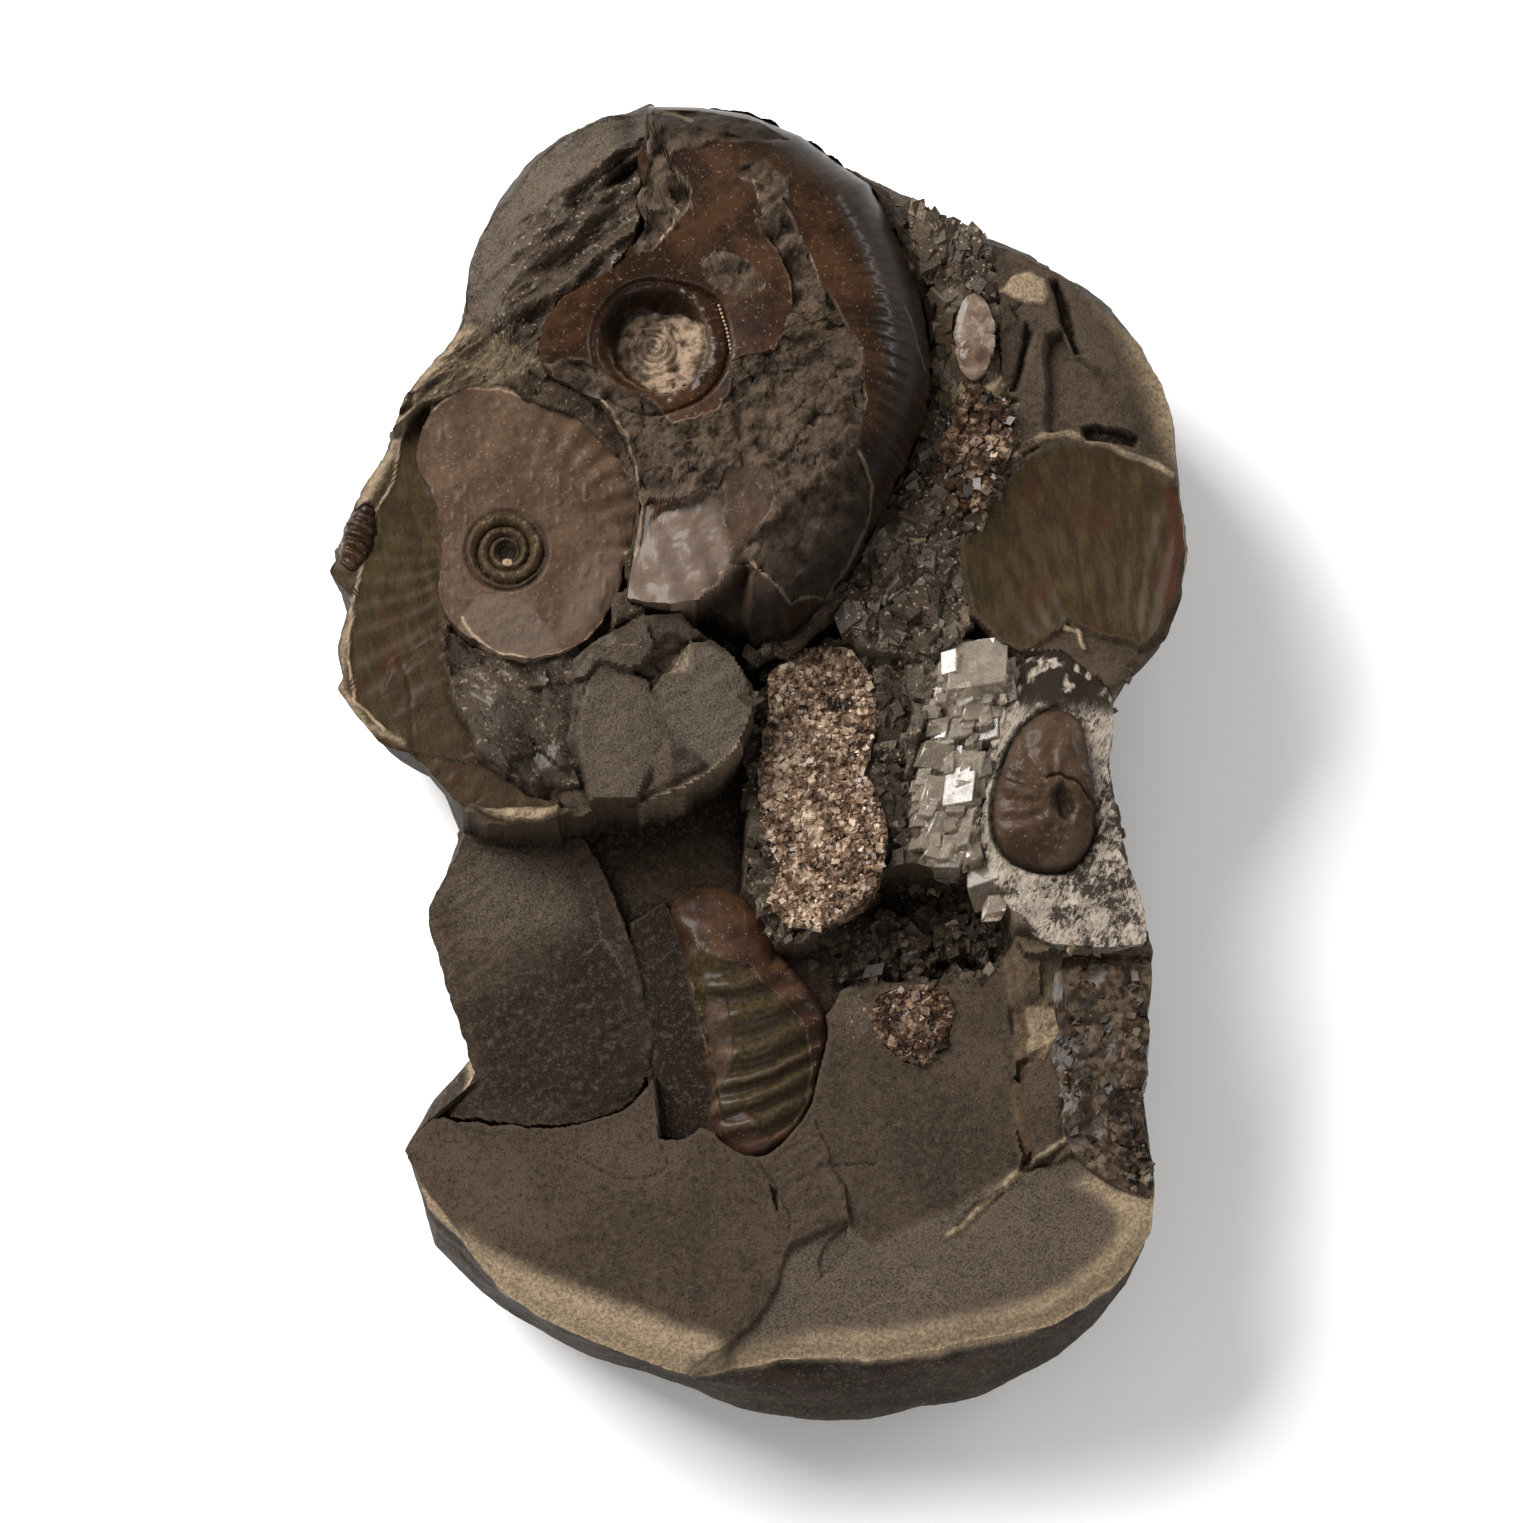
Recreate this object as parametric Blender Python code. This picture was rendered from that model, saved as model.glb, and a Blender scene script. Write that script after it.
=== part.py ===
"""Ammonite cluster plate: half of a split mudstone nodule that lies on its rounded back, with its fossils
and calcite as separate solids.

The outlines are read in the picture, whose view leans VIEW_LEAN towards the front (-Y) from straight above.
Every height is a real one, above the surface that the stone rests on.
"""

import math
import random
from typing import Callable, NamedTuple

import bmesh
import bpy
import numpy as np
from mathutils import Matrix, Vector

MM = 0.001

# Driving dimensions
PIXEL = 0.2275 * MM
VIEW_LEAN = math.radians(13)
JOINT_GAP = 0.35 * MM
POCKET_TOP = 110 * MM
BODY_TOP = 40 * MM
BACK_WIDEST = 38 * MM
FRONT_WIDEST = 22 * MM
SLAB_FOOT = 34 * MM

# How the rounded back draws in below the widest ring: height, and share of the plan's radius
UNDERSIDE = ((0.0, 0.66), (3 * MM, 0.80), (9 * MM, 0.91), (17 * MM, 0.975))
SHOULDER_SHARE = 0.975

SILHOUETTE_CENTRE = (770, 760)
SILHOUETTE = (
    (656, 100), (700, 105), (748, 113), (802, 134), (843, 164), (922, 208), (988, 243), (1057, 269),
    (1092, 292), (1120, 318), (1141, 343), (1161, 381), (1174, 420), (1185, 540), (1182, 595), (1166, 639),
    (1136, 667), (1110, 710), (1106, 766), (1118, 850), (1133, 880), (1150, 950), (1143, 1010),
    (1140, 1085), (1152, 1165), (1153, 1200), (1146, 1248), (1127, 1286), (1095, 1327), (1060, 1356),
    (1019, 1378), (977, 1398), (923, 1407), (869, 1420), (812, 1420), (742, 1410), (696, 1392), (648, 1374),
    (587, 1357), (533, 1329), (477, 1292), (434, 1246), (418, 1193), (405, 1151), (426, 1114), (476, 1078),
    (461, 1030), (438, 959), (428, 913), (462, 844), (442, 792), (409, 750), (381, 743), (348, 705),
    (339, 674), (345, 623), (345, 588), (330, 570), (351, 524), (371, 475), (389, 450), (410, 395),
    (443, 358), (466, 317), (468, 266), (496, 207), (532, 159), (560, 135), (600, 115),
)

# Broken slabs of the rock: name, height at the outline's middle, fall towards +X and -Y, outline
SLABS = (
    ("front_left_slab", 52, 0.02, 0.03, (
        (410, 1150), (426, 1114), (443, 1117), (484, 1123), (527, 1126), (579, 1123), (622, 1109),
        (650, 1080), (668, 1165), (711, 1145), (760, 1164), (783, 1254), (780, 1280), (757, 1315),
        (719, 1347), (700, 1359), (635, 1354), (533, 1310), (502, 1287), (464, 1234), (425, 1190),
    )),
    ("front_right_slab", 48, -0.03, 0.02, (
        (783, 1254), (847, 1219), (949, 1232), (977, 1209), (1003, 1184), (1032, 1162), (1067, 1143),
        (1100, 1165), (1150, 1195), (1150, 1229), (1137, 1257), (1099, 1295), (1051, 1324), (1019, 1331),
        (971, 1339), (923, 1350), (869, 1358), (780, 1356), (700, 1359), (719, 1347), (757, 1315),
        (780, 1280),
    )),
    ("middle_right_slab", 50, 0.0, 0.03, (
        (829, 1023), (860, 995), (954, 985), (1012, 965), (1022, 1041), (1017, 1092), (1025, 1154),
        (1003, 1184), (977, 1209), (949, 1232), (847, 1219), (816, 1180), (803, 1123), (818, 1074),
    )),
    ("cracked_middle_slab", 50, 0.0, 0.0, (
        (668, 1165), (700, 1130), (760, 1158), (803, 1123), (831, 1159), (847, 1219), (783, 1254),
        (777, 1189), (740, 1170),
    )),
    ("left_plate", 49, 0.06, 0.09, (
        (464, 812), (568, 815), (589, 844), (612, 890), (630, 933), (640, 971), (647, 1010), (655, 1038),
        (652, 1066), (642, 1089), (622, 1109), (579, 1123), (527, 1126), (484, 1123), (445, 1114),
        (461, 1098), (476, 1078), (461, 1030), (438, 959), (428, 913), (446, 877), (462, 844),
    )),
    ("middle_panel", 44, 0.0, -0.02, (
        (630, 925), (672, 905), (688, 972), (701, 1023), (712, 1088), (709, 1125), (668, 1160), (650, 1100),
        (640, 1000),
    )),
    ("shaded_slab", 44, -0.03, 0.0, (
        (568, 815), (600, 790), (700, 760), (745, 735), (770, 800), (775, 905), (752, 915), (670, 925),
        (630, 945), (600, 880),
    )),
    ("left_block", 69, 0.0, 0.04, (
        (410, 395), (443, 358), (470, 335), (520, 340), (600, 400), (637, 510), (645, 600), (700, 620),
        (753, 645), (755, 700), (740, 745), (700, 780), (650, 800), (600, 805), (540, 820), (480, 808),
        (440, 790), (409, 750), (381, 743), (348, 705), (339, 674), (345, 623), (335, 579), (345, 540),
        (371, 475), (389, 450), (398, 420),
    )),
    ("chipped_facets", 73, 0.06, 0.10, (
        (600, 640), (660, 615), (735, 655), (740, 700), (700, 745), (650, 780), (585, 775), (570, 700),
    )),
    ("top_block", 62, 0.04, 0.0, (
        (468, 325), (470, 266), (498, 207), (534, 162), (602, 120), (656, 108), (748, 121), (843, 172),
        (925, 215), (940, 300), (945, 390), (930, 440), (905, 500), (865, 580), (835, 610), (795, 650),
        (753, 660), (640, 600), (600, 400), (520, 345),
    )),
    ("rough_upper_left", 76, -0.08, 0.04, (
        (478, 315), (480, 262), (505, 207), (540, 166), (600, 128), (655, 112), (652, 180), (640, 245),
        (600, 285), (560, 305), (520, 330),
    )),
    ("worn_band", 70, -0.1, 0.0, (
        (466, 322), (468, 266), (484, 228), (514, 190), (520, 215), (508, 260), (500, 318),
    )),
    ("rubble_ridge", 60, 0.0, 0.06, (
        (905, 215), (990, 247), (1010, 300), (1025, 400), (1000, 480), (960, 545), (975, 625), (930, 655),
        (860, 645), (845, 610), (890, 520), (925, 440), (930, 330),
    )),
    ("upper_right_block", 61, 0.10, 0.02, (
        (985, 247), (1057, 269), (1092, 292), (1120, 318), (1141, 343), (1161, 381), (1174, 420),
        (1150, 450), (1067, 436), (1013, 470), (1000, 400), (1005, 320),
    )),
    ("right_block", 60, 0.02, 0.03, (
        (945, 500), (1000, 430), (1105, 435), (1176, 450), (1185, 540), (1182, 595), (1166, 639),
        (1120, 680), (1044, 655), (1003, 644), (960, 600),
    )),
    ("calcite_shelf", 54, 0.0, 0.0, (
        (860, 640), (1003, 644), (1044, 650), (1112, 690), (1110, 743), (1118, 850), (1133, 880),
        (1148, 950), (1020, 945), (1000, 880), (890, 885), (870, 940), (760, 935), (758, 700), (800, 640),
    )),
    ("tan_strip", 52, 0.0, 0.0, (
        (1008, 935), (1065, 945), (1062, 1050), (1072, 1150), (1032, 1162), (1017, 1092), (1022, 1041),
    )),
    ("right_edge_slab", 46, 0.0, 0.0, (
        (1055, 945), (1148, 950), (1143, 1010), (1140, 1085), (1152, 1165), (1150, 1199), (1067, 1150),
    )),
)

# Ridges of layered rock on the upper left block, rising to the right: picture start, end, width and height
LAYER_RIDGES = (
    ((520, 318), (640, 232), 16, 82), ((512, 285), (632, 196), 14, 84), ((528, 240), (640, 160), 15, 83),
    ((548, 200), (650, 132), 16, 80), ((560, 306), (600, 284), 12, 80), ((575, 160), (640, 124), 12, 77),
)

CHIP_SPREAD = 1.4

# Chips of broken rock that stand up from the slabs: picture place, radius in mm, height of the tip in mm
CHIPS = (
    (470, 700, 6.0, 73), (505, 725, 7.5, 75), (540, 690, 7.0, 75), (560, 740, 6.5, 74), (500, 660, 5.0, 74),
    (610, 660, 7.0, 78), (665, 705, 9.0, 76), (720, 680, 6.5, 73), (620, 735, 8.0, 75), (700, 640, 5.5, 75),
    (925, 250, 6.0, 66), (950, 235, 5.0, 65), (925, 560, 6.0, 65), (890, 600, 6.5, 63), (925, 620, 6.0, 62),
    (955, 530, 5.0, 65), (1005, 345, 6.0, 66), (1025, 298, 8.5, 67), (1000, 500, 4.0, 64),
    (895, 700, 6.5, 59), (890, 780, 6.5, 59), (905, 860, 6.0, 58),
    (1035, 1050, 5.0, 56), (1040, 965, 5.0, 56), (920, 690, 5.0, 60),
)

# Pits and trenches cut down into the rock: name, height of the floor, outline
PITS = (
    ("dark_hollow", 41, (
        (838, 905), (880, 890), (940, 886), (978, 895), (996, 940), (985, 975), (930, 985), (860, 990),
        (836, 960),
    )),
    ("cavity_below_shell", 66, ((664, 598), (700, 605), (748, 640), (745, 660), (700, 640), (668, 622))),
    ("long_pit", 58, ((1082, 426), (1138, 436), (1136, 447), (1084, 440))),
    ("diamond_pit", 59, ((1018, 450), (1030, 440), (1041, 450), (1029, 459))),
    ("upper_right_trench", 60, ((1049, 276), (1062, 276), (1085, 345), (1072, 352))),
    ("upper_left_trench", 74, ((583, 196), (664, 140), (672, 148), (595, 206))),
    ("crystal_dimple", 71, ((651, 650), (668, 636), (690, 645), (690, 670), (668, 678), (653, 668))),
    ("olive_mould", 66, (
        (440, 408), (425, 440), (420, 480), (436, 520), (443, 560), (455, 610), (430, 650), (438, 740),
        (405, 730), (365, 700), (358, 640), (366, 600), (378, 500), (400, 450), (420, 415),
    )),
)

RIGHT_MOULD_CENTRE = (1073, 545)
RIGHT_MOULD = (
    (960, 547), (966, 590), (985, 628), (1020, 652), (1069, 628), (1118, 644), (1150, 640), (1172, 595),
    (1176, 540), (1168, 480), (1138, 456), (1105, 449), (1067, 446), (1039, 456), (1013, 478), (985, 505),
)

# One ring, at the rim
CRUST_RINGS = ((), (1.0,))

ROCK = ("mudstone", (0.075, 0.058, 0.045), 0.85)
BROWN_SHELL = ("brown_shell", (0.062, 0.034, 0.020), 0.28)
GREY_SHELL = ("grey_shell", (0.098, 0.065, 0.043), 0.45)
OLIVE_SHELL = ("olive_shell", (0.055, 0.036, 0.016), 0.5)
SUGAR_CALCITE = ("sugar_calcite", (0.24, 0.16, 0.11), 0.4)
BROWN_CALCITE = ("brown_calcite", (0.07, 0.045, 0.03), 0.35)
CLEAR_CALCITE = ("clear_calcite", (0.45, 0.40, 0.36), 0.12)
WHITE_CALCITE = ("white_calcite", (0.36, 0.31, 0.27), 0.5)
PINK_CALCITE = ("pink_calcite", (0.34, 0.25, 0.21), 0.35)


def clear_scene():
    for obj in list(bpy.data.objects):
        bpy.data.objects.remove(obj, do_unlink=True)


def rock_plan(px, py, height):
    """Where a picture point that lies at this height is on the stone, before the plate is centred."""
    across = px * PIXEL
    up_the_picture = -py * PIXEL
    return across, (up_the_picture - height * math.sin(VIEW_LEAN)) / math.cos(VIEW_LEAN)


def widest_height(py):
    """The nodule is widest low down at the front and higher at the back."""
    top_row = min(point[1] for point in SILHOUETTE)
    bottom_row = max(point[1] for point in SILHOUETTE)
    return BACK_WIDEST + (FRONT_WIDEST - BACK_WIDEST) * (py - top_row) / (bottom_row - top_row)


def plate_centre():
    ring = np.array([rock_plan(px, py, widest_height(py)) for px, py in SILHOUETTE])
    return (ring.min(axis=0) + ring.max(axis=0)) / 2


CENTRE = plate_centre()


def place(px, py, height):
    x, y = rock_plan(px, py, height)
    return Vector((x - CENTRE[0], y - CENTRE[1], height))


def placed_outline(outline, height):
    """The outline on the stone, counter-clockwise seen from above."""
    points = [place(px, py, height) for px, py in outline]
    turn = sum(a.x * b.y - b.x * a.y for a, b in zip(points, points[1:] + points[:1]))
    return points if turn > 0 else points[::-1]


def material_of(finish):
    name, colour, roughness = finish
    material = bpy.data.materials.get(name)
    if material is None:
        material = bpy.data.materials.new(name)
        material.use_nodes = True
        shader = material.node_tree.nodes["Principled BSDF"]
        shader.inputs["Base Color"].default_value = (*colour, 1.0)
        shader.inputs["Roughness"].default_value = roughness
        shader.inputs["Metallic"].default_value = 0.0
    return material


def object_from(name, work, finish=None):
    """Makes the bmesh an object, with its faces turned outwards."""
    bmesh.ops.recalc_face_normals(work, faces=work.faces)
    mesh = bpy.data.meshes.new(name)
    work.to_mesh(mesh)
    work.free()
    obj = bpy.data.objects.new(name, mesh)
    bpy.context.scene.collection.objects.link(obj)
    if finish is not None:
        mesh.materials.append(material_of(finish))
    return obj


def helper_collection(name, objects):
    """Keeps tools for one Boolean together; none of them is a piece."""
    collection = bpy.data.collections.new(name)
    bpy.context.scene.collection.children.link(collection)
    for obj in objects:
        bpy.context.scene.collection.objects.unlink(obj)
        collection.objects.link(obj)
        obj.hide_render = True
        obj.display_type = "WIRE"
    return collection


def bridge(work, lower, upper):
    for i in range(len(lower)):
        j = (i + 1) % len(lower)
        work.faces.new((lower[i], lower[j], upper[j], upper[i]))


def prism(name, ring, foot, tops, foot_ring=None):
    """A closed prism on the ring, from its foot up to one height for each corner."""
    work = bmesh.new()
    lower = [work.verts.new((point.x, point.y, foot)) for point in foot_ring or ring]
    upper = [work.verts.new((point.x, point.y, top)) for point, top in zip(ring, tops)]
    bridge(work, lower, upper)
    work.faces.new(lower[::-1])
    work.faces.new(upper)
    bmesh.ops.triangulate(work, faces=[face for face in work.faces if len(face.verts) > 4])
    return object_from(name, work)


def nodule_body():
    """Rings from the flat resting patch out to the widest line and in again to the shoulder."""
    middle = place(*SILHOUETTE_CENTRE, 30 * MM)
    work = bmesh.new()
    levels = []
    for height, share in UNDERSIDE:
        levels.append([(height, share, py) for _, py in SILHOUETTE])
    levels.append([(widest_height(py), 1.0, py) for _, py in SILHOUETTE])
    levels.append([(BODY_TOP, SHOULDER_SHARE, py) for _, py in SILHOUETTE])
    rings = []
    for level in levels:
        ring = []
        for (px, py), (height, share, row) in zip(SILHOUETTE, level):
            edge = place(px, py, widest_height(row))
            ring.append(work.verts.new((
                middle.x + (edge.x - middle.x) * share,
                middle.y + (edge.y - middle.y) * share,
                height,
            )))
        rings.append(ring)
    for lower, upper in zip(rings, rings[1:]):
        bridge(work, lower, upper)
    work.faces.new(rings[0])
    work.faces.new(rings[-1])
    bmesh.ops.triangulate(work, faces=[face for face in work.faces if len(face.verts) > 4])
    return object_from("matrix_rock", work, ROCK)


def slab(name, middle_height, fall_right, fall_front, outline):
    """One broken layer with a flat, tilted top. Its edge falls along the line of sight, so that the back
    slopes outwards to the nodule's widest line and the front hangs over a little."""
    height = middle_height * MM
    ring = placed_outline(outline, height)
    middle = sum(ring, Vector()) / len(ring)
    tops = [
        height - fall_right * (point.x - middle.x) + fall_front * (point.y - middle.y) for point in ring
    ]
    return prism(name, ring, SLAB_FOOT, tops, placed_outline(outline, SLAB_FOOT))


def layer_ridge(start, end, width, height):
    """A narrow upstanding edge of one rock layer, triangular across and pointed at both ends."""
    foot = 62 * MM
    first = place(*start, height * MM)
    last = place(*end, height * MM)
    along = (last - first).normalized()
    across = Vector((-along.y, along.x, 0)) * width * PIXEL / 2
    middle = (first + last) / 2
    work = bmesh.new()
    low = [
        work.verts.new((point.x, point.y, foot))
        for point in (first, middle - across * 1.2, last, middle + across)
    ]
    crest_start = work.verts.new(first.lerp(last, 0.2) + across * 0.4)
    crest_end = work.verts.new(first.lerp(last, 0.85) + across * 0.5)
    for corners in (
        (low[0], low[1], crest_start), (low[1], crest_end, crest_start), (low[1], low[2], crest_end),
        (low[2], low[3], crest_end), (low[3], crest_start, crest_end), (low[3], low[0], crest_start),
        (low[3], low[2], low[1], low[0]),
    ):
        work.faces.new(corners)
    return object_from("layer_ridge", work)


def chip(px, py, radius, tip, seed):
    """An angular, flattened lump: an icosphere whose corners are pushed in and out."""
    chance = random.Random(seed)
    work = bmesh.new()
    bmesh.ops.create_icosphere(work, subdivisions=1, radius=radius * CHIP_SPREAD * MM)
    for vert in work.verts:
        vert.co *= chance.uniform(0.7, 1.0)
    turn = Matrix.Rotation(chance.uniform(0, math.tau), 4, "Z")
    lean = Matrix.Rotation(chance.uniform(-0.35, 0.35), 4, "X")
    flat = Matrix.Diagonal((1.25, 0.85, 0.6, 1.0))
    bmesh.ops.transform(work, matrix=turn @ lean @ flat, verts=work.verts)
    high = max(vert.co.z for vert in work.verts)
    middle = place(px, py, tip * MM)
    middle.z = tip * MM - high
    bmesh.ops.translate(work, vec=middle, verts=work.verts)
    return object_from("chip", work)


def polar_rim(outline, centre, height, angles):
    """The outline's distance from the centre in each direction."""
    ring = placed_outline(outline, height)
    middle = place(*centre, height)
    bearing = np.unwrap([math.atan2(point.y - middle.y, point.x - middle.x) for point in ring])
    reach = np.array([math.hypot(point.x - middle.x, point.y - middle.y) for point in ring])
    return np.interp(angles, bearing, reach, period=math.tau)


def star_solid(name, outline, centre, edge_height, foot, rings_at, spokes, top_of, grow=0.0, finish=None):
    """A closed solid round a centre, cut off along the outline.

    rings_at holds the radii of the inner rings in mm, and the shares of the way from there to the rim.
    top_of gives the height from the angle and the distance to the centre."""
    inner_radii, shares = rings_at
    angles = np.arange(spokes) * math.tau / spokes
    reach = polar_rim(outline, centre, edge_height, angles) + grow
    middle = place(*centre, edge_height)
    start = inner_radii[-1] * MM if inner_radii else 0.0
    distances = [np.minimum(radius * MM, 0.9 * reach) for radius in inner_radii]
    distances += [start + (reach - start) * share for share in shares]
    work = bmesh.new()
    apex = work.verts.new((middle.x, middle.y, top_of(0.0, 0.0)))
    rings = [
        [
            work.verts.new((
                middle.x + far * math.cos(angle), middle.y + far * math.sin(angle), top_of(angle, far),
            ))
            for angle, far in zip(angles, distance)
        ]
        for distance in distances
    ]
    low = [work.verts.new((vert.co.x, vert.co.y, foot)) for vert in rings[-1]]
    for i in range(spokes):
        work.faces.new((apex, rings[0][i], rings[0][(i + 1) % spokes]))
    for inner, outer in zip(rings, rings[1:]):
        bridge(work, outer, inner)
    bridge(work, low, rings[-1])
    base = work.faces.new(low[::-1])
    bmesh.ops.triangulate(work, faces=[base])
    return object_from(name, work, finish)


def piece_solid(piece):
    return star_solid(
        piece.name, piece.outline, piece.centre, piece.edge * MM, piece.foot * MM, piece.rings_at,
        piece.spokes, piece.top_of, finish=piece.finish,
    )


def pocket_for(piece):
    """The room that the rock leaves round one piece, open upwards."""
    return star_solid(
        piece.name + "_pocket", piece.outline, piece.centre, piece.edge * MM, piece.foot * MM - JOINT_GAP,
        CRUST_RINGS, piece.spokes, lambda angle, radius: POCKET_TOP, JOINT_GAP,
    )


def swollen(across, sharpness):
    """The section of a whorl: 0 at both seams and 1 along its middle."""
    across = min(1.0, max(0.0, across))
    return max(0.0, 1 - abs(2 * across - 1) ** sharpness) ** 0.5


def large_shell_top(angle, radius):
    """A broad, full whorl that grows clockwise from its seam, round a navel that shows the first turns."""
    turned = (angle - LARGE_SHELL_MOUTH) % math.tau
    rim = 73 * MM * math.exp(-0.085 * turned)
    across = radius / rim
    navel = 0.22
    if across < navel:
        inner = across / navel
        return (75.0 + 3.0 * inner * math.sin(math.pi * 1.5 * inner) ** 2) * MM
    across = (across - navel) / (1 - navel)
    base = 76 + (60 - 76) * across
    ribs = 0.5 * math.cos(angle * 36 + 5 * across) * (across > 0.55)
    return (base + (85 - base) * swollen(across ** 0.9, 3.2) + ribs * swollen(across, 2.0)) * MM


def left_shell_top(angle, radius):
    """A flat disc with a small raised coil and a pit in its middle."""
    if radius < LEFT_COIL_RADIUS:
        return (72.0 + 3.0 * math.sin(math.pi * (radius / LEFT_COIL_RADIUS) ** 0.7) ** 2) * MM
    outwards = (radius - LEFT_COIL_RADIUS) / (30 * MM)
    return (74.2 - 1.5 * outwards ** 2 + 0.3 * math.cos(angle * 20) * outwards) * MM


def small_shell_top(angle, radius):
    """A plump whorl with folds across it."""
    across = (radius - 2.5 * MM) / (11.5 * MM + 5 * MM * max(0.0, math.sin(angle)))
    swell = swollen(across, 2.4)
    return (60.5 + 4.5 * swell + 0.5 * math.cos(angle * 9) * swell) * MM


def ribbed_shell_top(angle, radius):
    """A rounded back with strong ribs straight across its length."""
    along = radius * math.sin(angle - RIBBED_SHELL_TURN)
    aside = radius * math.cos(angle - RIBBED_SHELL_TURN)
    dome = math.sqrt(max(0.0, 1 - (aside / (15 * MM)) ** 2) * max(0.0, 1 - (along / (33 * MM)) ** 2))
    return (46.5 + 8.0 * dome + 1.1 * math.cos(math.tau * along / RIB_SPACING) * dome) * MM


def edge_shell_top(angle, radius):
    dome = math.sqrt(max(0.0, 1 - (radius / (9 * MM)) ** 2))
    ribs = 0.5 * math.cos(math.tau * radius * math.sin(angle) / EDGE_RIB_SPACING)
    return (66.0 + (4.0 + ribs) * dome) * MM


def lens_top(angle, radius):
    return (67.0 - 25 * radius * radius / (10 * MM) + 0.4 * math.cos(5 * angle)) * MM


def crust_top(height):
    """The level that the crystals of a mass stand on."""
    return lambda angle, radius: height * MM


LARGE_SHELL_MOUTH = math.radians(-105)
LEFT_COIL_RADIUS = 8.6 * MM
RIBBED_SHELL_TURN = math.radians(18)
RIB_SPACING = 8.6 * MM
EDGE_RIB_SPACING = 2.6 * MM

# Rings of each kind of piece: radii in mm round the centre, then shares of the rest of the way to the rim
SHELL_RINGS = ((5, 9, 12.5, 15, 18), (0.3, 0.55, 0.72, 0.86, 0.94, 1.0))
DISC_RINGS = ((2, 4.2, 6.5, 8.6), (0.33, 0.66, 1.0))
SMALL_RINGS = ((2.5, 4.5, 7), (0.35, 0.7, 1.0))
RIB_RINGS = ((4, 7), (0.2, 0.4, 0.6, 0.8, 0.92, 1.0))
EDGE_RINGS = ((), (0.5, 1.0))
LENS_RINGS = ((), (0.5, 0.85, 1.0))


class Piece(NamedTuple):
    """A piece let into the rock. Its outline lies at edge, and its underside at foot, both in mm."""

    name: str
    finish: tuple
    centre: tuple
    edge: float
    foot: float
    rings_at: tuple
    spokes: int
    top_of: Callable
    outline: tuple


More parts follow.
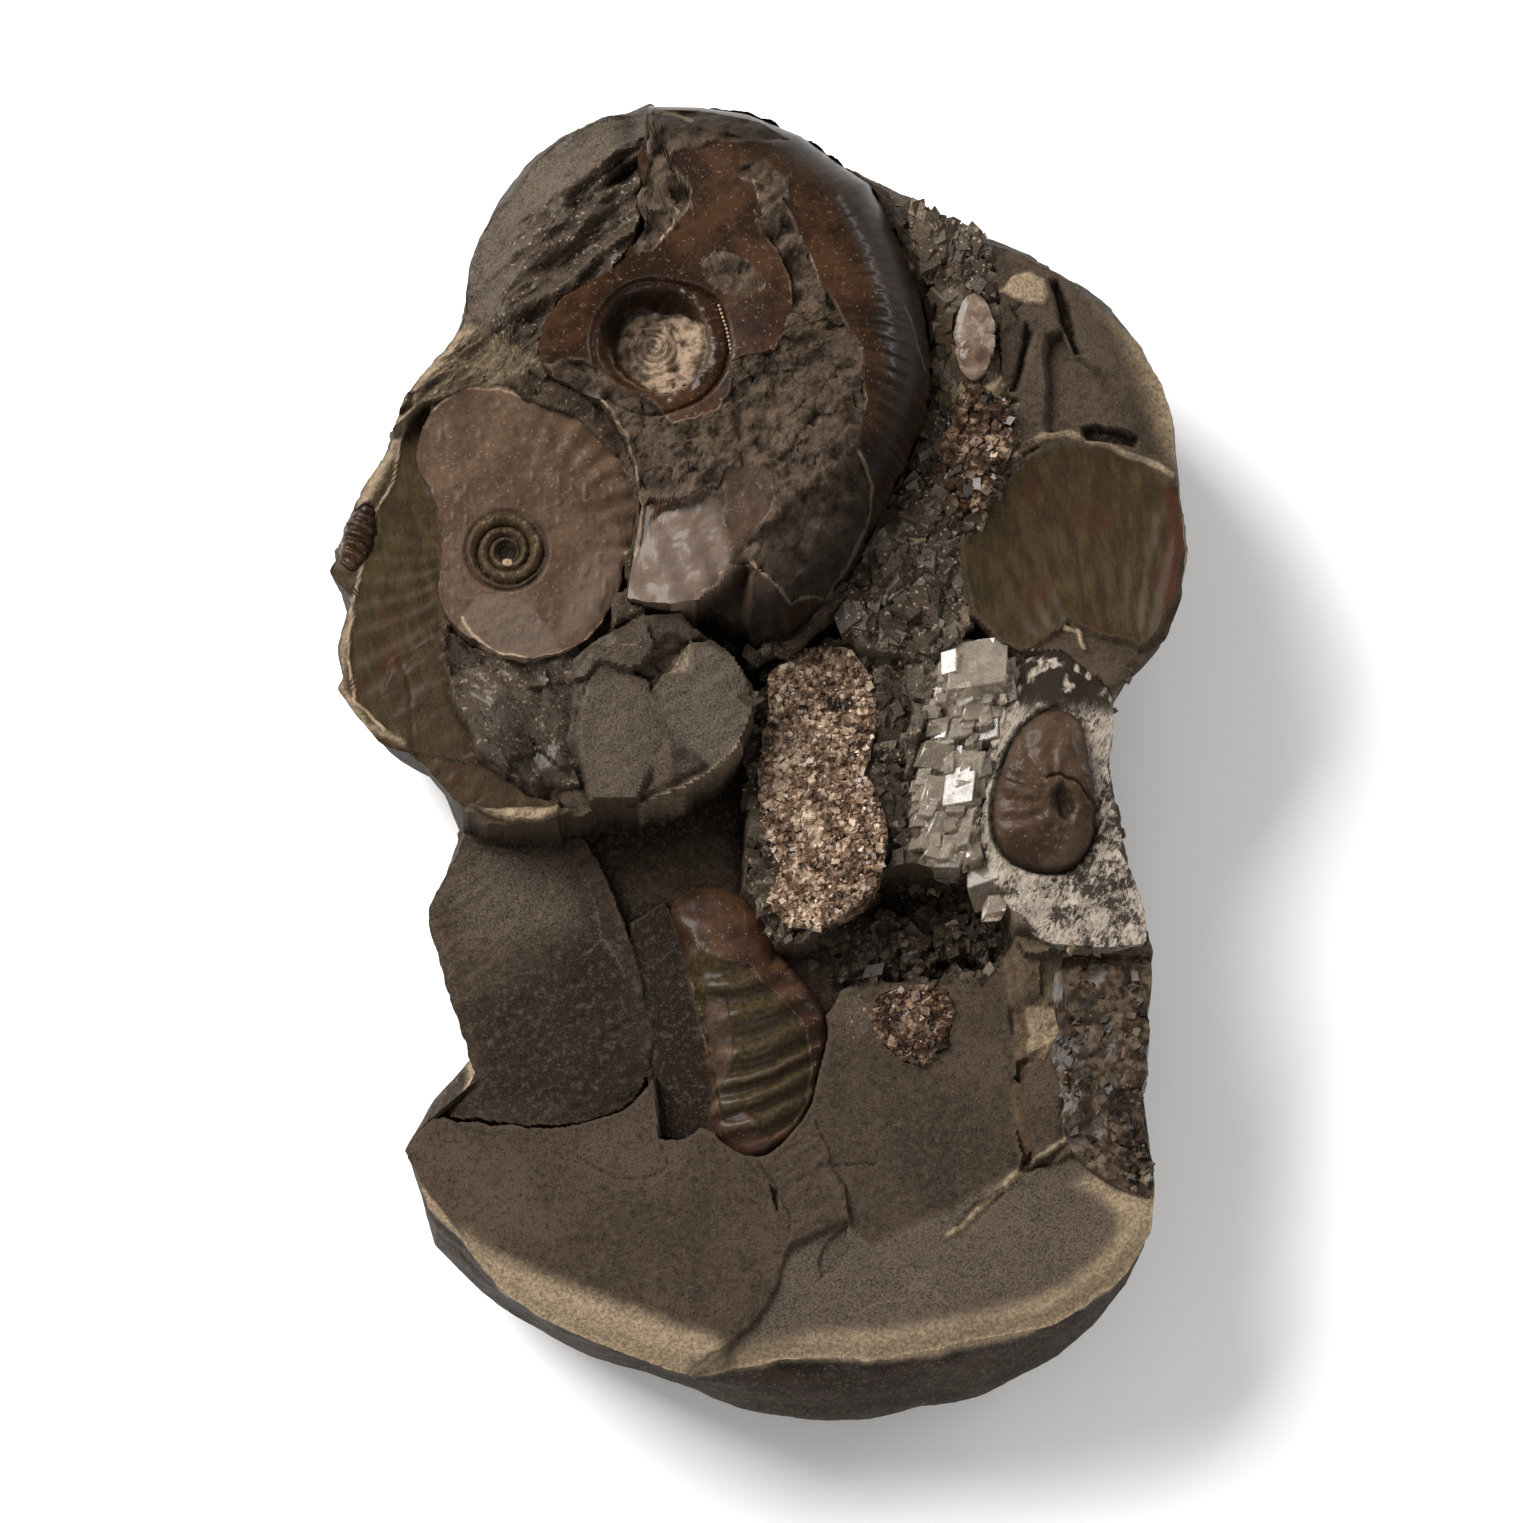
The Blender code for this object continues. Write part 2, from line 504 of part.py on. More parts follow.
PIECES = (
    Piece("large_ammonite", BROWN_SHELL, (655, 345), 64, 50, SHELL_RINGS, 48, large_shell_top, (
        (652, 109), (700, 110), (748, 118), (802, 139), (843, 169), (866, 184), (889, 218), (914, 279),
        (927, 322), (932, 388), (921, 434), (893, 493), (855, 567), (830, 595), (791, 636), (753, 641),
        (700, 590), (648, 600), (643, 510), (622, 430), (575, 380), (548, 345), (560, 310), (600, 290),
        (640, 245), (646, 200), (650, 150),
    )),
    Piece("left_ammonite", GREY_SHELL, (499, 552), 74, 60, DISC_RINGS, 36, left_shell_top, (
        (418, 440), (428, 408), (460, 394), (510, 385), (556, 395), (596, 425), (622, 455), (633, 510),
        (622, 570), (596, 628), (532, 657), (504, 655), (478, 640), (463, 612), (448, 560), (440, 520),
        (430, 485),
    )),
    Piece("small_ammonite", BROWN_SHELL, (1048, 800), 62, 50, SMALL_RINGS, 30, small_shell_top, (
        (993, 815), (998, 780), (1012, 745), (1035, 718), (1058, 710), (1080, 722), (1088, 764),
        (1093, 790), (1094, 815), (1088, 845), (1070, 866), (1043, 871), (1012, 862), (997, 842),
    )),
    Piece("ribbed_ammonite", OLIVE_SHELL, (752, 1020), 46.5, 38, RIB_RINGS, 36, ribbed_shell_top, (
        (670, 911), (678, 896), (701, 888), (729, 890), (750, 905), (762, 925), (772, 952), (808, 988),
        (829, 1023), (826, 1049), (818, 1074), (813, 1105), (803, 1123), (783, 1146), (760, 1158),
        (734, 1152), (709, 1125), (710, 1088), (706, 1054), (701, 1023), (688, 972), (678, 934),
    )),
    Piece("edge_ammonite", BROWN_SHELL, (360, 536), 66, 60, EDGE_RINGS, 18, edge_shell_top, (
        (343, 560), (344, 535), (352, 512), (366, 503), (376, 512), (375, 540), (366, 562), (352, 571),
    )),
    Piece("central_calcite", SUGAR_CALCITE, (820, 785), 55, 42, CRUST_RINGS, 26, crust_top(55.5), (
        (772, 675), (803, 654), (849, 652), (869, 678), (874, 715), (869, 770), (880, 804), (885, 835),
        (878, 870), (862, 900), (839, 915), (813, 925), (788, 918), (772, 890), (780, 860), (764, 830),
        (762, 753),
    )),
    Piece("lower_calcite", BROWN_CALCITE, (912, 1025), 50, 42, CRUST_RINGS, 16, crust_top(50.5), (
        (880, 1000), (905, 994), (930, 994), (950, 1000), (954, 1022), (945, 1045), (925, 1063), (900, 1058),
        (880, 1042), (874, 1020),
    )),
    Piece("upper_calcite", BROWN_CALCITE, (978, 448), 62, 50, CRUST_RINGS, 18, crust_top(61.5), (
        (962, 397), (990, 393), (1010, 405), (1014, 430), (1005, 460), (993, 492), (975, 508), (957, 500),
        (944, 478), (948, 440),
    )),
    Piece("oval_calcite", PINK_CALCITE, (975, 338), 63, 52, LENS_RINGS, 16, lens_top, (
        (958, 345), (960, 315), (968, 298), (977, 294), (990, 308), (993, 340), (986, 368), (973, 381),
        (962, 368),
    )),
    Piece("pale_calcite_bed", WHITE_CALCITE, (1052, 800), 58, 42, CRUST_RINGS, 30, crust_top(59.5), (
        (1030, 660), (1064, 654), (1100, 680), (1108, 710), (1105, 766), (1115, 850), (1130, 880),
        (1142, 938), (1090, 942), (1045, 936), (1026, 905), (1002, 868), (996, 780), (1007, 720),
    )),
    Piece("clear_calcite", CLEAR_CALCITE, (958, 765), 58, 44, CRUST_RINGS, 20, crust_top(58.0), (
        (920, 770), (925, 742), (940, 700), (950, 655), (985, 650), (1004, 668), (992, 715), (980, 745),
        (978, 790), (976, 840), (958, 862), (930, 860), (922, 815),
    )),
    Piece("dark_calcite", BROWN_CALCITE, (1104, 1070), 52, 38, CRUST_RINGS, 26, crust_top(51.5), (
        (1064, 962), (1100, 960), (1145, 966), (1140, 1010), (1138, 1050), (1136, 1085), (1136, 1110),
        (1142, 1140), (1148, 1165), (1145, 1188), (1108, 1176), (1074, 1146), (1066, 1100), (1063, 1030),
    )),
)

# Which pockets also cut a neighbouring piece
NESTED = (("pale_calcite_bed", "small_ammonite"), ("pale_calcite_bed", "clear_calcite"))

# Crystals that stand on a crust: piece, how many, smallest and largest size in mm, how far they stand out
CRYSTAL_GROWTHS = (
    ("central_calcite", 20, 4.0, 7.0, 1.6), ("lower_calcite", 6, 3.0, 5.0, 1.2),
    ("upper_calcite", 6, 3.5, 6.0, 1.4), ("dark_calcite", 12, 4.0, 7.0, 1.8),
    ("pale_calcite_bed", 7, 3.0, 5.0, 0.5),
)

# Blocks of the clear calcite: picture place, length, width, height in mm, turn in degrees
CLEAR_BLOCKS = (
    ((973, 682), 12, 10, 12, 20), ((932, 757), 7, 7, 10, -10), ((950, 792), 12, 8, 11, 5),
    ((955, 838), 11, 10, 11, -20), ((958, 722), 8, 6, 8, 35),
)


def add_boolean(obj, operation, collection):
    modifier = obj.modifiers.new(collection.name, "BOOLEAN")
    modifier.operation = operation
    modifier.operand_type = "COLLECTION"
    modifier.solver = "EXACT"
    modifier.collection = collection


def right_mould_cutter():
    """The dent that a ribbed disc left in the rock: shallow, ribbed and deepest in the middle."""

    def floor_of(share, angle, radius):
        ribs = 0.4 * math.cos(angle * 22) * share
        return (57.0 + 4.0 * share ** 4 + ribs) * MM

    spokes = 44
    angles = np.arange(spokes) * math.tau / spokes
    reach = polar_rim(RIGHT_MOULD, RIGHT_MOULD_CENTRE, 61 * MM, angles)
    middle = place(*RIGHT_MOULD_CENTRE, 61 * MM)
    work = bmesh.new()
    rings = []
    for share in (0.3, 0.6, 0.85, 1.0):
        rings.append([
            work.verts.new((
                middle.x + share * rim * math.cos(angle),
                middle.y + share * rim * math.sin(angle),
                floor_of(share, angle, rim),
            ))
            for angle, rim in zip(angles, reach)
        ])
    deepest = work.verts.new((middle.x, middle.y, floor_of(0.0, 0.0, 0.0)))
    lid = [work.verts.new((vert.co.x, vert.co.y, POCKET_TOP)) for vert in rings[-1]]
    for i in range(spokes):
        work.faces.new((deepest, rings[0][(i + 1) % spokes], rings[0][i]))
    for inner, outer in zip(rings, rings[1:]):
        bridge(work, inner, outer)
    bridge(work, rings[-1], lid)
    top = work.faces.new(lid)
    bmesh.ops.triangulate(work, faces=[top])
    return object_from("right_mould", work)


def clear_block(place_px, length, width, height, turn, grow=0.0):
    """One cleavage block, leaning a little as calcite does. grow adds the gap round it."""
    work = bmesh.new()
    bmesh.ops.create_cube(work, size=1.0)
    sides = [side * MM + 2 * grow for side in (length, width, height)]
    bmesh.ops.scale(work, vec=sides, verts=work.verts)
    lean = Matrix.Rotation(math.radians(turn), 4, "Z") @ Matrix.Rotation(math.radians(12), 4, "X")
    bmesh.ops.transform(work, matrix=lean, verts=work.verts)
    middle = place(*place_px, 60 * MM)
    middle.z = 57 * MM
    bmesh.ops.translate(work, vec=middle, verts=work.verts)
    return object_from("clear_block", work)


def crystal_growth(name, count, smallest, largest, stand_out):
    """Rhomb-like crystals at random places inside a crust's outline, each leaning its own way."""
    crust = next(piece for piece in PIECES if piece.name == name)
    level = crust.top_of(0.0, 0.0)
    middle = place(*crust.centre, crust.edge * MM)
    chance = random.Random(name)
    crystals = []
    while len(crystals) < count:
        size = chance.uniform(smallest, largest) * MM
        angle = chance.uniform(0, math.tau)
        rim = polar_rim(crust.outline, crust.centre, crust.edge * MM, np.array([angle]))[0]
        far = max(0.0, rim - 1.3 * size) * math.sqrt(chance.random())
        work = bmesh.new()
        bmesh.ops.create_cube(work, size=size)
        lean = (
            Matrix.Rotation(chance.uniform(0, math.tau), 4, "Z")
            @ Matrix.Rotation(chance.uniform(-0.6, 0.6), 4, "X")
            @ Matrix.Rotation(chance.uniform(-0.6, 0.6), 4, "Y")
        )
        bmesh.ops.transform(work, matrix=lean, verts=work.verts)
        high = max(vert.co.z for vert in work.verts)
        top = level + chance.uniform(0.3, 1.0) * stand_out * MM + 0.8 * MM
        spot = (middle.x + far * math.cos(angle), middle.y + far * math.sin(angle), top - high)
        bmesh.ops.translate(work, vec=spot, verts=work.verts)
        crystals.append(object_from(name + "_crystal", work))
    return crystals


def build_rock():
    rock = nodule_body()
    raised = [slab(*values) for values in SLABS]
    raised += [layer_ridge(*values) for values in LAYER_RIDGES]
    raised += [chip(*values, seed) for seed, values in enumerate(CHIPS)]
    add_boolean(rock, "UNION", helper_collection("raised_rock", raised))
    cuts = [right_mould_cutter()]
    for name, floor, outline in PITS:
        ring = placed_outline(outline, floor * MM)
        cuts.append(prism(name, ring, floor * MM, [POCKET_TOP] * len(ring)))
    add_boolean(rock, "DIFFERENCE", helper_collection("pits", cuts))
    return rock


def build_pieces(rock):
    pieces = {piece.name: piece_solid(piece) for piece in PIECES}
    pockets = {piece.name: pocket_for(piece) for piece in PIECES}
    add_boolean(rock, "DIFFERENCE", helper_collection("pockets", pockets.values()))
    for values in CRYSTAL_GROWTHS:
        grown = helper_collection(values[0] + "_crystals", crystal_growth(*values))
        add_boolean(pieces[values[0]], "UNION", grown)
    blocks = [clear_block(*values) for values in CLEAR_BLOCKS]
    add_boolean(pieces["clear_calcite"], "UNION", helper_collection("clear_blocks", blocks))
    rooms = helper_collection("block_rooms", [clear_block(*values, JOINT_GAP) for values in CLEAR_BLOCKS])
    for neighbour in (rock, pieces["pale_calcite_bed"]):
        add_boolean(neighbour, "DIFFERENCE", rooms)
    for outer, inner in NESTED:
        modifier = pieces[outer].modifiers.new(inner, "BOOLEAN")
        modifier.operation = "DIFFERENCE"
        modifier.solver = "EXACT"
        modifier.object = pockets[inner]


def main():
    clear_scene()
    rock = build_rock()
    build_pieces(rock)


main()
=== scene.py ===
"""Dresses the ammonite cluster plate: broken mudstone, coiled shells and calcite, lying on a pale floor.

Shapes are worked out in millimetres and written to the meshes in metres. Places are read in the photograph's
1523 by 1523 pixels and carried to the stone along the camera's line of sight, at the height of the surface.
"""
import logging
import math
from dataclasses import dataclass, field
from enum import Enum
from typing import Any

import bpy
import numpy as np
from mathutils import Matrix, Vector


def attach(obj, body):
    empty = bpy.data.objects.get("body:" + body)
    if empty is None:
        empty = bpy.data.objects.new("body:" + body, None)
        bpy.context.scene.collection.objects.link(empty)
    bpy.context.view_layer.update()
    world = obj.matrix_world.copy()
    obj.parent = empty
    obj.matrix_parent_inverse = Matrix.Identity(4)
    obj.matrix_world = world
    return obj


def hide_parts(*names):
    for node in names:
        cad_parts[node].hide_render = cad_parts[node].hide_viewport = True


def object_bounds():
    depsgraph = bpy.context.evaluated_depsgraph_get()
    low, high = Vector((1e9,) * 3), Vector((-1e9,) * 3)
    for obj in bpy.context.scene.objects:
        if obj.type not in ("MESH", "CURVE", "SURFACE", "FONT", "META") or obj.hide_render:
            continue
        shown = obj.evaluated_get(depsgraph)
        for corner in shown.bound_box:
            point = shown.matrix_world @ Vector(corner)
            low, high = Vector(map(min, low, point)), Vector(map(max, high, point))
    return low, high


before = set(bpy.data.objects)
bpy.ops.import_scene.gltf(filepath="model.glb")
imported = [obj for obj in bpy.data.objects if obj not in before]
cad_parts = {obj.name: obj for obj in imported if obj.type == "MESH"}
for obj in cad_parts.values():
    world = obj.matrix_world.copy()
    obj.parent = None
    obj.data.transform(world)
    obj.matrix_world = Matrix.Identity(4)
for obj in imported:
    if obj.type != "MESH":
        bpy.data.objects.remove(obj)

CAD_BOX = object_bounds()
LOG = logging.getLogger("plate")
MM = 0.001
BODY = "root"

Array = np.ndarray
Pixels = tuple[tuple[float, ...], ...]
Colour = tuple[float, float, float]


# The picture and the places in it


@dataclass(frozen=True)
class Picture:
    """The photograph's frame, seen along a line that leans from straight above towards the front edge."""

    side: float = 1523.0
    pixel: float = 0.2275
    lean: float = math.radians(13)
    middle_column: float = 757.5
    front_row: float = 1420.0
    front_height: float = 22.0

    def place(self, column: Array | float, row: Array | float, height: Array | float) -> tuple[Array, Array]:
        """Carries a picture point to the stone.

        Args:
            column: Pixels from the left.
            row: Pixels from the top.
            height: Height of the point above the floor, in mm.

        Returns:
            x and y in mm. The nodule's front line, at front_height, meets the front of the CAD box.
        """
        front_y = CAD_BOX[0][1] / MM
        middle_x = (CAD_BOX[0][0] + CAD_BOX[1][0]) / 2 / MM
        x = middle_x + (np.asarray(column) - self.middle_column) * self.pixel
        up = (self.front_row - np.asarray(row)) * self.pixel
        sink = (np.asarray(height) - self.front_height) * math.sin(self.lean)
        return x, front_y + (up - sink) / math.cos(self.lean)

    def find(self, x: Array, y: Array, height: float) -> tuple[Array, Array]:
        """Finds points of the stone on the photograph: place, turned back.

        Args:
            x: Points in mm.
            y: Points in mm.
            height: Their height in mm.

        Returns:
            Their columns and rows.
        """
        front_y = CAD_BOX[0][1] / MM
        middle_x = (CAD_BOX[0][0] + CAD_BOX[1][0]) / 2 / MM
        sink = (height - self.front_height) * math.sin(self.lean)
        up = (y - front_y) * math.cos(self.lean) + sink
        return self.middle_column + (x - middle_x) / self.pixel, self.front_row - up / self.pixel


PICTURE = Picture()


def on_stone(pixels: Pixels, height: float) -> Array:
    """Carries points of the photograph to the stone.

    Args:
        pixels: Column and row of each, and its own height where there is a third value.
        height: The height in mm of those that have none.

    Returns:
        x and y in mm, one row each.
    """
    points = np.array(pixels, float)
    heights = points[:, 2] if points.shape[1] > 2 else height
    return np.stack(PICTURE.place(points[:, 0], points[:, 1], heights), axis=1)


@dataclass(frozen=True)
class Outline:
    """A closed line drawn on the photograph, at one height on the stone or with each corner's own height."""

    pixels: Pixels
    height: float

    def corners(self) -> Array:
        """Returns the corners on the stone in mm, one row each."""
        return on_stone(self.pixels, self.height)

    def depth(self, x: Array, y: Array) -> Array:
        """Signed distance to the outline: how far inside it each point is.

        Args:
            x: Points in mm.
            y: Points in mm.

        Returns:
            Distance in mm, positive inside and negative outside.
        """
        corners = self.corners()
        nearest = np.full(x.shape, 1e9)
        inside = np.zeros(x.shape, bool)
        for start, end in zip(corners, np.roll(corners, -1, axis=0)):
            nearest = np.minimum(nearest, distance_to_edge(x, y, start, end))
            if start[1] != end[1]:
                crossing = start[0] + (end[0] - start[0]) * (y - start[1]) / (end[1] - start[1])
                inside ^= ((start[1] > y) != (end[1] > y)) & (x < crossing)
        return np.where(inside, nearest, -nearest)


def reach_at(points: Array, middle: Array, bearing: Array, *values: Array) -> list[Array]:
    """Reads a closed line as distances from a middle point; a stretch that bends back becomes a radial step.

    Args:
        points: The line's corners in mm, one row each.
        middle: The middle point.
        bearing: Directions to read, in radians.
        values: More values at the corners, to be read in the same directions.

    Returns:
        The distance in each direction in mm, and then each of the values.
    """
    offsets = points - middle
    around = np.unwrap(np.arctan2(offsets[:, 1], offsets[:, 0]))
    if around[-1] < around[0]:
        around, offsets = around[::-1], offsets[::-1]
        values = tuple(value[::-1] for value in values)
    around = np.maximum.accumulate(around) + 1e-6 * np.arange(len(around))
    lengths = np.hypot(offsets[:, 0], offsets[:, 1])
    turned = around[0] + (bearing - around[0]) % math.tau
    return [
        np.interp(turned, np.append(around, around[0] + math.tau), np.append(value, value[0]))
        for value in (lengths, *values)
    ]


def distance_to_edge(x: Array, y: Array, start: Array, end: Array) -> Array:
    """Measures how far points are from a straight edge: from its nearest point, clamped to its two ends.

    Args:
        x: Points in mm.
        y: Points in mm.
        start: One end of the edge.
        end: Its other end.

    Returns:
        Distances in mm.
    """
    along = end - start
    share = ((x - start[0]) * along[0] + (y - start[1]) * along[1]) / max(1e-9, float(along @ along))
    share = np.clip(share, 0.0, 1.0)
    return np.hypot(x - start[0] - share * along[0], y - start[1] - share * along[1])


def distance_to_line(pixels: Pixels, height: float, x: Array, y: Array) -> Array:
    """Measures how far points are from an open line drawn on the photograph.

    Args:
        pixels: The line's corners.
        height: Its height in mm, unless each corner has its own.
        x: Points in mm.
        y: Points in mm.

    Returns:
        Distances in mm.
    """
    corners = on_stone(pixels, height)
    nearest = np.full(x.shape, 1e9)
    for start, end in zip(corners[:-1], corners[1:]):
        nearest = np.minimum(nearest, distance_to_edge(x, y, start, end))
    return nearest


# Repeatable roughness, as whole arrays


def ease(value: Array, low: float, high: float) -> Array:
    """0 below low, 1 above high, and a smooth S between: 3t2 - 2t3."""
    share = np.clip((value - low) / (high - low), 0.0, 1.0)
    return share * share * (3 - 2 * share)


FACTOR_X = 374761393
FACTOR_Y = 668265263
FACTOR_Z = 2246822519
FACTOR_SEED = 3266489917
FACTOR_MIX = 1274126177
SEED_SHIFT = 12345
WORD_SPAN = 4294967296


def corner_value(ix: Array, iy: Array, iz: Array, seed: int) -> Array:
    """Draws a repeatable number for each whole-numbered corner, by mixing its bits.

    Args:
        ix: Corner numbers along x.
        iy: Corner numbers along y.
        iz: Corner numbers along z.
        seed: Which pattern.

    Returns:
        Numbers from 0 to 1.
    """
    with np.errstate(over="ignore"):
        mixed = np.uint32((seed * FACTOR_SEED + SEED_SHIFT) % WORD_SPAN)
        for corner, factor in ((ix, FACTOR_X), (iy, FACTOR_Y), (iz, FACTOR_Z)):
            mixed = mixed + corner.astype(np.int64).astype(np.uint32) * np.uint32(factor)
        mixed = (mixed ^ (mixed >> np.uint32(13))) * np.uint32(FACTOR_MIX)
        mixed = (mixed ^ (mixed >> np.uint32(15))) * np.uint32(FACTOR_Z)
    return (mixed ^ (mixed >> np.uint32(16))).astype(np.float64) / (WORD_SPAN - 1)


def smooth_noise(x: Array, y: Array, z: Array | float, size: float, seed: int) -> Array:
    """Blends the corner values of a grid of cubes, so that they change smoothly.

    Args:
        x: Points in mm.
        y: Points in mm.
        z: Points in mm, or one number.
        size: Side of a cube in mm.
        seed: Which pattern.

    Returns:
        Numbers from -1 to 1.
    """
    gx, gy, gz = np.broadcast_arrays(x / size, y / size, np.asarray(z) / size)
    ix, iy, iz = np.floor(gx), np.floor(gy), np.floor(gz)
    fx, fy, fz = (f * f * (3 - 2 * f) for f in (gx - ix, gy - iy, gz - iz))
    total = np.zeros(gx.shape)
    for dx in (0, 1):
        for dy in (0, 1):
            for dz in (0, 1):
                weight = (fx if dx else 1 - fx) * (fy if dy else 1 - fy) * (fz if dz else 1 - fz)
                total += weight * corner_value(ix + dx, iy + dy, iz + dz, seed)
    return total * 2 - 1


def rough_noise(x: Array, y: Array, z: Array | float, size: float, seed: int, octaves: int = 4) -> Array:
    """Sums smooth noises, each half the size and half the strength of the one before.

    Args:
        x: Points in mm.
        y: Points in mm.
        z: Points in mm, or one number.
        size: Size of the largest in mm.
        seed: Which pattern.
        octaves: How many there are.

    Returns:
        Numbers from -1 to 1.
    """
    total = np.zeros(np.broadcast(x, y, np.asarray(z)).shape)
    for octave in range(octaves):
        total += 0.5 ** octave * smooth_noise(x, y, z, size / 2 ** octave, seed + 31 * octave)
    return total / (2 - 0.5 ** (octaves - 1))


def crests(x: Array, y: Array, z: Array | float, size: float, seed: int, octaves: int = 4) -> Array:
    """Makes sharp crests between rounded hollows: octaves of 1 - 2 |noise|.

    Args:
        x: Points in mm.
        y: Points in mm.
        z: Points in mm, or one number.
        size: Size of the largest in mm.
        seed: Which pattern.
        octaves: How many there are.

    Returns:
        Numbers from -1 to 1.
    """
    total = np.zeros(np.broadcast(x, y, np.asarray(z)).shape)
    for octave in range(octaves):
        wave = np.abs(smooth_noise(x, y, z, size / 2 ** octave, seed + 17 * octave))
        total += 0.5 ** octave * (1 - 2 * wave)
    return total / (2 - 0.5 ** (octaves - 1))


def nearest_seed(x: Array, y: Array, size: float, seed: int) -> tuple[Array, ...]:
    """The closest of the seeds that lie one to each square of a grid.

    Args:
        x: Points in mm.
        y: Points in mm.
        size: Side of a square in mm.
        seed: Which pattern.

    Returns:
        The seed's x and y in mm, and its lot from 0 to 1.
    """
    column, row = np.floor(x / size), np.floor(y / size)
    nearest = np.full(x.shape, 1e9)
    found = [np.zeros(x.shape) for _ in range(3)]
    for dx in (-1, 0, 1):
        for dy in (-1, 0, 1):
            draws = [corner_value(column + dx, row + dy, np.full(x.shape, k), seed) for k in range(3)]
            seed_x, seed_y = (column + dx + draws[0]) * size, (row + dy + draws[1]) * size
            gap = (x - seed_x) ** 2 + (y - seed_y) ** 2
            closer = gap < nearest
            nearest = np.where(closer, gap, nearest)
            found = [np.where(closer, new, old) for new, old in zip((seed_x, seed_y, draws[2]), found)]
    return tuple(found)


def facets(x: Array, y: Array, size: float, depth: float, seed: int) -> tuple[Array, Array]:
    """Flat broken faces: a smooth swell, seen as its tangent plane at the nearest seed.

    Args:
        x: Points in mm.
        y: Points in mm.
        size: Size of a face in mm.
        depth: Height of the swell in mm.
        seed: Which pattern.

    Returns:
        The height in mm, and a lot from 0 to 1 for each face.
    """
    seed_x, seed_y, lot = nearest_seed(x, y, size, seed)
    swell, step = size * 1.6, size * 0.05
    here = smooth_noise(seed_x, seed_y, 0.0, swell, seed + 1)
    slope_x = (smooth_noise(seed_x + step, seed_y, 0.0, swell, seed + 1) - here) / step
    slope_y = (smooth_noise(seed_x, seed_y + step, 0.0, swell, seed + 1) - here) / step
    return depth * (here + slope_x * (x - seed_x) + slope_y * (y - seed_y)), lot


def strands(x: Array, y: Array, turn: float, stretch: float) -> tuple[Array, Array]:
    """Turns coordinates so that patterns run out long in one direction.

    Args:
        x: Points in mm.
        y: Points in mm.
        turn: The direction in degrees.
        stretch: How many times longer they run.

    Returns:
        Coordinates along and across it.
    """
    angle = math.radians(turn)
    along = x * math.cos(angle) + y * math.sin(angle)
    return along / stretch, y * math.cos(angle) - x * math.sin(angle)


def spread(values: Array, cells: int) -> Array:
    """Averages each cell's square neighbourhood, from running sums down the rows and then the columns.

    Args:
        values: The grid.
        cells: How many cells the square reaches to each side.

    Returns:
        The means.
    """
    for axis in (0, 1):
        padding = [(0, 0), (0, 0)]
        padding[axis] = (cells + 1, cells)
        sums = np.cumsum(np.pad(values, padding, mode="edge"), axis=axis)
        upper = np.take(sums, np.arange(2 * cells + 1, sums.shape[axis]), axis=axis)
        lower = np.take(sums, np.arange(0, sums.shape[axis] - 2 * cells - 1), axis=axis)
        values = (upper - lower) / (2 * cells + 1)
    return values


# Writing meshes


def write_mesh(name: str, points: Array, faces: Array, zones: dict[str, Array], sharp: float = 180.0) -> Any:
    """Makes one object from arrays.

    Args:
        name: The piece's name.
        points: Vertices in mm, one row each.
        faces: Vertex numbers, four to a row; a triangle repeats its last one.
        zones: Attribute name to one colour (rgb columns) for each vertex.
        sharp: Edges that bend more than this many degrees stay crisp.

    Returns:
        The object, at the origin.
    """
    triangle = faces[:, 2] == faces[:, 3]
    loops = np.concatenate([faces[~triangle].ravel(), faces[triangle][:, :3].ravel()])
    quads, triangles = int((~triangle).sum()), int(triangle.sum())
    starts = np.concatenate([np.arange(quads) * 4, quads * 4 + np.arange(triangles) * 3])
    mesh = bpy.data.meshes.new(name)
    mesh.vertices.add(len(points))
    mesh.vertices.foreach_set("co", (points * MM).astype(np.float32).ravel())
    mesh.loops.add(len(loops))
    mesh.loops.foreach_set("vertex_index", loops.astype(np.int32))
    mesh.polygons.add(len(starts))
    mesh.polygons.foreach_set("loop_start", starts.astype(np.int32))
    mesh.update(calc_edges=True)
    mesh.validate()
    for label, colours in zones.items():
        layer = mesh.attributes.new(label, "FLOAT_COLOR", "POINT")
        rgba = np.ones((len(points), 4), np.float32)
        rgba[:, :3] = colours
        layer.data.foreach_set("color", rgba.ravel())
    mesh.shade_smooth()
    if sharp < 180.0:
        mesh.set_sharp_from_angle(angle=math.radians(sharp))
    obj = bpy.data.objects.new(name, mesh)
    bpy.context.scene.collection.objects.link(obj)
    return obj


def grid_faces(rows: int, columns: int, wrap: bool) -> Array:
    """Makes the quads of a grid of vertices numbered row by row.

    Args:
        rows: Vertices down.
        columns: Vertices across.
        wrap: Whether the last column joins the first.

    Returns:
        Four vertex numbers to a row.
    """
    numbers = np.arange(rows * columns).reshape(rows, columns)
    right = np.roll(numbers, -1, axis=1) if wrap else numbers[:, 1:]
    left = numbers if wrap else numbers[:, :-1]
    quads = np.stack([left[:-1], right[:-1], right[1:], left[1:]], axis=-1)
    return quads.reshape(-1, 4)


def fan_faces(ring: Array, tip: int, upwards: bool) -> Array:
    """Makes the triangles from a closed ring to one tip.

    Args:
        ring: Vertex numbers, counter-clockwise from above.
        tip: The tip's number.
        upwards: Whether they face up.

    Returns:
        Four vertex numbers to a row, the last one twice.
    """
    after = np.roll(ring, -1)
    tips = np.full(len(ring), tip)
    order = (ring, after, tips, tips) if upwards else (after, ring, tips, tips)
    return np.stack(order, axis=-1)


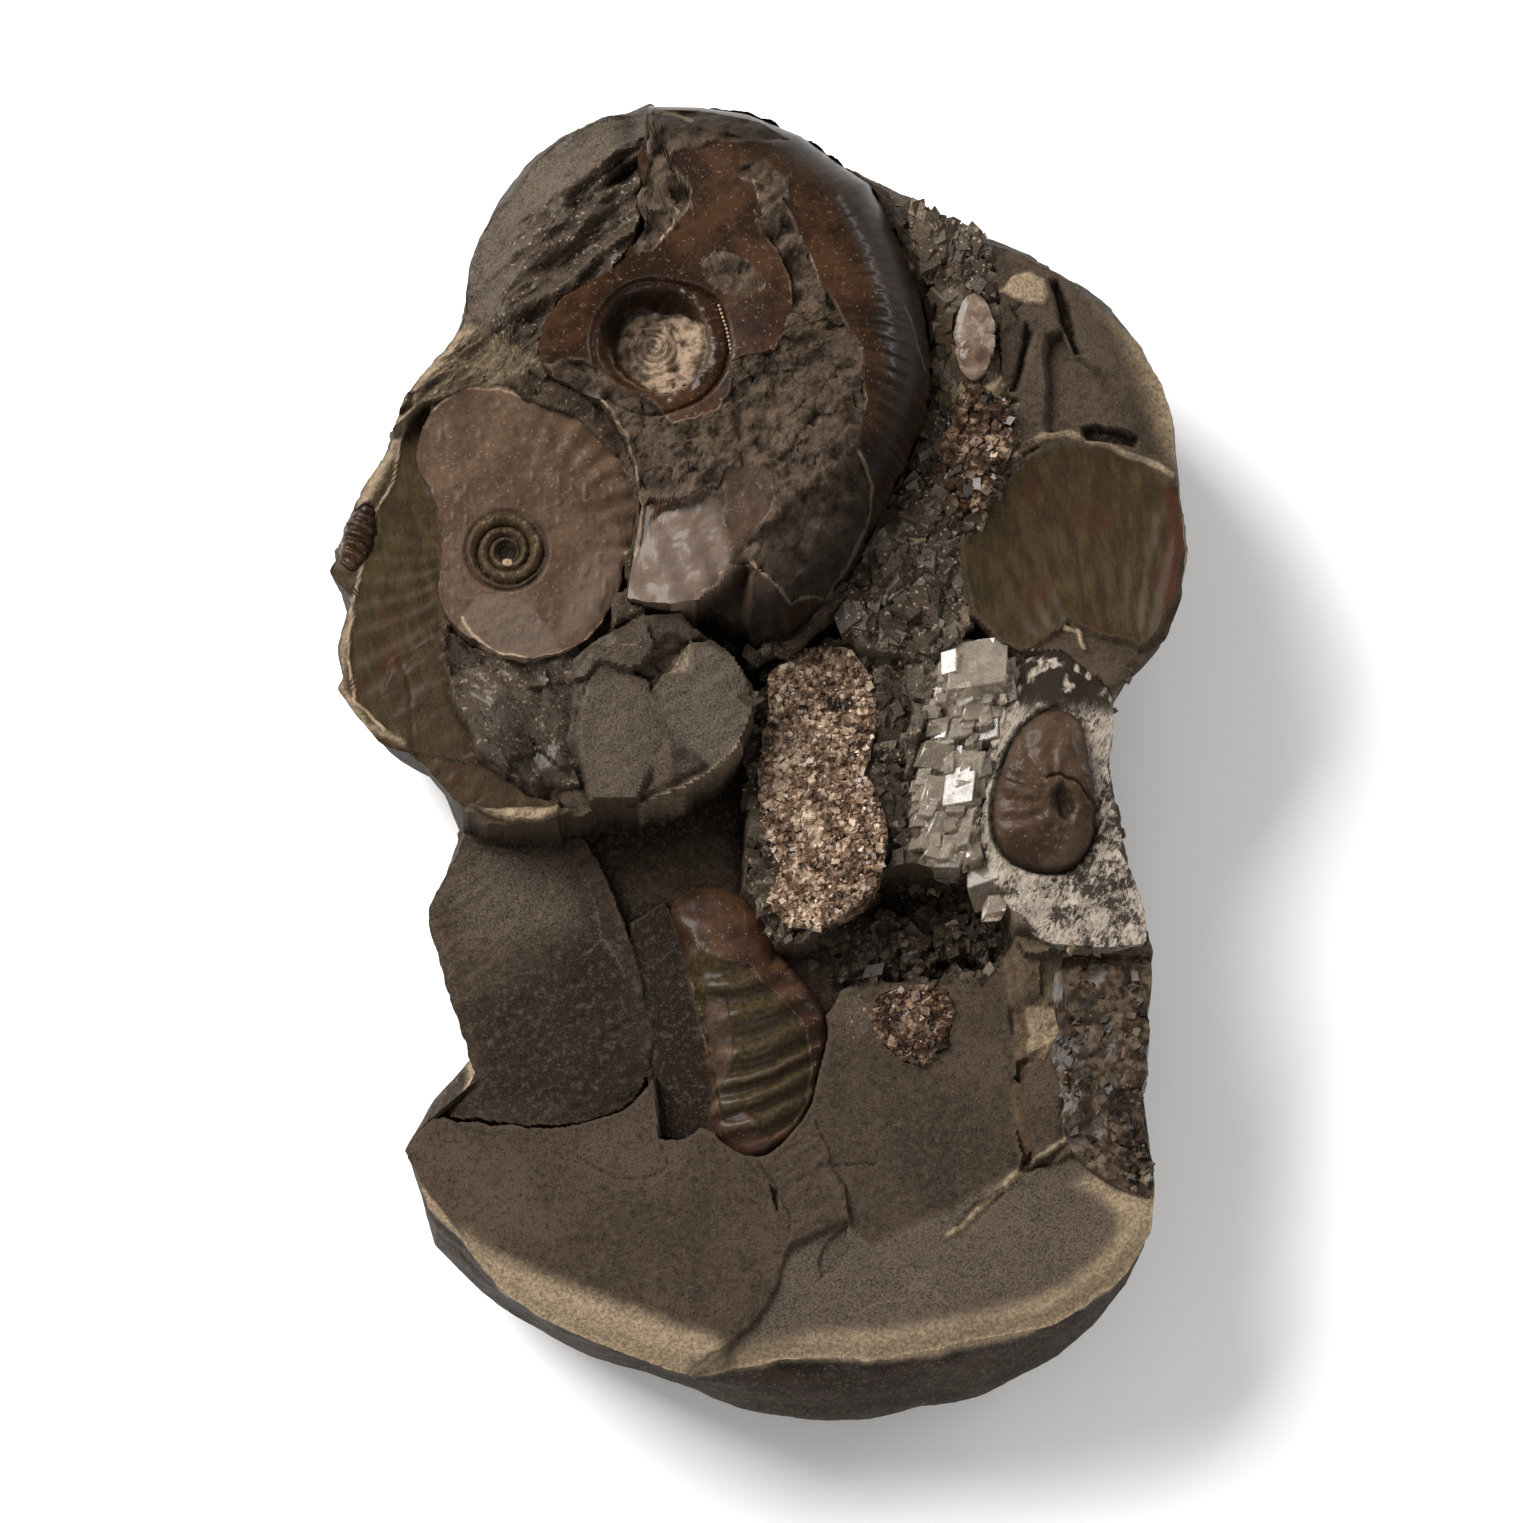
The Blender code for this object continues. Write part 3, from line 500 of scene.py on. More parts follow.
def stack_colours(*channels: Array) -> Array:
    """Three channels, each flattened, side by side."""
    return np.stack([np.clip(channel, 0.0, 1.0).ravel() for channel in channels], axis=1)


# Shader maths


class Link:
    """One output of a material's node. Python's operators on it add Math nodes."""

    def __init__(self, graph: "Graph", socket: Any) -> None:
        """Keeps the graph and the socket."""
        self.graph = graph
        self.socket = socket

    def _math(self, operation: str, first: Any, second: Any) -> "Link":
        """Adds a Math node with two inputs."""
        return self.graph.add("ShaderNodeMath", {"operation": operation}, {0: first, 1: second})

    def __add__(self, other: Any) -> "Link":
        """self + other."""
        return self._math("ADD", self, other)

    __radd__ = __add__

    def __sub__(self, other: Any) -> "Link":
        """self - other."""
        return self._math("SUBTRACT", self, other)

    def __rsub__(self, other: Any) -> "Link":
        """other - self."""
        return self._math("SUBTRACT", other, self)

    def __mul__(self, other: Any) -> "Link":
        """self * other."""
        return self._math("MULTIPLY", self, other)

    __rmul__ = __mul__

    def between(self, low: float, high: float) -> "Link":
        """0 below low and 1 above high, smooth between."""
        settings = {"interpolation_type": "SMOOTHSTEP"}
        return self.graph.add("ShaderNodeMapRange", settings, {0: self, 1: low, 2: high})


class Graph:
    """A material's node tree."""

    def __init__(self, name: str) -> None:
        """Starts a material with its Principled shader.

        Args:
            name: The material's name.
        """
        self.material = bpy.data.materials.new(name)
        self.material.use_nodes = True
        self.tree = self.material.node_tree
        self.shader = self.tree.nodes["Principled BSDF"]
        self.place = self.add("ShaderNodeTexCoord", {}, {}, "Object")

    def add(self, kind: str, settings: dict[str, Any], inputs: dict[Any, Any], output: Any = 0) -> Link:
        """Adds one node.

        Args:
            kind: The node's type.
            settings: Its properties; "stops" are a colour ramp's (position, colour) pairs.
            inputs: Socket name or number to a value or a Link.
            output: Which output to return.

        Returns:
            That output.
        """
        node = self.tree.nodes.new(kind)
        for name, value in settings.items():
            if name == "stops":
                while len(node.color_ramp.elements) < len(value):
                    node.color_ramp.elements.new(0.5)
                for element, (position, colour) in zip(node.color_ramp.elements, value):
                    element.position = position
                    element.color = (*colour, 1.0)
            else:
                setattr(node, name, value)
        for name, value in inputs.items():
            self.feed(node.inputs[name], value)
        return Link(self, node.outputs[output])

    def feed(self, socket: Any, value: Any) -> None:
        """Links or sets one socket.

        Args:
            socket: The socket.
            value: A Link, a colour or a number.
        """
        if isinstance(value, Link):
            self.tree.links.new(value.socket, socket)
        elif isinstance(value, tuple) and len(value) == 3 and socket.type == "RGBA":
            socket.default_value = (*value, 1.0)
        else:
            socket.default_value = value

    def surface(self, **inputs: Any) -> None:
        """Sets the Principled shader's sockets; an underscore in a name stands for a space."""
        for name, value in inputs.items():
            self.feed(self.shader.inputs[name.replace("_", " ")], value)

    def noise(self, feature: float, detail: float = 4.0, roughness: float = 0.55, stretch: Any = None,
              turn: Any = (0.0, 0.0, 0.0)) -> Link:
        """Adds a noise texture.

        Args:
            feature: Size of its features in mm.
            detail: Blender's detail.
            roughness: Blender's roughness.
            stretch: How many times longer the features are along each turned axis.
            turn: How the axes are turned, in radians.

        Returns:
            Its grey value.
        """
        place = self.place
        if stretch is not None:
            turned = {"Vector": place, "Rotation": turn, "Scale": stretch}
            place = self.add("ShaderNodeMapping", {"vector_type": "TEXTURE"}, turned)
        values = {"Vector": place, "Scale": 1 / (feature * MM), "Detail": detail, "Roughness": roughness}
        return self.add("ShaderNodeTexNoise", {}, values, "Fac")

    def grains(self, feature: float, output: str = "Color") -> Link:
        """One random colour for each grain of about that many mm."""
        values = {"Vector": self.place, "Scale": 1 / (feature * MM)}
        return self.add("ShaderNodeTexVoronoi", {}, values, output)

    def mix(self, share: Any, first: Any, second: Any) -> Link:
        """Mixes two colours.

        Args:
            share: Share of the second, from 0 to 1.
            first: The first colour.
            second: The second colour.

        Returns:
            The mixed colour.
        """
        node = self.tree.nodes.new("ShaderNodeMix")
        node.data_type = "RGBA"
        self.feed(node.inputs[0], share)
        self.feed(node.inputs[6], first)
        self.feed(node.inputs[7], second)
        return Link(self, node.outputs[2])

    def channels(self, attribute: str) -> tuple[Link, Link, Link]:
        """Reads a mesh attribute.

        Args:
            attribute: Its name.

        Returns:
            Its three channels.
        """
        colour = self.add("ShaderNodeAttribute", {"attribute_name": attribute}, {}, "Color")
        parts = self.add("ShaderNodeSeparateColor", {}, {0: colour}, "Red")
        outputs = parts.socket.node.outputs
        return parts, Link(self, outputs["Green"]), Link(self, outputs["Blue"])

    def red(self, colour: Link) -> Link:
        """The red channel of a colour."""
        return self.add("ShaderNodeSeparateColor", {}, {0: colour}, "Red")

    def bump(self, height: Any, distance: float, strength: float = 1.0, normal: Any = None) -> Link:
        """Turns heights into a bumped normal.

        Args:
            height: From 0 to 1.
            distance: What a height of 1 stands for, in mm.
            strength: Share of the bump.
            normal: A bump below this one.

        Returns:
            The normal.
        """
        values = {"Height": height, "Distance": distance * MM, "Strength": strength}
        if normal is not None:
            values["Normal"] = normal
        return self.add("ShaderNodeBump", {}, values, "Normal")


# Finishes


@dataclass(frozen=True)
class Mudstone:
    """Dull dark mudstone with a tan rind, olive shell moulds and cream broken edges.

    From the mesh it reads zones (rind, olive, cream), wear (edge, gloss, dark) and stains (rust, pale,
    flecks). The dark channel is darker rock in places and painted shade in hollows, cracks and on slabs
    turned from the light; the flecks are pale specks, painted cream so that a few read as glints.
    """

    dark: Colour = (0.010, 0.0066, 0.0043)
    middle: Colour = (0.040, 0.0275, 0.0182)
    light: Colour = (0.068, 0.048, 0.033)
    grain: Colour = (0.098, 0.070, 0.048)
    rind: Colour = (0.325, 0.244, 0.156)
    rind_deep: Colour = (0.150, 0.110, 0.069)
    rust: Colour = (0.042, 0.017, 0.008)
    olive: Colour = (0.026, 0.0165, 0.0068)
    olive_light: Colour = (0.049, 0.0315, 0.0130)
    cream: Colour = (0.300, 0.225, 0.150)
    chalk: Colour = (0.200, 0.164, 0.129)

    def material(self) -> Any:
        """Builds the material.

        Returns:
            The material.
        """
        graph = Graph("mudstone")
        rind, olive, cream = graph.channels("zones")
        edge, gloss, dark = graph.channels("wear")
        rust, pale, flecks = graph.channels("stains")
        cloud = graph.noise(20.0, 5.0, 0.6)
        grit = graph.noise(0.5, 3.0, 0.7)
        speck = graph.noise(1.5, 4.0, 0.65)
        tone = graph.mix(cloud.between(0.30, 0.70), self.middle, self.light)
        # Painted shade: the dark channel, from hollows, cracks and shaded slabs as well as darker rock,
        # darkens the base colour.
        tone = graph.mix(dark, tone, self.dark)
        tone = graph.mix(graph.noise(5.0, 4.0, 0.7).between(0.50, 0.36) * 0.12, tone, self.dark)
        tone = graph.mix(grit.between(0.48, 0.32) * 0.75, tone, self.dark)
        tone = graph.mix(grit.between(0.54, 0.72) * 0.8, tone, self.grain)
        tone = graph.mix(speck.between(0.52, 0.66) * 0.7, tone, self.light)
        tone = graph.mix(speck.between(0.46, 0.34) * 0.5, tone, self.dark)
        growth = graph.noise(2.4, 5.0, 0.7, stretch=(1.0, 3.6, 1.0), turn=(0.0, 0.0, 0.2))
        olive_tone = graph.mix(growth.between(0.38, 0.66), self.olive, self.olive_light)
        tone = graph.mix(olive, tone, olive_tone)
        tone = graph.mix(ragged(rust, speck, 1.4), tone, self.rust)
        tone = graph.mix(ragged(pale, grit, 2.2) * 0.5, tone, self.chalk)
        rind_tone = graph.mix(graph.noise(0.9, 3.0, 0.7).between(0.32, 0.68), self.rind_deep, self.rind)
        tone = graph.mix((rind + (speck - 0.5) * rind * 0.7).between(0.05, 0.85), tone, rind_tone)
        tone = graph.mix(ragged(cream, speck, 1.2), tone, self.cream)
        tone = graph.mix(ragged(edge, grit, 1.2) * 0.45, tone, self.light)
        # Painted glints: sparse pale flecks are painted cream in the base colour so that they read as glints,
        # with lower roughness.
        flecks_and_painted_glints = graph.red(graph.grains(0.55)).between(0.955, 0.975) * flecks
        tone = graph.mix(flecks_and_painted_glints, tone, self.cream)
        rough = 0.74 - gloss * 0.30 - (speck - 0.5) * 0.2 - flecks_and_painted_glints * 0.3
        relief = graph.bump(graph.noise(2.6, 5.0, 0.75), 0.9, 0.55 + gloss * 0.4)
        relief = graph.bump(grit, 0.6, 0.9, relief)
        graph.surface(
            Base_Color=tone, Roughness=rough, Normal=relief, Specular_IOR_Level=0.08,
            Coat_Weight=gloss * 0.24, Coat_Roughness=0.28,
        )
        return graph.material


@dataclass(frozen=True)
class Shell:
    """Fossil shell: a thin polished layer over duller stone.

    It reads zones (bare rock, cream edge, olive) and wear (edge, pearl, dark) from the mesh. The dark channel
    is mostly painted shade, in hollows, pits, cracks, grooves, round rims and on sides turned from the light,
    with some dark streaks.
    """

    name: str
    deep: Colour
    warm: Colour
    roughness: float
    coat: float
    bare: Colour = (0.098, 0.068, 0.046)
    bare_dark: Colour = (0.017, 0.0110, 0.0072)
    cream: Colour = (0.300, 0.215, 0.145)
    pearl: Colour = (0.125, 0.092, 0.070)
    olive: Colour = (0.016, 0.0100, 0.0038)
    olive_light: Colour = (0.040, 0.0265, 0.0105)
    shade: Colour = (0.006, 0.0045, 0.0035)

    def material(self) -> Any:
        """Builds the material.

        Returns:
            The material.
        """
        graph = Graph(self.name)
        bare, cream, olive = graph.channels("zones")
        edge, pearl, dark = graph.channels("wear")
        cloud = graph.noise(12.0, 5.0, 0.7)
        grit = graph.noise(0.5, 3.0, 0.7)
        speck = graph.noise(1.2, 5.0, 0.75)
        tone = graph.mix(cloud.between(0.40, 0.60), self.deep, self.warm)
        tone = graph.mix(speck.between(0.55, 0.72) * 0.6, tone, self.bare)
        tone = graph.mix(grit.between(0.46, 0.32) * 0.5, tone, self.bare_dark)
        dots = graph.red(graph.grains(0.32)).between(0.955, 0.97) * speck.between(0.48, 0.58)
        tone = graph.mix(dots * 0.4, tone, self.cream)
        rock = graph.mix(graph.noise(4.0, 6.0, 0.75).between(0.30, 0.66), self.bare_dark, self.bare)
        rock = graph.mix(grit.between(0.56, 0.76) * 0.6, rock, self.pearl)
        tone = graph.mix(olive, tone, graph.mix(speck.between(0.35, 0.65), self.olive, self.olive_light))
        tone = graph.mix(bare, tone, rock)
        tone = graph.mix(pearl * (0.8 + (speck - 0.5) * 0.9), tone, self.pearl)
        tone = graph.mix(ragged(cream, speck, 1.6), tone, self.cream)
        tone = graph.mix(edge * 0.35, tone, self.pearl)
        # Painted shade: the dark channel takes the colour towards the near-black shade colour.
        tone = graph.mix(dark * 0.9, tone, self.shade)
        rough = self.roughness + bare * (0.72 - self.roughness) + (speck - 0.5) * 0.22 + cream * 0.2
        relief = graph.bump(graph.noise(1.8, 5.0, 0.75), 1.1, bare * 0.9 + 0.1)
        relief = graph.bump(grit, 0.4, bare * 0.8 + 0.12, relief)
        coat = (1 - bare) * (1 - dark) * self.coat
        graph.surface(
            Base_Color=tone, Roughness=rough, Normal=relief, Specular_IOR_Level=0.07, Coat_Weight=coat,
            Coat_Roughness=0.16,
        )
        return graph.material


@dataclass(frozen=True)
class GrainyCalcite:
    """A mass of small crystals, each grain with its own tone, some of them clear and glinting.

    It reads zones (tint, fresh faces) from the mesh.
    """

    name: str
    dark: Colour
    middle: Colour
    pale: Colour
    grain: float
    roughness: float = 0.3
    coat: float = 0.2

    def material(self) -> Any:
        """Builds the material.

        Returns:
            The material.
        """
        graph = Graph(self.name)
        tint, fresh, _ = graph.channels("zones")
        lot = graph.red(graph.grains(self.grain))
        cloud = graph.noise(5.0, 4.0, 0.7)
        share = tint * 0.55 + lot * 0.3 + (cloud - 0.5) * 1.1 + 0.05
        stops = [(0.14, self.dark), (0.45, self.middle), (0.86, self.pale)]
        tone = graph.add("ShaderNodeValToRGB", {"stops": stops}, {0: share}, "Color")
        tone = graph.mix(fresh * 0.8, tone, self.pale)
        relief = graph.bump(graph.noise(0.7, 4.0, 0.7), 0.16, 0.6)
        rough = self.roughness + (lot - 0.5) * 0.35
        graph.surface(
            Base_Color=tone, Roughness=rough, Normal=relief, Specular_IOR_Level=0.15, Coat_Weight=self.coat,
            Coat_Roughness=0.1,
        )
        return graph.material


@dataclass(frozen=True)
class FibrousCalcite:
    """White, fibrous calcite with dark flecks that all run one way. It reads zones (tint, fresh, dark), where
    dark is painted shadow round the small shell and dark glassy crystal.
    """

    white: Colour = (0.315, 0.265, 0.215)
    grey: Colour = (0.085, 0.066, 0.050)
    dark: Colour = (0.018, 0.0135, 0.0095)
    fibre_turn: float = math.radians(65)

    def material(self) -> Any:
        """Builds the material.

        Returns:
            The material.
        """
        graph = Graph("white_calcite")
        tint, fresh, shade = graph.channels("zones")
        turn = (0.0, 0.0, self.fibre_turn)
        fibre = graph.noise(0.8, 5.0, 0.8, stretch=(2.6, 1.0, 1.0), turn=turn)
        fleck = graph.noise(1.0, 5.0, 0.85, stretch=(2.2, 1.0, 1.0), turn=turn)
        cloud = graph.noise(7.0, 5.0, 0.7)
        tone = graph.mix(fibre.between(0.34, 0.58), self.grey, self.white)
        tone = graph.mix((fleck + (cloud - 0.5) * 1.4).between(0.50, 0.63) * 0.95, tone, self.dark)
        tone = graph.mix(tint.between(0.25, 0.0) * 0.5, tone, self.grey)
        # Painted shadow and dark crystal: the shade channel darkens the colour.
        tone = graph.mix((shade + (fleck - 0.5) * shade).between(0.2, 0.7), tone, self.dark)
        tone = graph.mix(fresh * 0.7, tone, self.white)
        relief = graph.bump(fibre, 0.3, 0.6)
        graph.surface(Base_Color=tone, Roughness=0.5 + shade * 0.3, Normal=relief, Specular_IOR_Level=0.05)
        return graph.material


@dataclass(frozen=True)
class ClearCalcite:
    """Clear to milky cleavage blocks that light goes through. It reads zones (milk) from the mesh."""

    clear: Colour = (0.68, 0.55, 0.42)
    milk: Colour = (0.90, 0.77, 0.62)
    absorption: Colour = (0.80, 0.70, 0.58)

    def material(self) -> Any:
        """Builds the material.

        Returns:
            The material.
        """
        graph = Graph("clear_calcite")
        milk, _, _ = graph.channels("zones")
        veil = graph.noise(2.2, 5.0, 0.7)
        tone = graph.mix((milk + (veil - 0.5) * 1.6).between(0.1, 0.9), self.clear, self.milk)
        plates = graph.noise(1.1, 4.0, 0.7, stretch=(1.0, 1.0, 0.25), turn=(0.5, 0.3, 0.2))
        relief = graph.bump(plates, 0.05, 0.4)
        rough = 0.20 + veil.between(0.45, 0.65) * 0.25
        graph.surface(
            Base_Color=tone, Roughness=rough, Normal=relief, Transmission_Weight=0.86, IOR=1.6,
        )
        volume = {"Color": self.absorption, "Density": 14.0}
        absorbing = graph.add("ShaderNodeVolumeAbsorption", {}, volume, "Volume")
        graph.feed(graph.tree.nodes["Material Output"].inputs["Volume"], absorbing)
        return graph.material


def ragged(share: Link, noise: Link, strength: float) -> Link:
    """A share from the mesh, its border broken up by noise of that strength."""
    return (share + (noise - 0.5) * share * strength).between(0.2, 0.8)


ROCK = Mudstone()
BROWN_SHELL = Shell("brown_shell", (0.0140, 0.0058, 0.0024), (0.036, 0.0160, 0.0066), 0.34, 0.14)
SATIN_SHELL = Shell("satin_shell", (0.024, 0.0125, 0.0072), (0.052, 0.0310, 0.0190), 0.50, 0.07)
GREY_SHELL = Shell("grey_shell", (0.046, 0.0265, 0.0160), (0.076, 0.0470, 0.0290), 0.55, 0.05)
OLIVE_SHELL = Shell("olive_shell", (0.024, 0.0105, 0.0055), (0.050, 0.0240, 0.0125), 0.46, 0.10)
SUGAR = GrainyCalcite(
    "sugar_calcite", (0.017, 0.0096, 0.0060), (0.160, 0.098, 0.060), (0.55, 0.420, 0.310), 1.1,
)
BROWN_GRAINS = GrainyCalcite(
    "brown_calcite", (0.009, 0.0050, 0.0030), (0.050, 0.0260, 0.0145), (0.28, 0.190, 0.125), 1.3,
)
DARK_GRAINS = GrainyCalcite(
    "dark_calcite", (0.008, 0.0050, 0.0031), (0.029, 0.0176, 0.0105), (0.115, 0.080, 0.053), 1.4, 0.42, 0.05,
)
PINK = GrainyCalcite("pink_calcite", (0.062, 0.038, 0.025), (0.118, 0.080, 0.056), (0.25, 0.188, 0.145), 2.0)
FIBRES = FibrousCalcite()
MILKY = GrainyCalcite(
    "milky_calcite", (0.020, 0.0145, 0.010), (0.115, 0.088, 0.066), (0.42, 0.345, 0.275), 1.2, 0.2,
)


# The rock's broken face


class Break(Enum):
    """How a slab of the rock broke."""

    SMOOTH = "smooth"
    STREAKED = "streaked"
    CHIPPED = "chipped"
    SPLINTERED = "splintered"
    LAYERED = "layered"
    FLAKED = "flaked"
    RUBBLE = "rubble"


@dataclass(frozen=True)
class Tones:
    """How much of each tone a surface has, from 0 to 1. Dark is darker rock in places, and painted shade in
    recesses, cracks and on faces turned from the light in others.
    """

    rind: float = 0.0
    olive: float = 0.0
    cream: float = 0.0
    gloss: float = 0.0
    dark: float = 0.0
    rust: float = 0.0
    pale: float = 0.0
    flecks: float = 0.0


@dataclass(frozen=True)
class Slab:
    """One broken layer of the rock: an outline with a tilted, slightly crowned top."""

    pixels: Pixels
    height: float
    fall: tuple[float, float] = (0.0, 0.0)
    crown: float = 0.0
    edge: float = 0.9
    broke: Break = Break.SMOOTH
    tones: Tones = Tones()


@dataclass(frozen=True)
class Patch:
    """A patch of tone with soft edges, pressed in by its sink."""

    pixels: Pixels
    height: float
    soft: tuple[float, float] = (-0.8, 0.8)
    sink: float = 0.0
    tones: Tones = Tones()


@dataclass(frozen=True)
class Line:
    """A line of tone on the rock, raised by its lift."""

    pixels: Pixels
    height: float
    width: float
    lift: float = 0.0
    tones: Tones = Tones()


FACE_EDGE = (
    (656, 100, 70), (700, 105, 68), (748, 113, 66), (802, 134, 66), (843, 164, 64), (880, 184, 62),
    (922, 208, 62), (988, 243, 61), (1020, 252, 60), (1057, 269, 60), (1092, 292, 59), (1120, 318, 58),
    (1141, 343, 57), (1161, 381, 56), (1174, 420, 57), (1177, 473, 58), (1182, 506, 59), (1185, 540, 59),
    (1182, 595, 59), (1166, 639, 59), (1148, 654, 59), (1136, 667, 58), (1120, 687, 58), (1110, 710, 59),
    (1110, 743, 59), (1106, 766, 59), (1110, 794, 59), (1118, 850, 59), (1133, 880, 58), (1144, 920, 57),
    (1151, 950, 54), (1143, 1010, 53), (1144, 1050, 52), (1140, 1085, 52), (1145, 1140, 51), (1152, 1165, 50),
    (1153, 1200, 47), (1150, 1229, 46), (1137, 1257, 46), (1122, 1276, 46), (1099, 1295, 46),
    (1051, 1324, 46),
    (1019, 1331, 46), (971, 1339, 46), (923, 1350, 46), (869, 1358, 46), (837, 1354, 46), (780, 1356, 46),
    (748, 1361, 47), (686, 1371, 48), (635, 1354, 49), (584, 1333, 49), (533, 1310, 49), (502, 1287, 49),
    (464, 1240, 49), (430, 1205, 49), (419, 1172, 50), (405, 1151, 51), (415, 1133, 51), (426, 1112, 51),
    (443, 1114, 47), (469, 1090, 47), (476, 1074, 48), (461, 1030, 49), (448, 992, 50), (438, 959, 50),
    (428, 913, 51), (446, 877, 51), (462, 844, 51), (464, 822, 52), (442, 792, 60), (424, 768, 64),
    (409, 750, 66), (396, 750, 67), (381, 743, 67), (366, 725, 67), (348, 705, 67), (340, 690, 67),
    (344, 674, 67), (339, 650, 67), (345, 623, 67), (352, 603, 67), (345, 588, 68), (335, 579, 68),
    (330, 570, 68), (339, 552, 69), (351, 524, 69), (358, 501, 69), (371, 475, 69), (389, 450, 70),
    (398, 420, 70), (410, 395, 70), (430, 373, 70), (443, 358, 70), (458, 338, 70), (466, 317, 70),
    (464, 292, 69), (468, 266, 68), (476, 243, 68), (496, 207, 69), (514, 190, 70), (532, 159, 71),
    (560, 135, 71), (600, 115, 71), (640, 104, 70),
)

WIDEST = (
    (656, 100), (700, 105), (748, 113), (802, 134), (843, 164), (922, 208), (988, 243), (1057, 269),
    (1092, 292), (1120, 318), (1141, 343), (1161, 381), (1174, 420), (1185, 540), (1182, 595), (1166, 639),
    (1136, 667), (1110, 710), (1106, 766), (1118, 850), (1133, 880), (1150, 950), (1143, 1010),
    (1140, 1085), (1152, 1165), (1153, 1200), (1146, 1248), (1127, 1286), (1095, 1327), (1060, 1356),
    (1019, 1378), (977, 1398), (923, 1407), (869, 1420), (812, 1420), (742, 1410), (696, 1392), (648, 1374),
    (587, 1357), (533, 1329), (477, 1292), (434, 1246), (418, 1193), (405, 1151), (426, 1114), (476, 1078),
    (461, 1030), (438, 959), (428, 913), (462, 844), (442, 792), (409, 750), (381, 743), (348, 705),
    (339, 674), (345, 623), (345, 588), (330, 570), (351, 524), (371, 475), (389, 450), (410, 395),
    (443, 358), (466, 317), (468, 266), (496, 207), (532, 159), (560, 135), (600, 115),
)

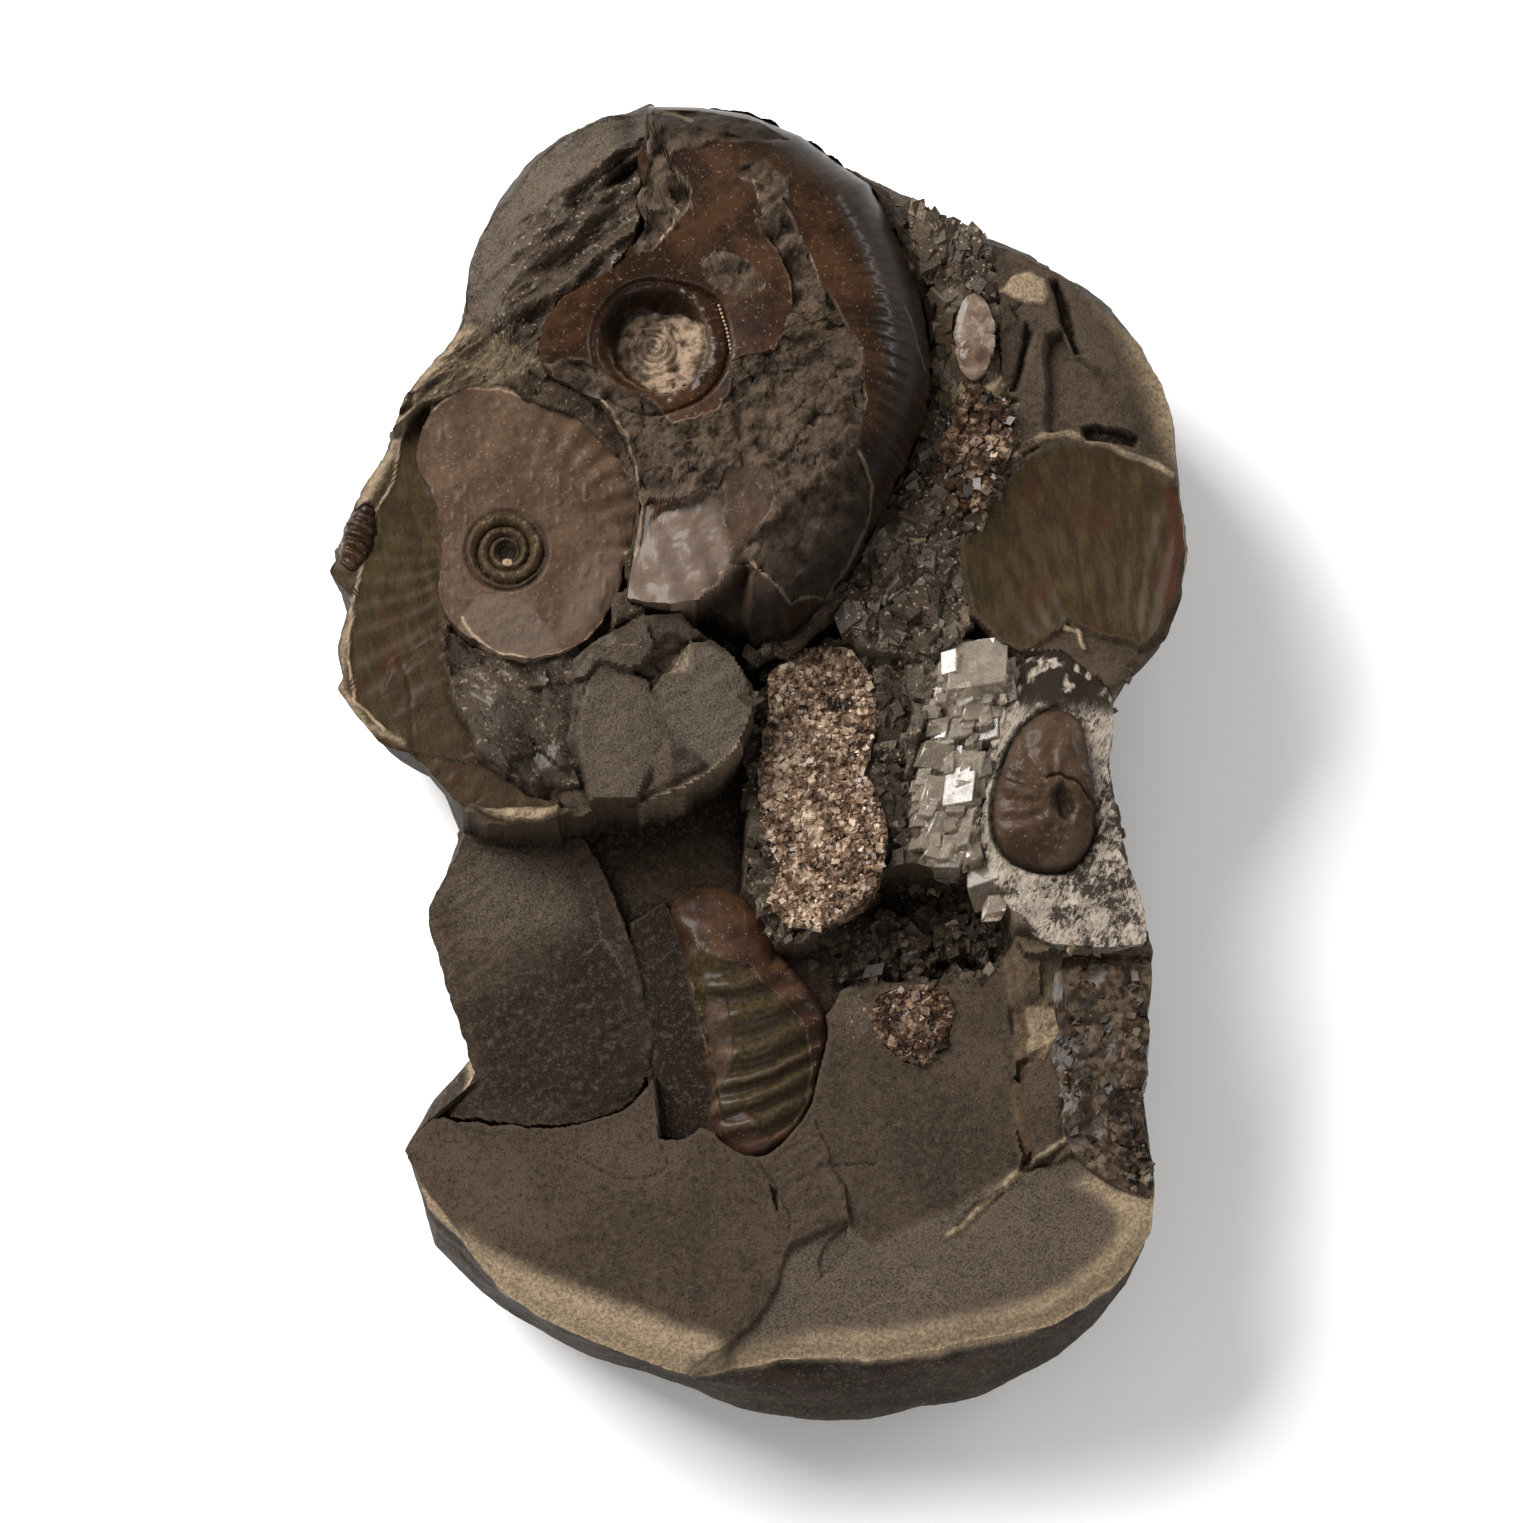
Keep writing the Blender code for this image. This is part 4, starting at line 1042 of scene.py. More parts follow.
SLABS = (
    # Painted shadow: this slab's dark tone is the shadow that the left block casts on it.
    Slab((
        (560, 815), (600, 780), (700, 750), (748, 735), (770, 800), (780, 915), (752, 930), (670, 935),
        (640, 960), (600, 890),
    ), 44, (-0.02, 0.0), broke=Break.STREAKED, tones=Tones(dark=0.45)),
    # Painted shade: the middle panel's dark tone stands for its slope away from the light.
    Slab((
        (630, 925), (665, 900), (690, 930), (705, 1023), (720, 1088), (716, 1137), (690, 1138), (655, 1138),
        (648, 1080), (640, 1000),
    ), 46.6, (0.15, 0.0), tones=Tones(dark=0.85)),
    Slab((
        (1050, 940), (1180, 940), (1180, 1210), (1150, 1205), (1067, 1150),
    ), 49, (0.05, 0.0), broke=Break.CHIPPED, tones=Tones(dark=0.6, gloss=0.4)),
    Slab((
        (850, 640), (1003, 640), (1044, 645), (1180, 650), (1180, 960), (1020, 948), (1000, 880), (885, 883),
        (865, 945), (770, 945), (740, 920), (752, 700), (790, 650),
    ), 54, broke=Break.RUBBLE, tones=Tones(dark=0.2, gloss=0.3, pale=0.3, flecks=0.8)),
    Slab((
        (908, 640), (1003, 640), (1044, 645), (1130, 650), (1180, 700), (1180, 952), (1060, 950), (1012, 938),
        (985, 885), (920, 868), (905, 780),
    ), 57.6, broke=Break.RUBBLE, tones=Tones(gloss=0.3, pale=0.6, flecks=0.8)),
    Slab((
        (874, 692), (888, 668), (903, 684), (913, 712), (908, 734), (893, 746), (876, 742),
    ), 56.5, (0.10, 0.05), edge=0.6, tones=Tones(dark=0.35, rust=0.2, gloss=0.3)),
    Slab((
        (872, 778), (890, 770), (908, 790), (912, 812), (900, 832), (884, 822), (866, 790),
    ), 56.0, (0.12, 0.0), edge=0.6, tones=Tones(dark=0.35, gloss=0.3)),
    Slab((
        (884, 872), (893, 850), (915, 838), (930, 862), (915, 880), (896, 888),
    ), 55.5, (-0.10, -0.1), edge=0.6, tones=Tones(dark=0.3, rust=0.25, gloss=0.3)),
    Slab((
        (826, 1015), (840, 990), (880, 975), (1005, 940), (1016, 1003), (1022, 1041), (1017, 1092),
        (1030, 1170), (1003, 1190), (977, 1215), (949, 1240), (847, 1225), (816, 1180), (800, 1123),
        (815, 1074),
    ), 50, (-0.02, 0.05), 0.6, tones=Tones(dark=0.05)),
    Slab((
        (660, 1165), (700, 1125), (760, 1150), (803, 1110), (818, 1120), (833, 1159), (847, 1195),
        (850, 1222), (783, 1256), (777, 1189), (740, 1170),
    ), 50.2, (0.03, -0.05), broke=Break.STREAKED, edge=0.6),
    Slab((
        (700, 1250), (783, 1250), (847, 1219), (872, 1241), (939, 1213), (985, 1185), (1010, 1172),
        (1067, 1140), (1100, 1160), (1190, 1200), (1190, 1420), (690, 1420), (690, 1355),
    ), 49.2, (-0.03, 0.01), 0.8, edge=2.2, tones=Tones(pale=0.42)),
    Slab((
        (380, 1150), (412, 1110), (443, 1117), (484, 1123), (527, 1126), (579, 1123), (622, 1109),
        (645, 1087), (656, 1075), (660, 1137), (712, 1137), (760, 1164), (790, 1233), (783, 1254),
        (780, 1280), (757, 1315), (719, 1347), (690, 1366), (690, 1430), (380, 1430),
    ), 51.0, (0.03, 0.03), 1.2, edge=0.7, tones=Tones(pale=0.05)),
    Slab((
        (380, 812), (568, 812), (589, 844), (612, 890), (630, 933), (640, 971), (647, 1010), (655, 1038),
        (652, 1066), (642, 1089), (622, 1109), (579, 1123), (527, 1126), (484, 1123), (443, 1117),
        (380, 1110),
    ), 48.6, (0.12, 0.06), 5.0, edge=0.7, broke=Break.STREAKED, tones=Tones(pale=0.08)),
    Slab((
        (996, 935), (1065, 940), (1062, 1050), (1072, 1155), (1050, 1162), (1020, 1172), (1010, 1092),
        (1014, 1041), (1006, 990),
    ), 51.4, (0.03, 0.0), broke=Break.CHIPPED, tones=Tones(rind=0.25, olive=0.3)),
    Slab((
        (1020, 1066), (1052, 1058), (1062, 1090), (1060, 1150), (1034, 1163), (1024, 1110),
    ), 52.2, (0.05, 0.0), edge=0.6, tones=Tones(pale=0.05)),
    Slab((
        (940, 500), (1000, 425), (1105, 432), (1220, 440), (1220, 640), (1166, 650), (1110, 690),
        (1044, 652), (1003, 648), (955, 600),
    ), 60, (0.02, 0.03), tones=Tones(rind=0.12, olive=0.2)),
    Slab((
        (980, 210), (1220, 250), (1220, 450), (1140, 452), (1105, 443), (1067, 440), (1039, 450),
        (1010, 475), (1000, 400), (1005, 320),
    ), 60.5, (0.06, 0.0), 0.8, tones=Tones(rind=0.10)),
    Slab((
        (1046, 338), (1062, 330), (1075, 352), (1105, 375), (1131, 410), (1120, 430), (1085, 428),
        (1048, 436), (1047, 394),
    ), 58.6, (-0.06, -0.08), edge=1.6, tones=Tones(dark=0.10)),
    Slab((
        (993, 300), (1010, 303), (1026, 328), (1022, 355), (1012, 380), (993, 386), (996, 340),
    ), 62.0, (0.14, 0.06), edge=1.4, broke=Break.STREAKED, tones=Tones(dark=0.15)),
    Slab((
        (895, 190), (990, 230), (1000, 300), (1000, 390), (1018, 400), (1022, 440), (1000, 500), (960, 545),
        (975, 625), (930, 658), (860, 650), (835, 615), (880, 520), (920, 440), (930, 330),
    ), 60.4, (0.0, 0.04), broke=Break.RUBBLE, tones=Tones(gloss=0.35, pale=0.6, flecks=0.9)),
    Slab((
        (925, 268), (960, 262), (1000, 380), (1012, 384), (1004, 396), (958, 412), (940, 430), (930, 380),
    ), 61.3, (0.0, 0.03), 0.6, tones=Tones(rind=0.22, olive=0.35)),
    Slab((
        (440, 325), (440, 230), (520, 130), (602, 80), (750, 80), (850, 130), (925, 185), (912, 215),
        (935, 300), (940, 390), (928, 440), (900, 505), (865, 580), (835, 612), (795, 652), (740, 662),
        (640, 600), (600, 400), (520, 345),
    ), 61, (0.03, 0.0), broke=Break.CHIPPED, tones=Tones(dark=0.4, gloss=0.2, flecks=0.3)),
    Slab((
        (300, 380), (410, 380), (443, 345), (470, 325), (520, 335), (600, 400), (637, 510), (645, 600),
        (690, 615), (735, 655), (757, 690), (755, 705), (742, 745), (716, 770), (690, 787), (645, 803),
        (600, 806), (560, 818), (520, 822), (480, 810), (440, 792), (409, 760), (300, 760),
    ), 70, (0.0, 0.04), edge=0.6, broke=Break.CHIPPED, tones=Tones(dark=0.2)),
    Slab((
        (300, 440), (380, 440), (405, 425), (432, 405), (428, 440), (420, 480), (436, 520), (443, 560),
        (455, 610), (432, 650), (430, 690), (445, 740), (470, 800), (440, 800), (300, 790),
    ), 69.0, (-0.10, 0.02), edge=1.2, tones=Tones(olive=1.0, gloss=0.18)),
    Slab((
        (392, 660), (412, 652), (440, 632), (462, 690), (480, 760), (530, 795), (560, 800), (560, 825),
        (490, 825), (440, 800), (405, 745), (385, 700),
    ), 68.5, (-0.02, 0.05), edge=0.8, broke=Break.STREAKED, tones=Tones(olive=0.75, rust=0.3, gloss=0.3)),
    Slab((
        (440, 630), (480, 645), (530, 660), (580, 648), (590, 690), (575, 740), (580, 782), (520, 780),
        (478, 750), (455, 700),
    ), 71.0, (0.02, 0.07), broke=Break.SPLINTERED, tones=Tones(gloss=0.8, pale=0.35, flecks=0.6)),
    Slab((
        (575, 660), (600, 640), (640, 615), (690, 612), (735, 655), (752, 690), (735, 735), (700, 765),
        (650, 790), (590, 795), (570, 740),
    ), 72.6, (0.05, 0.13), broke=Break.CHIPPED, tones=Tones(gloss=0.2, pale=0.35)),
    Slab((
        (576, 745), (580, 690), (600, 664), (650, 680), (668, 735), (640, 795), (590, 800),
    ), 72.9, (0.14, 0.12), broke=Break.STREAKED, edge=0.5, tones=Tones(gloss=0.3, pale=0.42)),
    Slab((
        (655, 690), (690, 640), (735, 655), (752, 700), (742, 740), (716, 768), (672, 740),
    ), 72.0, (0.24, 0.10), broke=Break.STREAKED, edge=0.5, tones=Tones(gloss=0.3, pale=0.5)),
    Slab((
        (440, 330), (440, 190), (560, 80), (652, 80), (655, 104), (652, 150), (644, 200), (640, 245),
        (605, 283), (560, 306), (545, 345), (548, 385), (500, 378), (440, 385),
    ), 76.0, (-0.04, 0.03), broke=Break.LAYERED, edge=2.5, tones=Tones(gloss=0.5, pale=0.25, flecks=0.6)),
    Slab((
        (440, 325), (440, 190), (560, 80), (660, 80), (660, 112), (640, 128), (612, 150), (575, 178),
        (540, 200), (518, 215), (508, 262), (498, 300), (484, 325),
    ), 75.0, (-0.04, 0.0), 0.6, edge=3.0, broke=Break.FLAKED, tones=Tones(gloss=0.3, pale=0.4)),
    Slab((
        (440, 385), (400, 372), (470, 325), (545, 360), (560, 392), (510, 386), (460, 396), (425, 408),
        (405, 425), (380, 440),
    ), 73.5, (-0.06, 0.0), broke=Break.LAYERED, edge=1.2, tones=Tones(rind=0.35, flecks=0.6, olive=0.2)),
    Slab((
        (505, 378), (548, 365), (610, 392), (650, 450), (655, 520), (645, 610), (612, 625), (600, 450),
        (560, 420), (515, 402),
    ), 76.4, (0.0, 0.0), broke=Break.CHIPPED, edge=1.5, tones=Tones(dark=0.25, rust=0.3, flecks=0.3)),
    # Painted shade: the hollow's dark tone stands for the shade in this recess.
    Slab((
        (836, 905), (850, 882), (885, 884), (940, 880), (985, 888), (1008, 930), (1010, 950), (985, 975),
        (930, 988), (860, 992), (832, 985), (815, 955),
    ), 42.5, (0.0, -0.16), broke=Break.RUBBLE, edge=3.5, tones=Tones(dark=0.7, gloss=0.3, flecks=0.2)),
)

RIGHT_MOULD = Outline((
    (957, 547), (962, 577), (977, 622), (1003, 644), (1026, 656), (1044, 641), (1069, 623), (1092, 636),
    (1118, 642), (1143, 650), (1160, 630), (1180, 593), (1190, 540), (1182, 488), (1138, 459), (1105, 449),
    (1067, 444), (1039, 452), (1013, 476), (993, 500), (970, 520),
), 60)

# Where a patch has both a sink and a dark tone, the dark tone is painted shade in the slot, pocket or groove
# that it presses in.
PATCHES = (
    Patch(((430, 890), (470, 840), (560, 825), (590, 880), (600, 940), (520, 960), (450, 960)),
          50, (-6.0, 8.0), 0.0, Tones(pale=0.40)),
    # Painted shade: the left plate's lower right, darker because it slopes away from the light.
    Patch(((520, 960), (600, 900), (650, 960), (670, 1080), (600, 1130), (440, 1125), (470, 1070),
           (460, 1010)), 49, (-6.0, 9.0), 0.0, Tones(dark=0.8)),
    Patch(((1000, 1060), (1020, 1100), (1030, 1170), (940, 1240), (850, 1225), (860, 1150)),
          50, (-5.0, 8.0), 0.0, Tones(dark=0.25)),
    Patch(((672, 601), (712, 585), (743, 574), (756, 568), (760, 640), (745, 660), (712, 643), (684, 622)),
          68, (-0.4, 1.6), 12.0, Tones(dark=0.95)),
    Patch(((1082, 428), (1100, 425), (1138, 434), (1136, 446), (1100, 443), (1084, 441)),
          59, (-0.4, 0.8), 4.0, Tones(dark=0.9, gloss=0.3)),
    Patch(((1018, 453), (1036, 441), (1042, 447), (1024, 460)), 60, (-0.3, 0.6), 2.5, Tones(dark=0.8)),
    Patch(((1049, 276), (1058, 274), (1070, 300), (1076, 328), (1086, 352), (1078, 352), (1062, 325)),
          60, (-0.4, 1.0), 3.6, Tones(dark=0.55)),
    Patch(((1027, 322), (1034, 332), (1028, 356), (1016, 390), (1008, 392), (1020, 356)),
          60, (-0.5, 0.9), 2.6, Tones(dark=0.45)),
    Patch(((566, 196), (590, 172), (604, 176), (628, 154), (664, 140), (672, 148), (648, 160), (628, 178),
           (600, 188), (592, 204), (574, 214)), 76, (-2.4, 3.0), 5.0, Tones(dark=0.7)),
    Patch(((651, 650), (668, 634), (695, 640), (692, 672), (668, 680), (653, 668)),
          72, (-0.3, 1.2), 2.2, Tones(cream=0.45, flecks=0.8)),
    Patch(((988, 940), (1010, 935), (1012, 965), (990, 972)), 50, (-0.4, 1.6), 3.0, Tones(dark=0.7)),
    Patch(((622, 88), (672, 88), (672, 132), (652, 148), (632, 138)), 70, (-5.0, 2.0), 5.5),
    Patch(((464, 1222), (495, 1248), (538, 1268), (597, 1290), (661, 1312), (724, 1333), (740, 1420),
           (600, 1420), (420, 1300)), 50, (-3.0, 6.0), 0.0, Tones(rind=1.0)),
    Patch(((735, 1341), (812, 1327), (891, 1323), (971, 1311), (1019, 1298), (1067, 1279), (1105, 1244),
           (1114, 1222), (1099, 1205), (1070, 1182), (1120, 1150), (1220, 1180), (1220, 1420), (700, 1420)),
          48, (-3.0, 6.0), 0.0, Tones(rind=1.0)),
    Patch(((1066, 262), (1085, 300), (1105, 326), (1120, 358), (1131, 392), (1143, 440), (1170, 474),
           (1260, 470), (1260, 250), (1100, 200)), 58, (-3.0, 9.0), 0.0, Tones(rind=0.62)),
    Patch(((997, 292), (1013, 274), (1032, 268), (1048, 274), (1051, 292), (1046, 304), (1020, 302)),
          61, (-0.3, 1.2), -0.9, Tones(rind=0.85)),
    Patch(((948, 404), (957, 380), (966, 387), (980, 390), (1000, 379), (1010, 383), (1002, 396), (975, 398),
           (958, 412)), 61, (-0.4, 0.8), -0.5, Tones(rind=0.55)),
    Patch(((914, 246), (925, 215), (942, 222), (957, 250), (968, 285), (957, 302), (940, 290), (925, 270)),
          62, (-0.5, 1.0), -0.4, Tones(pale=0.55, flecks=1.0, rind=0.2)),
    Patch(((916, 242), (922, 220), (936, 220), (940, 240), (928, 248)),
          62, (-0.3, 0.8), -0.6, Tones(cream=0.7)),
    Patch(((410, 1168), (440, 1205), (470, 1240), (510, 1285), (480, 1310), (400, 1250)),
          50, (-0.3, 0.5), 0.7, Tones(rind=0.75)),
    Patch(((1024, 1004), (1048, 998), (1061, 1010), (1058, 1040), (1042, 1060), (1024, 1066)),
          53, (-0.6, 1.4), -0.8, Tones(rind=0.62)),
    Patch(((1052, 944), (1105, 934), (1145, 940), (1105, 956), (1062, 970)),
          55, (-0.3, 0.8), 0.0, Tones(rind=0.55)),
    Patch(((470, 812), (500, 815), (560, 812), (578, 812), (545, 830), (500, 826)),
          62, (-0.3, 0.8), -2.0, Tones(rind=0.8)),
    Patch(((1158, 480), (1178, 490), (1190, 540), (1180, 600), (1164, 630), (1158, 590), (1166, 540)),
          59, (-0.4, 1.6), 0.0, Tones(rust=0.8)),
    Patch(((952, 1226), (975, 1205), (1000, 1186), (1004, 1192), (990, 1212), (970, 1230)),
          49, (-0.3, 0.7), 1.6, Tones(dark=0.5, rind=0.3)),
    Patch(((818, 1262), (824, 1240), (846, 1222), (851, 1246), (838, 1268), (820, 1276)),
          49, (-0.2, 0.4), 0.9, Tones(dark=0.35)),
    Patch(((836, 996), (858, 990), (876, 998), (874, 1030), (858, 1042), (842, 1030)),
          50.5, (-0.5, 1.5), 0.0, Tones(pale=0.35, flecks=0.6)),
)

# Lines with a dark tone and a negative lift are cracks; their dark tone is painted shade in the cracks.
LINES = (
    Line(((571, 1152), (599, 1171), (622, 1178), (658, 1176), (668, 1165), (663, 1144)),
         51, 0.22, -0.35, Tones(dark=0.6)),
    Line(((760, 1164), (777, 1189), (788, 1210), (790, 1233)), 50, 0.24, -0.4, Tones(dark=0.6)),
    Line(((816, 1120), (831, 1159), (846, 1192)), 50, 0.3, -0.6, Tones(dark=0.5)),
    Line(((836, 1162), (874, 1162)), 50, 0.25, -0.5, Tones(dark=0.8)),
    Line(((655, 1038), (652, 1066), (660, 1090)), 49, 0.5, -0.8, Tones(dark=0.6)),
    Line(((949, 1233), (977, 1209), (1003, 1183), (1032, 1161), (1067, 1140)), 50, 0.9, 0.9, Tones(rind=0.7)),
    Line(((1005, 939), (1014, 990), (1024, 1041), (1019, 1092), (1025, 1154)), 53, 0.7, 0.3, Tones(rust=0.9)),
    Line(((470, 335), (430, 378), (402, 425), (380, 470), (362, 505), (354, 545)), 70, 1.9, 1.3,
         Tones(cream=0.45, rind=0.5, flecks=0.5)),
    Line(((352, 600), (345, 650), (343, 690), (368, 728), (405, 745)), 67, 1.2, 0.8,
         Tones(cream=0.35, rind=0.5)),
    Line(((404, 430), (392, 480), (376, 510), (372, 540), (360, 570), (352, 610), (350, 655), (356, 700),
          (385, 730)), 69, 0.45, 0.4, Tones(cream=0.75)),
    Line(((640, 803), (680, 790), (716, 768), (742, 742)), 69, 0.9, 0.5, Tones(cream=0.6)),
    Line(((455, 612), (478, 645), (504, 658), (532, 660), (590, 640)), 73, 0.5, 0.3, Tones(cream=0.5)),
    Line(((400, 660), (410, 690), (414, 740), (424, 785)), 69, 0.35, -0.4, Tones(rust=0.9)),
    Line(((1016, 458), (1041, 438), (1072, 434), (1105, 446), (1143, 458), (1174, 472)), 60, 0.9, 1.0,
         Tones(rind=0.75)),
    Line(((1024, 300), (1014, 310), (1022, 318)), 61, 0.4, -0.6, Tones(dark=0.7)),
    Line(((1062, 330), (1048, 338), (1047, 394)), 60, 0.5, 0.5, Tones(pale=0.2)),
    Line(((891, 228), (902, 246), (911, 266)), 63, 0.9, 0.5, Tones(cream=0.6, rust=0.3)),
    Line(((596, 668), (582, 700), (578, 750)), 72, 0.4, -0.7, Tones(dark=0.8)),
    Line(((598, 650), (640, 652), (690, 676)), 72, 0.45, 0.3, Tones(cream=0.5)),
    Line(((876, 942), (872, 928), (884, 919), (899, 924), (905, 945)),
         46, 0.8, 1.6, Tones(cream=0.45, gloss=0.5)),
    Line(((1064, 628), (1078, 632), (1086, 648)), 60, 0.6, 0.9, Tones(cream=0.9)),
    Line(((545, 872), (553, 890), (545, 905), (540, 918)), 50, 0.45, 0.0, Tones(pale=0.6)),
    Line(((583, 874), (592, 900), (600, 930), (612, 950), (624, 975)), 50, 0.7, 0.0, Tones(pale=0.45)),
    Line(((584, 955), (604, 938), (622, 948)), 50, 0.6, 0.0, Tones(pale=0.45)),
    Line(((488, 876), (496, 900), (494, 912)), 50, 0.6, 0.0, Tones(pale=0.45)),
    Line(((480, 1090), (495, 1070), (520, 1062)), 50, 0.8, 0.0, Tones(pale=0.35)),
    Line(((850, 1312), (878, 1302), (905, 1298), (915, 1280), (925, 1284), (950, 1306)), 48, 0.5, 0.0,
         Tones(pale=0.6)),
    Line(((913, 1280), (918, 1274), (930, 1276)), 48, 0.5, 0.0, Tones(pale=0.6)),
    Line(((975, 1255), (990, 1262), (990, 1280)), 48, 0.4, 0.0, Tones(pale=0.5)),
    Line(((768, 1300), (780, 1290), (800, 1290)), 48, 0.4, 0.0, Tones(pale=0.45)),
)


@dataclass
class RockFace:
    """Heights and tones of the rock's broken top, for any points on it."""

    x: Array
    y: Array
    height: Array = field(init=False)
    zones: dict[str, Array] = field(init=False)
    base: float = 43.0
    front_rise: float = 5.5
    jag: float = 0.8
    jag_size: float = 4.0
    mould_level: float = 61.0
    mould_depth: float = 3.4
    mould_bend: float = 7.0
    mould_ribs: int = 62
    room: float = 5.0

    def __post_init__(self) -> None:
        """Lays the slabs one over another, then the mould, rim, patches and lines."""
        front = ease(self.y, *self.rows(1000, 1090)) * ease(self.x, *self.columns(640, 720))
        swell = (2 - 1.4 * front) * rough_noise(self.x, self.y, 0.0, 8.0, 3)
        self.height = self.base + self.front_rise * front + swell
        self.zones = {name: np.zeros(self.x.shape) for name in vars(Tones())}
        shift = self.jag * rough_noise(self.x, self.y, 0.0, self.jag_size, 11)
        shift_up = self.jag * rough_noise(self.x, self.y, 0.0, self.jag_size, 12)
        self.jagged = (self.x + shift, self.y + shift_up)
        self.textures = self.broken_textures()
        for slab in SLABS:
            self.lay(slab)
        self.press_right_mould()
        self.curve_left_mould()
        self.round_the_rim()
        for patch in PATCHES:
            share = ease(Outline(patch.pixels, patch.height).depth(*self.jagged), *patch.soft)
            self.height -= patch.sink * share
            self.tint(patch.tones, share)
        for line in LINES:
            share = np.exp(-(distance_to_line(line.pixels, line.height, *self.jagged) / line.width) ** 2)
            self.height += line.lift * share
            self.tint(line.tones, share)
        self.make_room()

    def tint(self, tones: Tones, share: Array) -> None:
        """Adds tones where they are stronger than what is there.

        Args:
            tones: The tones.
            share: Their share of each point.
        """
        for name, value in vars(tones).items():
            if value:
                self.zones[name] = np.maximum(self.zones[name], value * share)

    def broken_textures(self) -> dict[Break, Array]:
        """Makes the relief that each way of breaking leaves.

        Returns:
            Heights in mm for each way.
        """
        x, y = self.x, self.y
        coarse = facets(x, y, 10.0, 3.0, 21)[0]
        medium = facets(x, y, 4.6, 1.3, 22)[0]
        fine = facets(x, y, 2.1, 0.6, 23)[0]
        grain = 0.06 * rough_noise(x, y, 0.0, 1.6, 24)
        swell = 0.35 * smooth_noise(x, y, 0.0, 28.0, 25)
        fissures = -1.5 * ease(crests(x, y, 0.0, 9.0, 29, 2), 0.72, 0.97)
        lumps = crests(x, y, 0.0, 3.0, 32)
        layer_x, layer_y = strands(x, y, 36.0, 4.5)
        layer_y = layer_y + 2.2 * rough_noise(x, y, 0.0, 18.0, 26, 2)
        layers = 2.6 * crests(layer_x, layer_y, 0.0, 6.5, 27, 5) + rough_noise(x, y, 0.0, 9.0, 28, 3)
        split_x, split_y = strands(x, y, -38.0, 3.0)
        splinters = 1.1 * crests(split_x, split_y, 0.0, 4.5, 30, 5)
        ripple_x, ripple_y = strands(x, y, 33.0, 4.0)
        ripples = 0.16 * rough_noise(ripple_x, ripple_y, 0.0, 1.5, 31, 3)
        return {
            Break.SMOOTH: 1.5 * grain + swell,
            Break.STREAKED: 1.5 * grain + swell + 2.6 * ripples,
            Break.CHIPPED: 1.4 * coarse + 1.2 * medium + 0.8 * fine + 0.7 * splinters + grain,
            Break.SPLINTERED: 1.3 * coarse + 1.1 * medium + 2.0 * splinters + grain,
            Break.LAYERED: 1.6 * layers + 0.8 * medium + 0.4 * fine,
            Break.FLAKED: 0.35 * layers + 0.4 * medium + 0.4 * fine + 2.6 * ripples,
            Break.RUBBLE: 0.8 * coarse + 1.5 * medium + 1.6 * fine + 2.0 * fissures + lumps,
        }

    def lay(self, slab: Slab) -> None:
        """Lays one slab over what is there, with a jagged edge.

        Args:
            slab: The slab.
        """
        outline = Outline(slab.pixels, slab.height)
        share = ease(outline.depth(*self.jagged), -slab.edge / 2, slab.edge / 2)
        middle = outline.corners().mean(axis=0)
        reach = np.abs(outline.corners() - middle).max()
        away = np.hypot(self.x - middle[0], self.y - middle[1]) / reach
        top = slab.height - slab.fall[0] * (self.x - middle[0]) + slab.fall[1] * (self.y - middle[1])
        top = top + slab.crown * (0.5 - away ** 2) + self.textures[slab.broke]
        self.height = self.height * (1 - share) + top * share
        for name, value in vars(slab.tones).items():
            self.zones[name] = self.zones[name] * (1 - share) + value * share

    def press_right_mould(self) -> None:
        """A shallow dish with fine curved ribs that fan out from a point low on its left."""
        depth = RIGHT_MOULD.depth(*self.jagged)
        share = ease(depth, -0.3, 0.8)
        bowl = 1 - np.exp(-np.maximum(depth, 0) / self.mould_bend)
        hub_x, hub_y = PICTURE.place(1140, 760, 58)
        bearing = np.arctan2(self.y - hub_y, self.x - hub_x)
        far = np.hypot(self.x - hub_x, self.y - hub_y)
        bend = 0.5 * rough_noise(self.x, self.y, 0.0, 10.0, 42)
        ribs = 0.11 * np.cos(bearing * self.mould_ribs + far * 0.16 + bend) * ease(depth, 0.0, 3.0)
        uneven = 0.3 * rough_noise(self.x, self.y, 0.0, 7.0, 41)
        floor = self.mould_level - self.mould_depth * bowl + ribs + uneven
        self.height = self.height * (1 - share) + floor * share
        for name in self.zones:
            self.zones[name] *= 1 - share
        self.tint(Tones(olive=1.0, gloss=0.22), share)

    def curve_left_mould(self) -> None:
        """Faint growth lines on the left mould, curved round the disc beside it."""
        hub_x, hub_y = PICTURE.place(520, 545, 70)
        bearing = np.arctan2(self.y - hub_y, self.x - hub_x)
        far = np.hypot(self.x - hub_x, self.y - hub_y)
        ribs = np.cos(bearing * 40 + far * 0.24 + 0.8 * rough_noise(self.x, self.y, 0.0, 8.0, 43))
        left = ease(self.x, *self.columns(445, 425)) * ease(self.y, *self.rows(760, 700))
        self.height += 0.17 * ribs * left * self.zones["olive"]

    def rows(self, low_row: float, high_row: float) -> tuple[float, float]:
        """The y of two picture rows at mid height."""
        return float(PICTURE.place(0, low_row, 58)[1]), float(PICTURE.place(0, high_row, 58)[1])

    def columns(self, first: float, second: float) -> tuple[float, float]:
        """The x of two picture columns."""
        return float(PICTURE.place(first, 0, 0)[0]), float(PICTURE.place(second, 0, 0)[0])

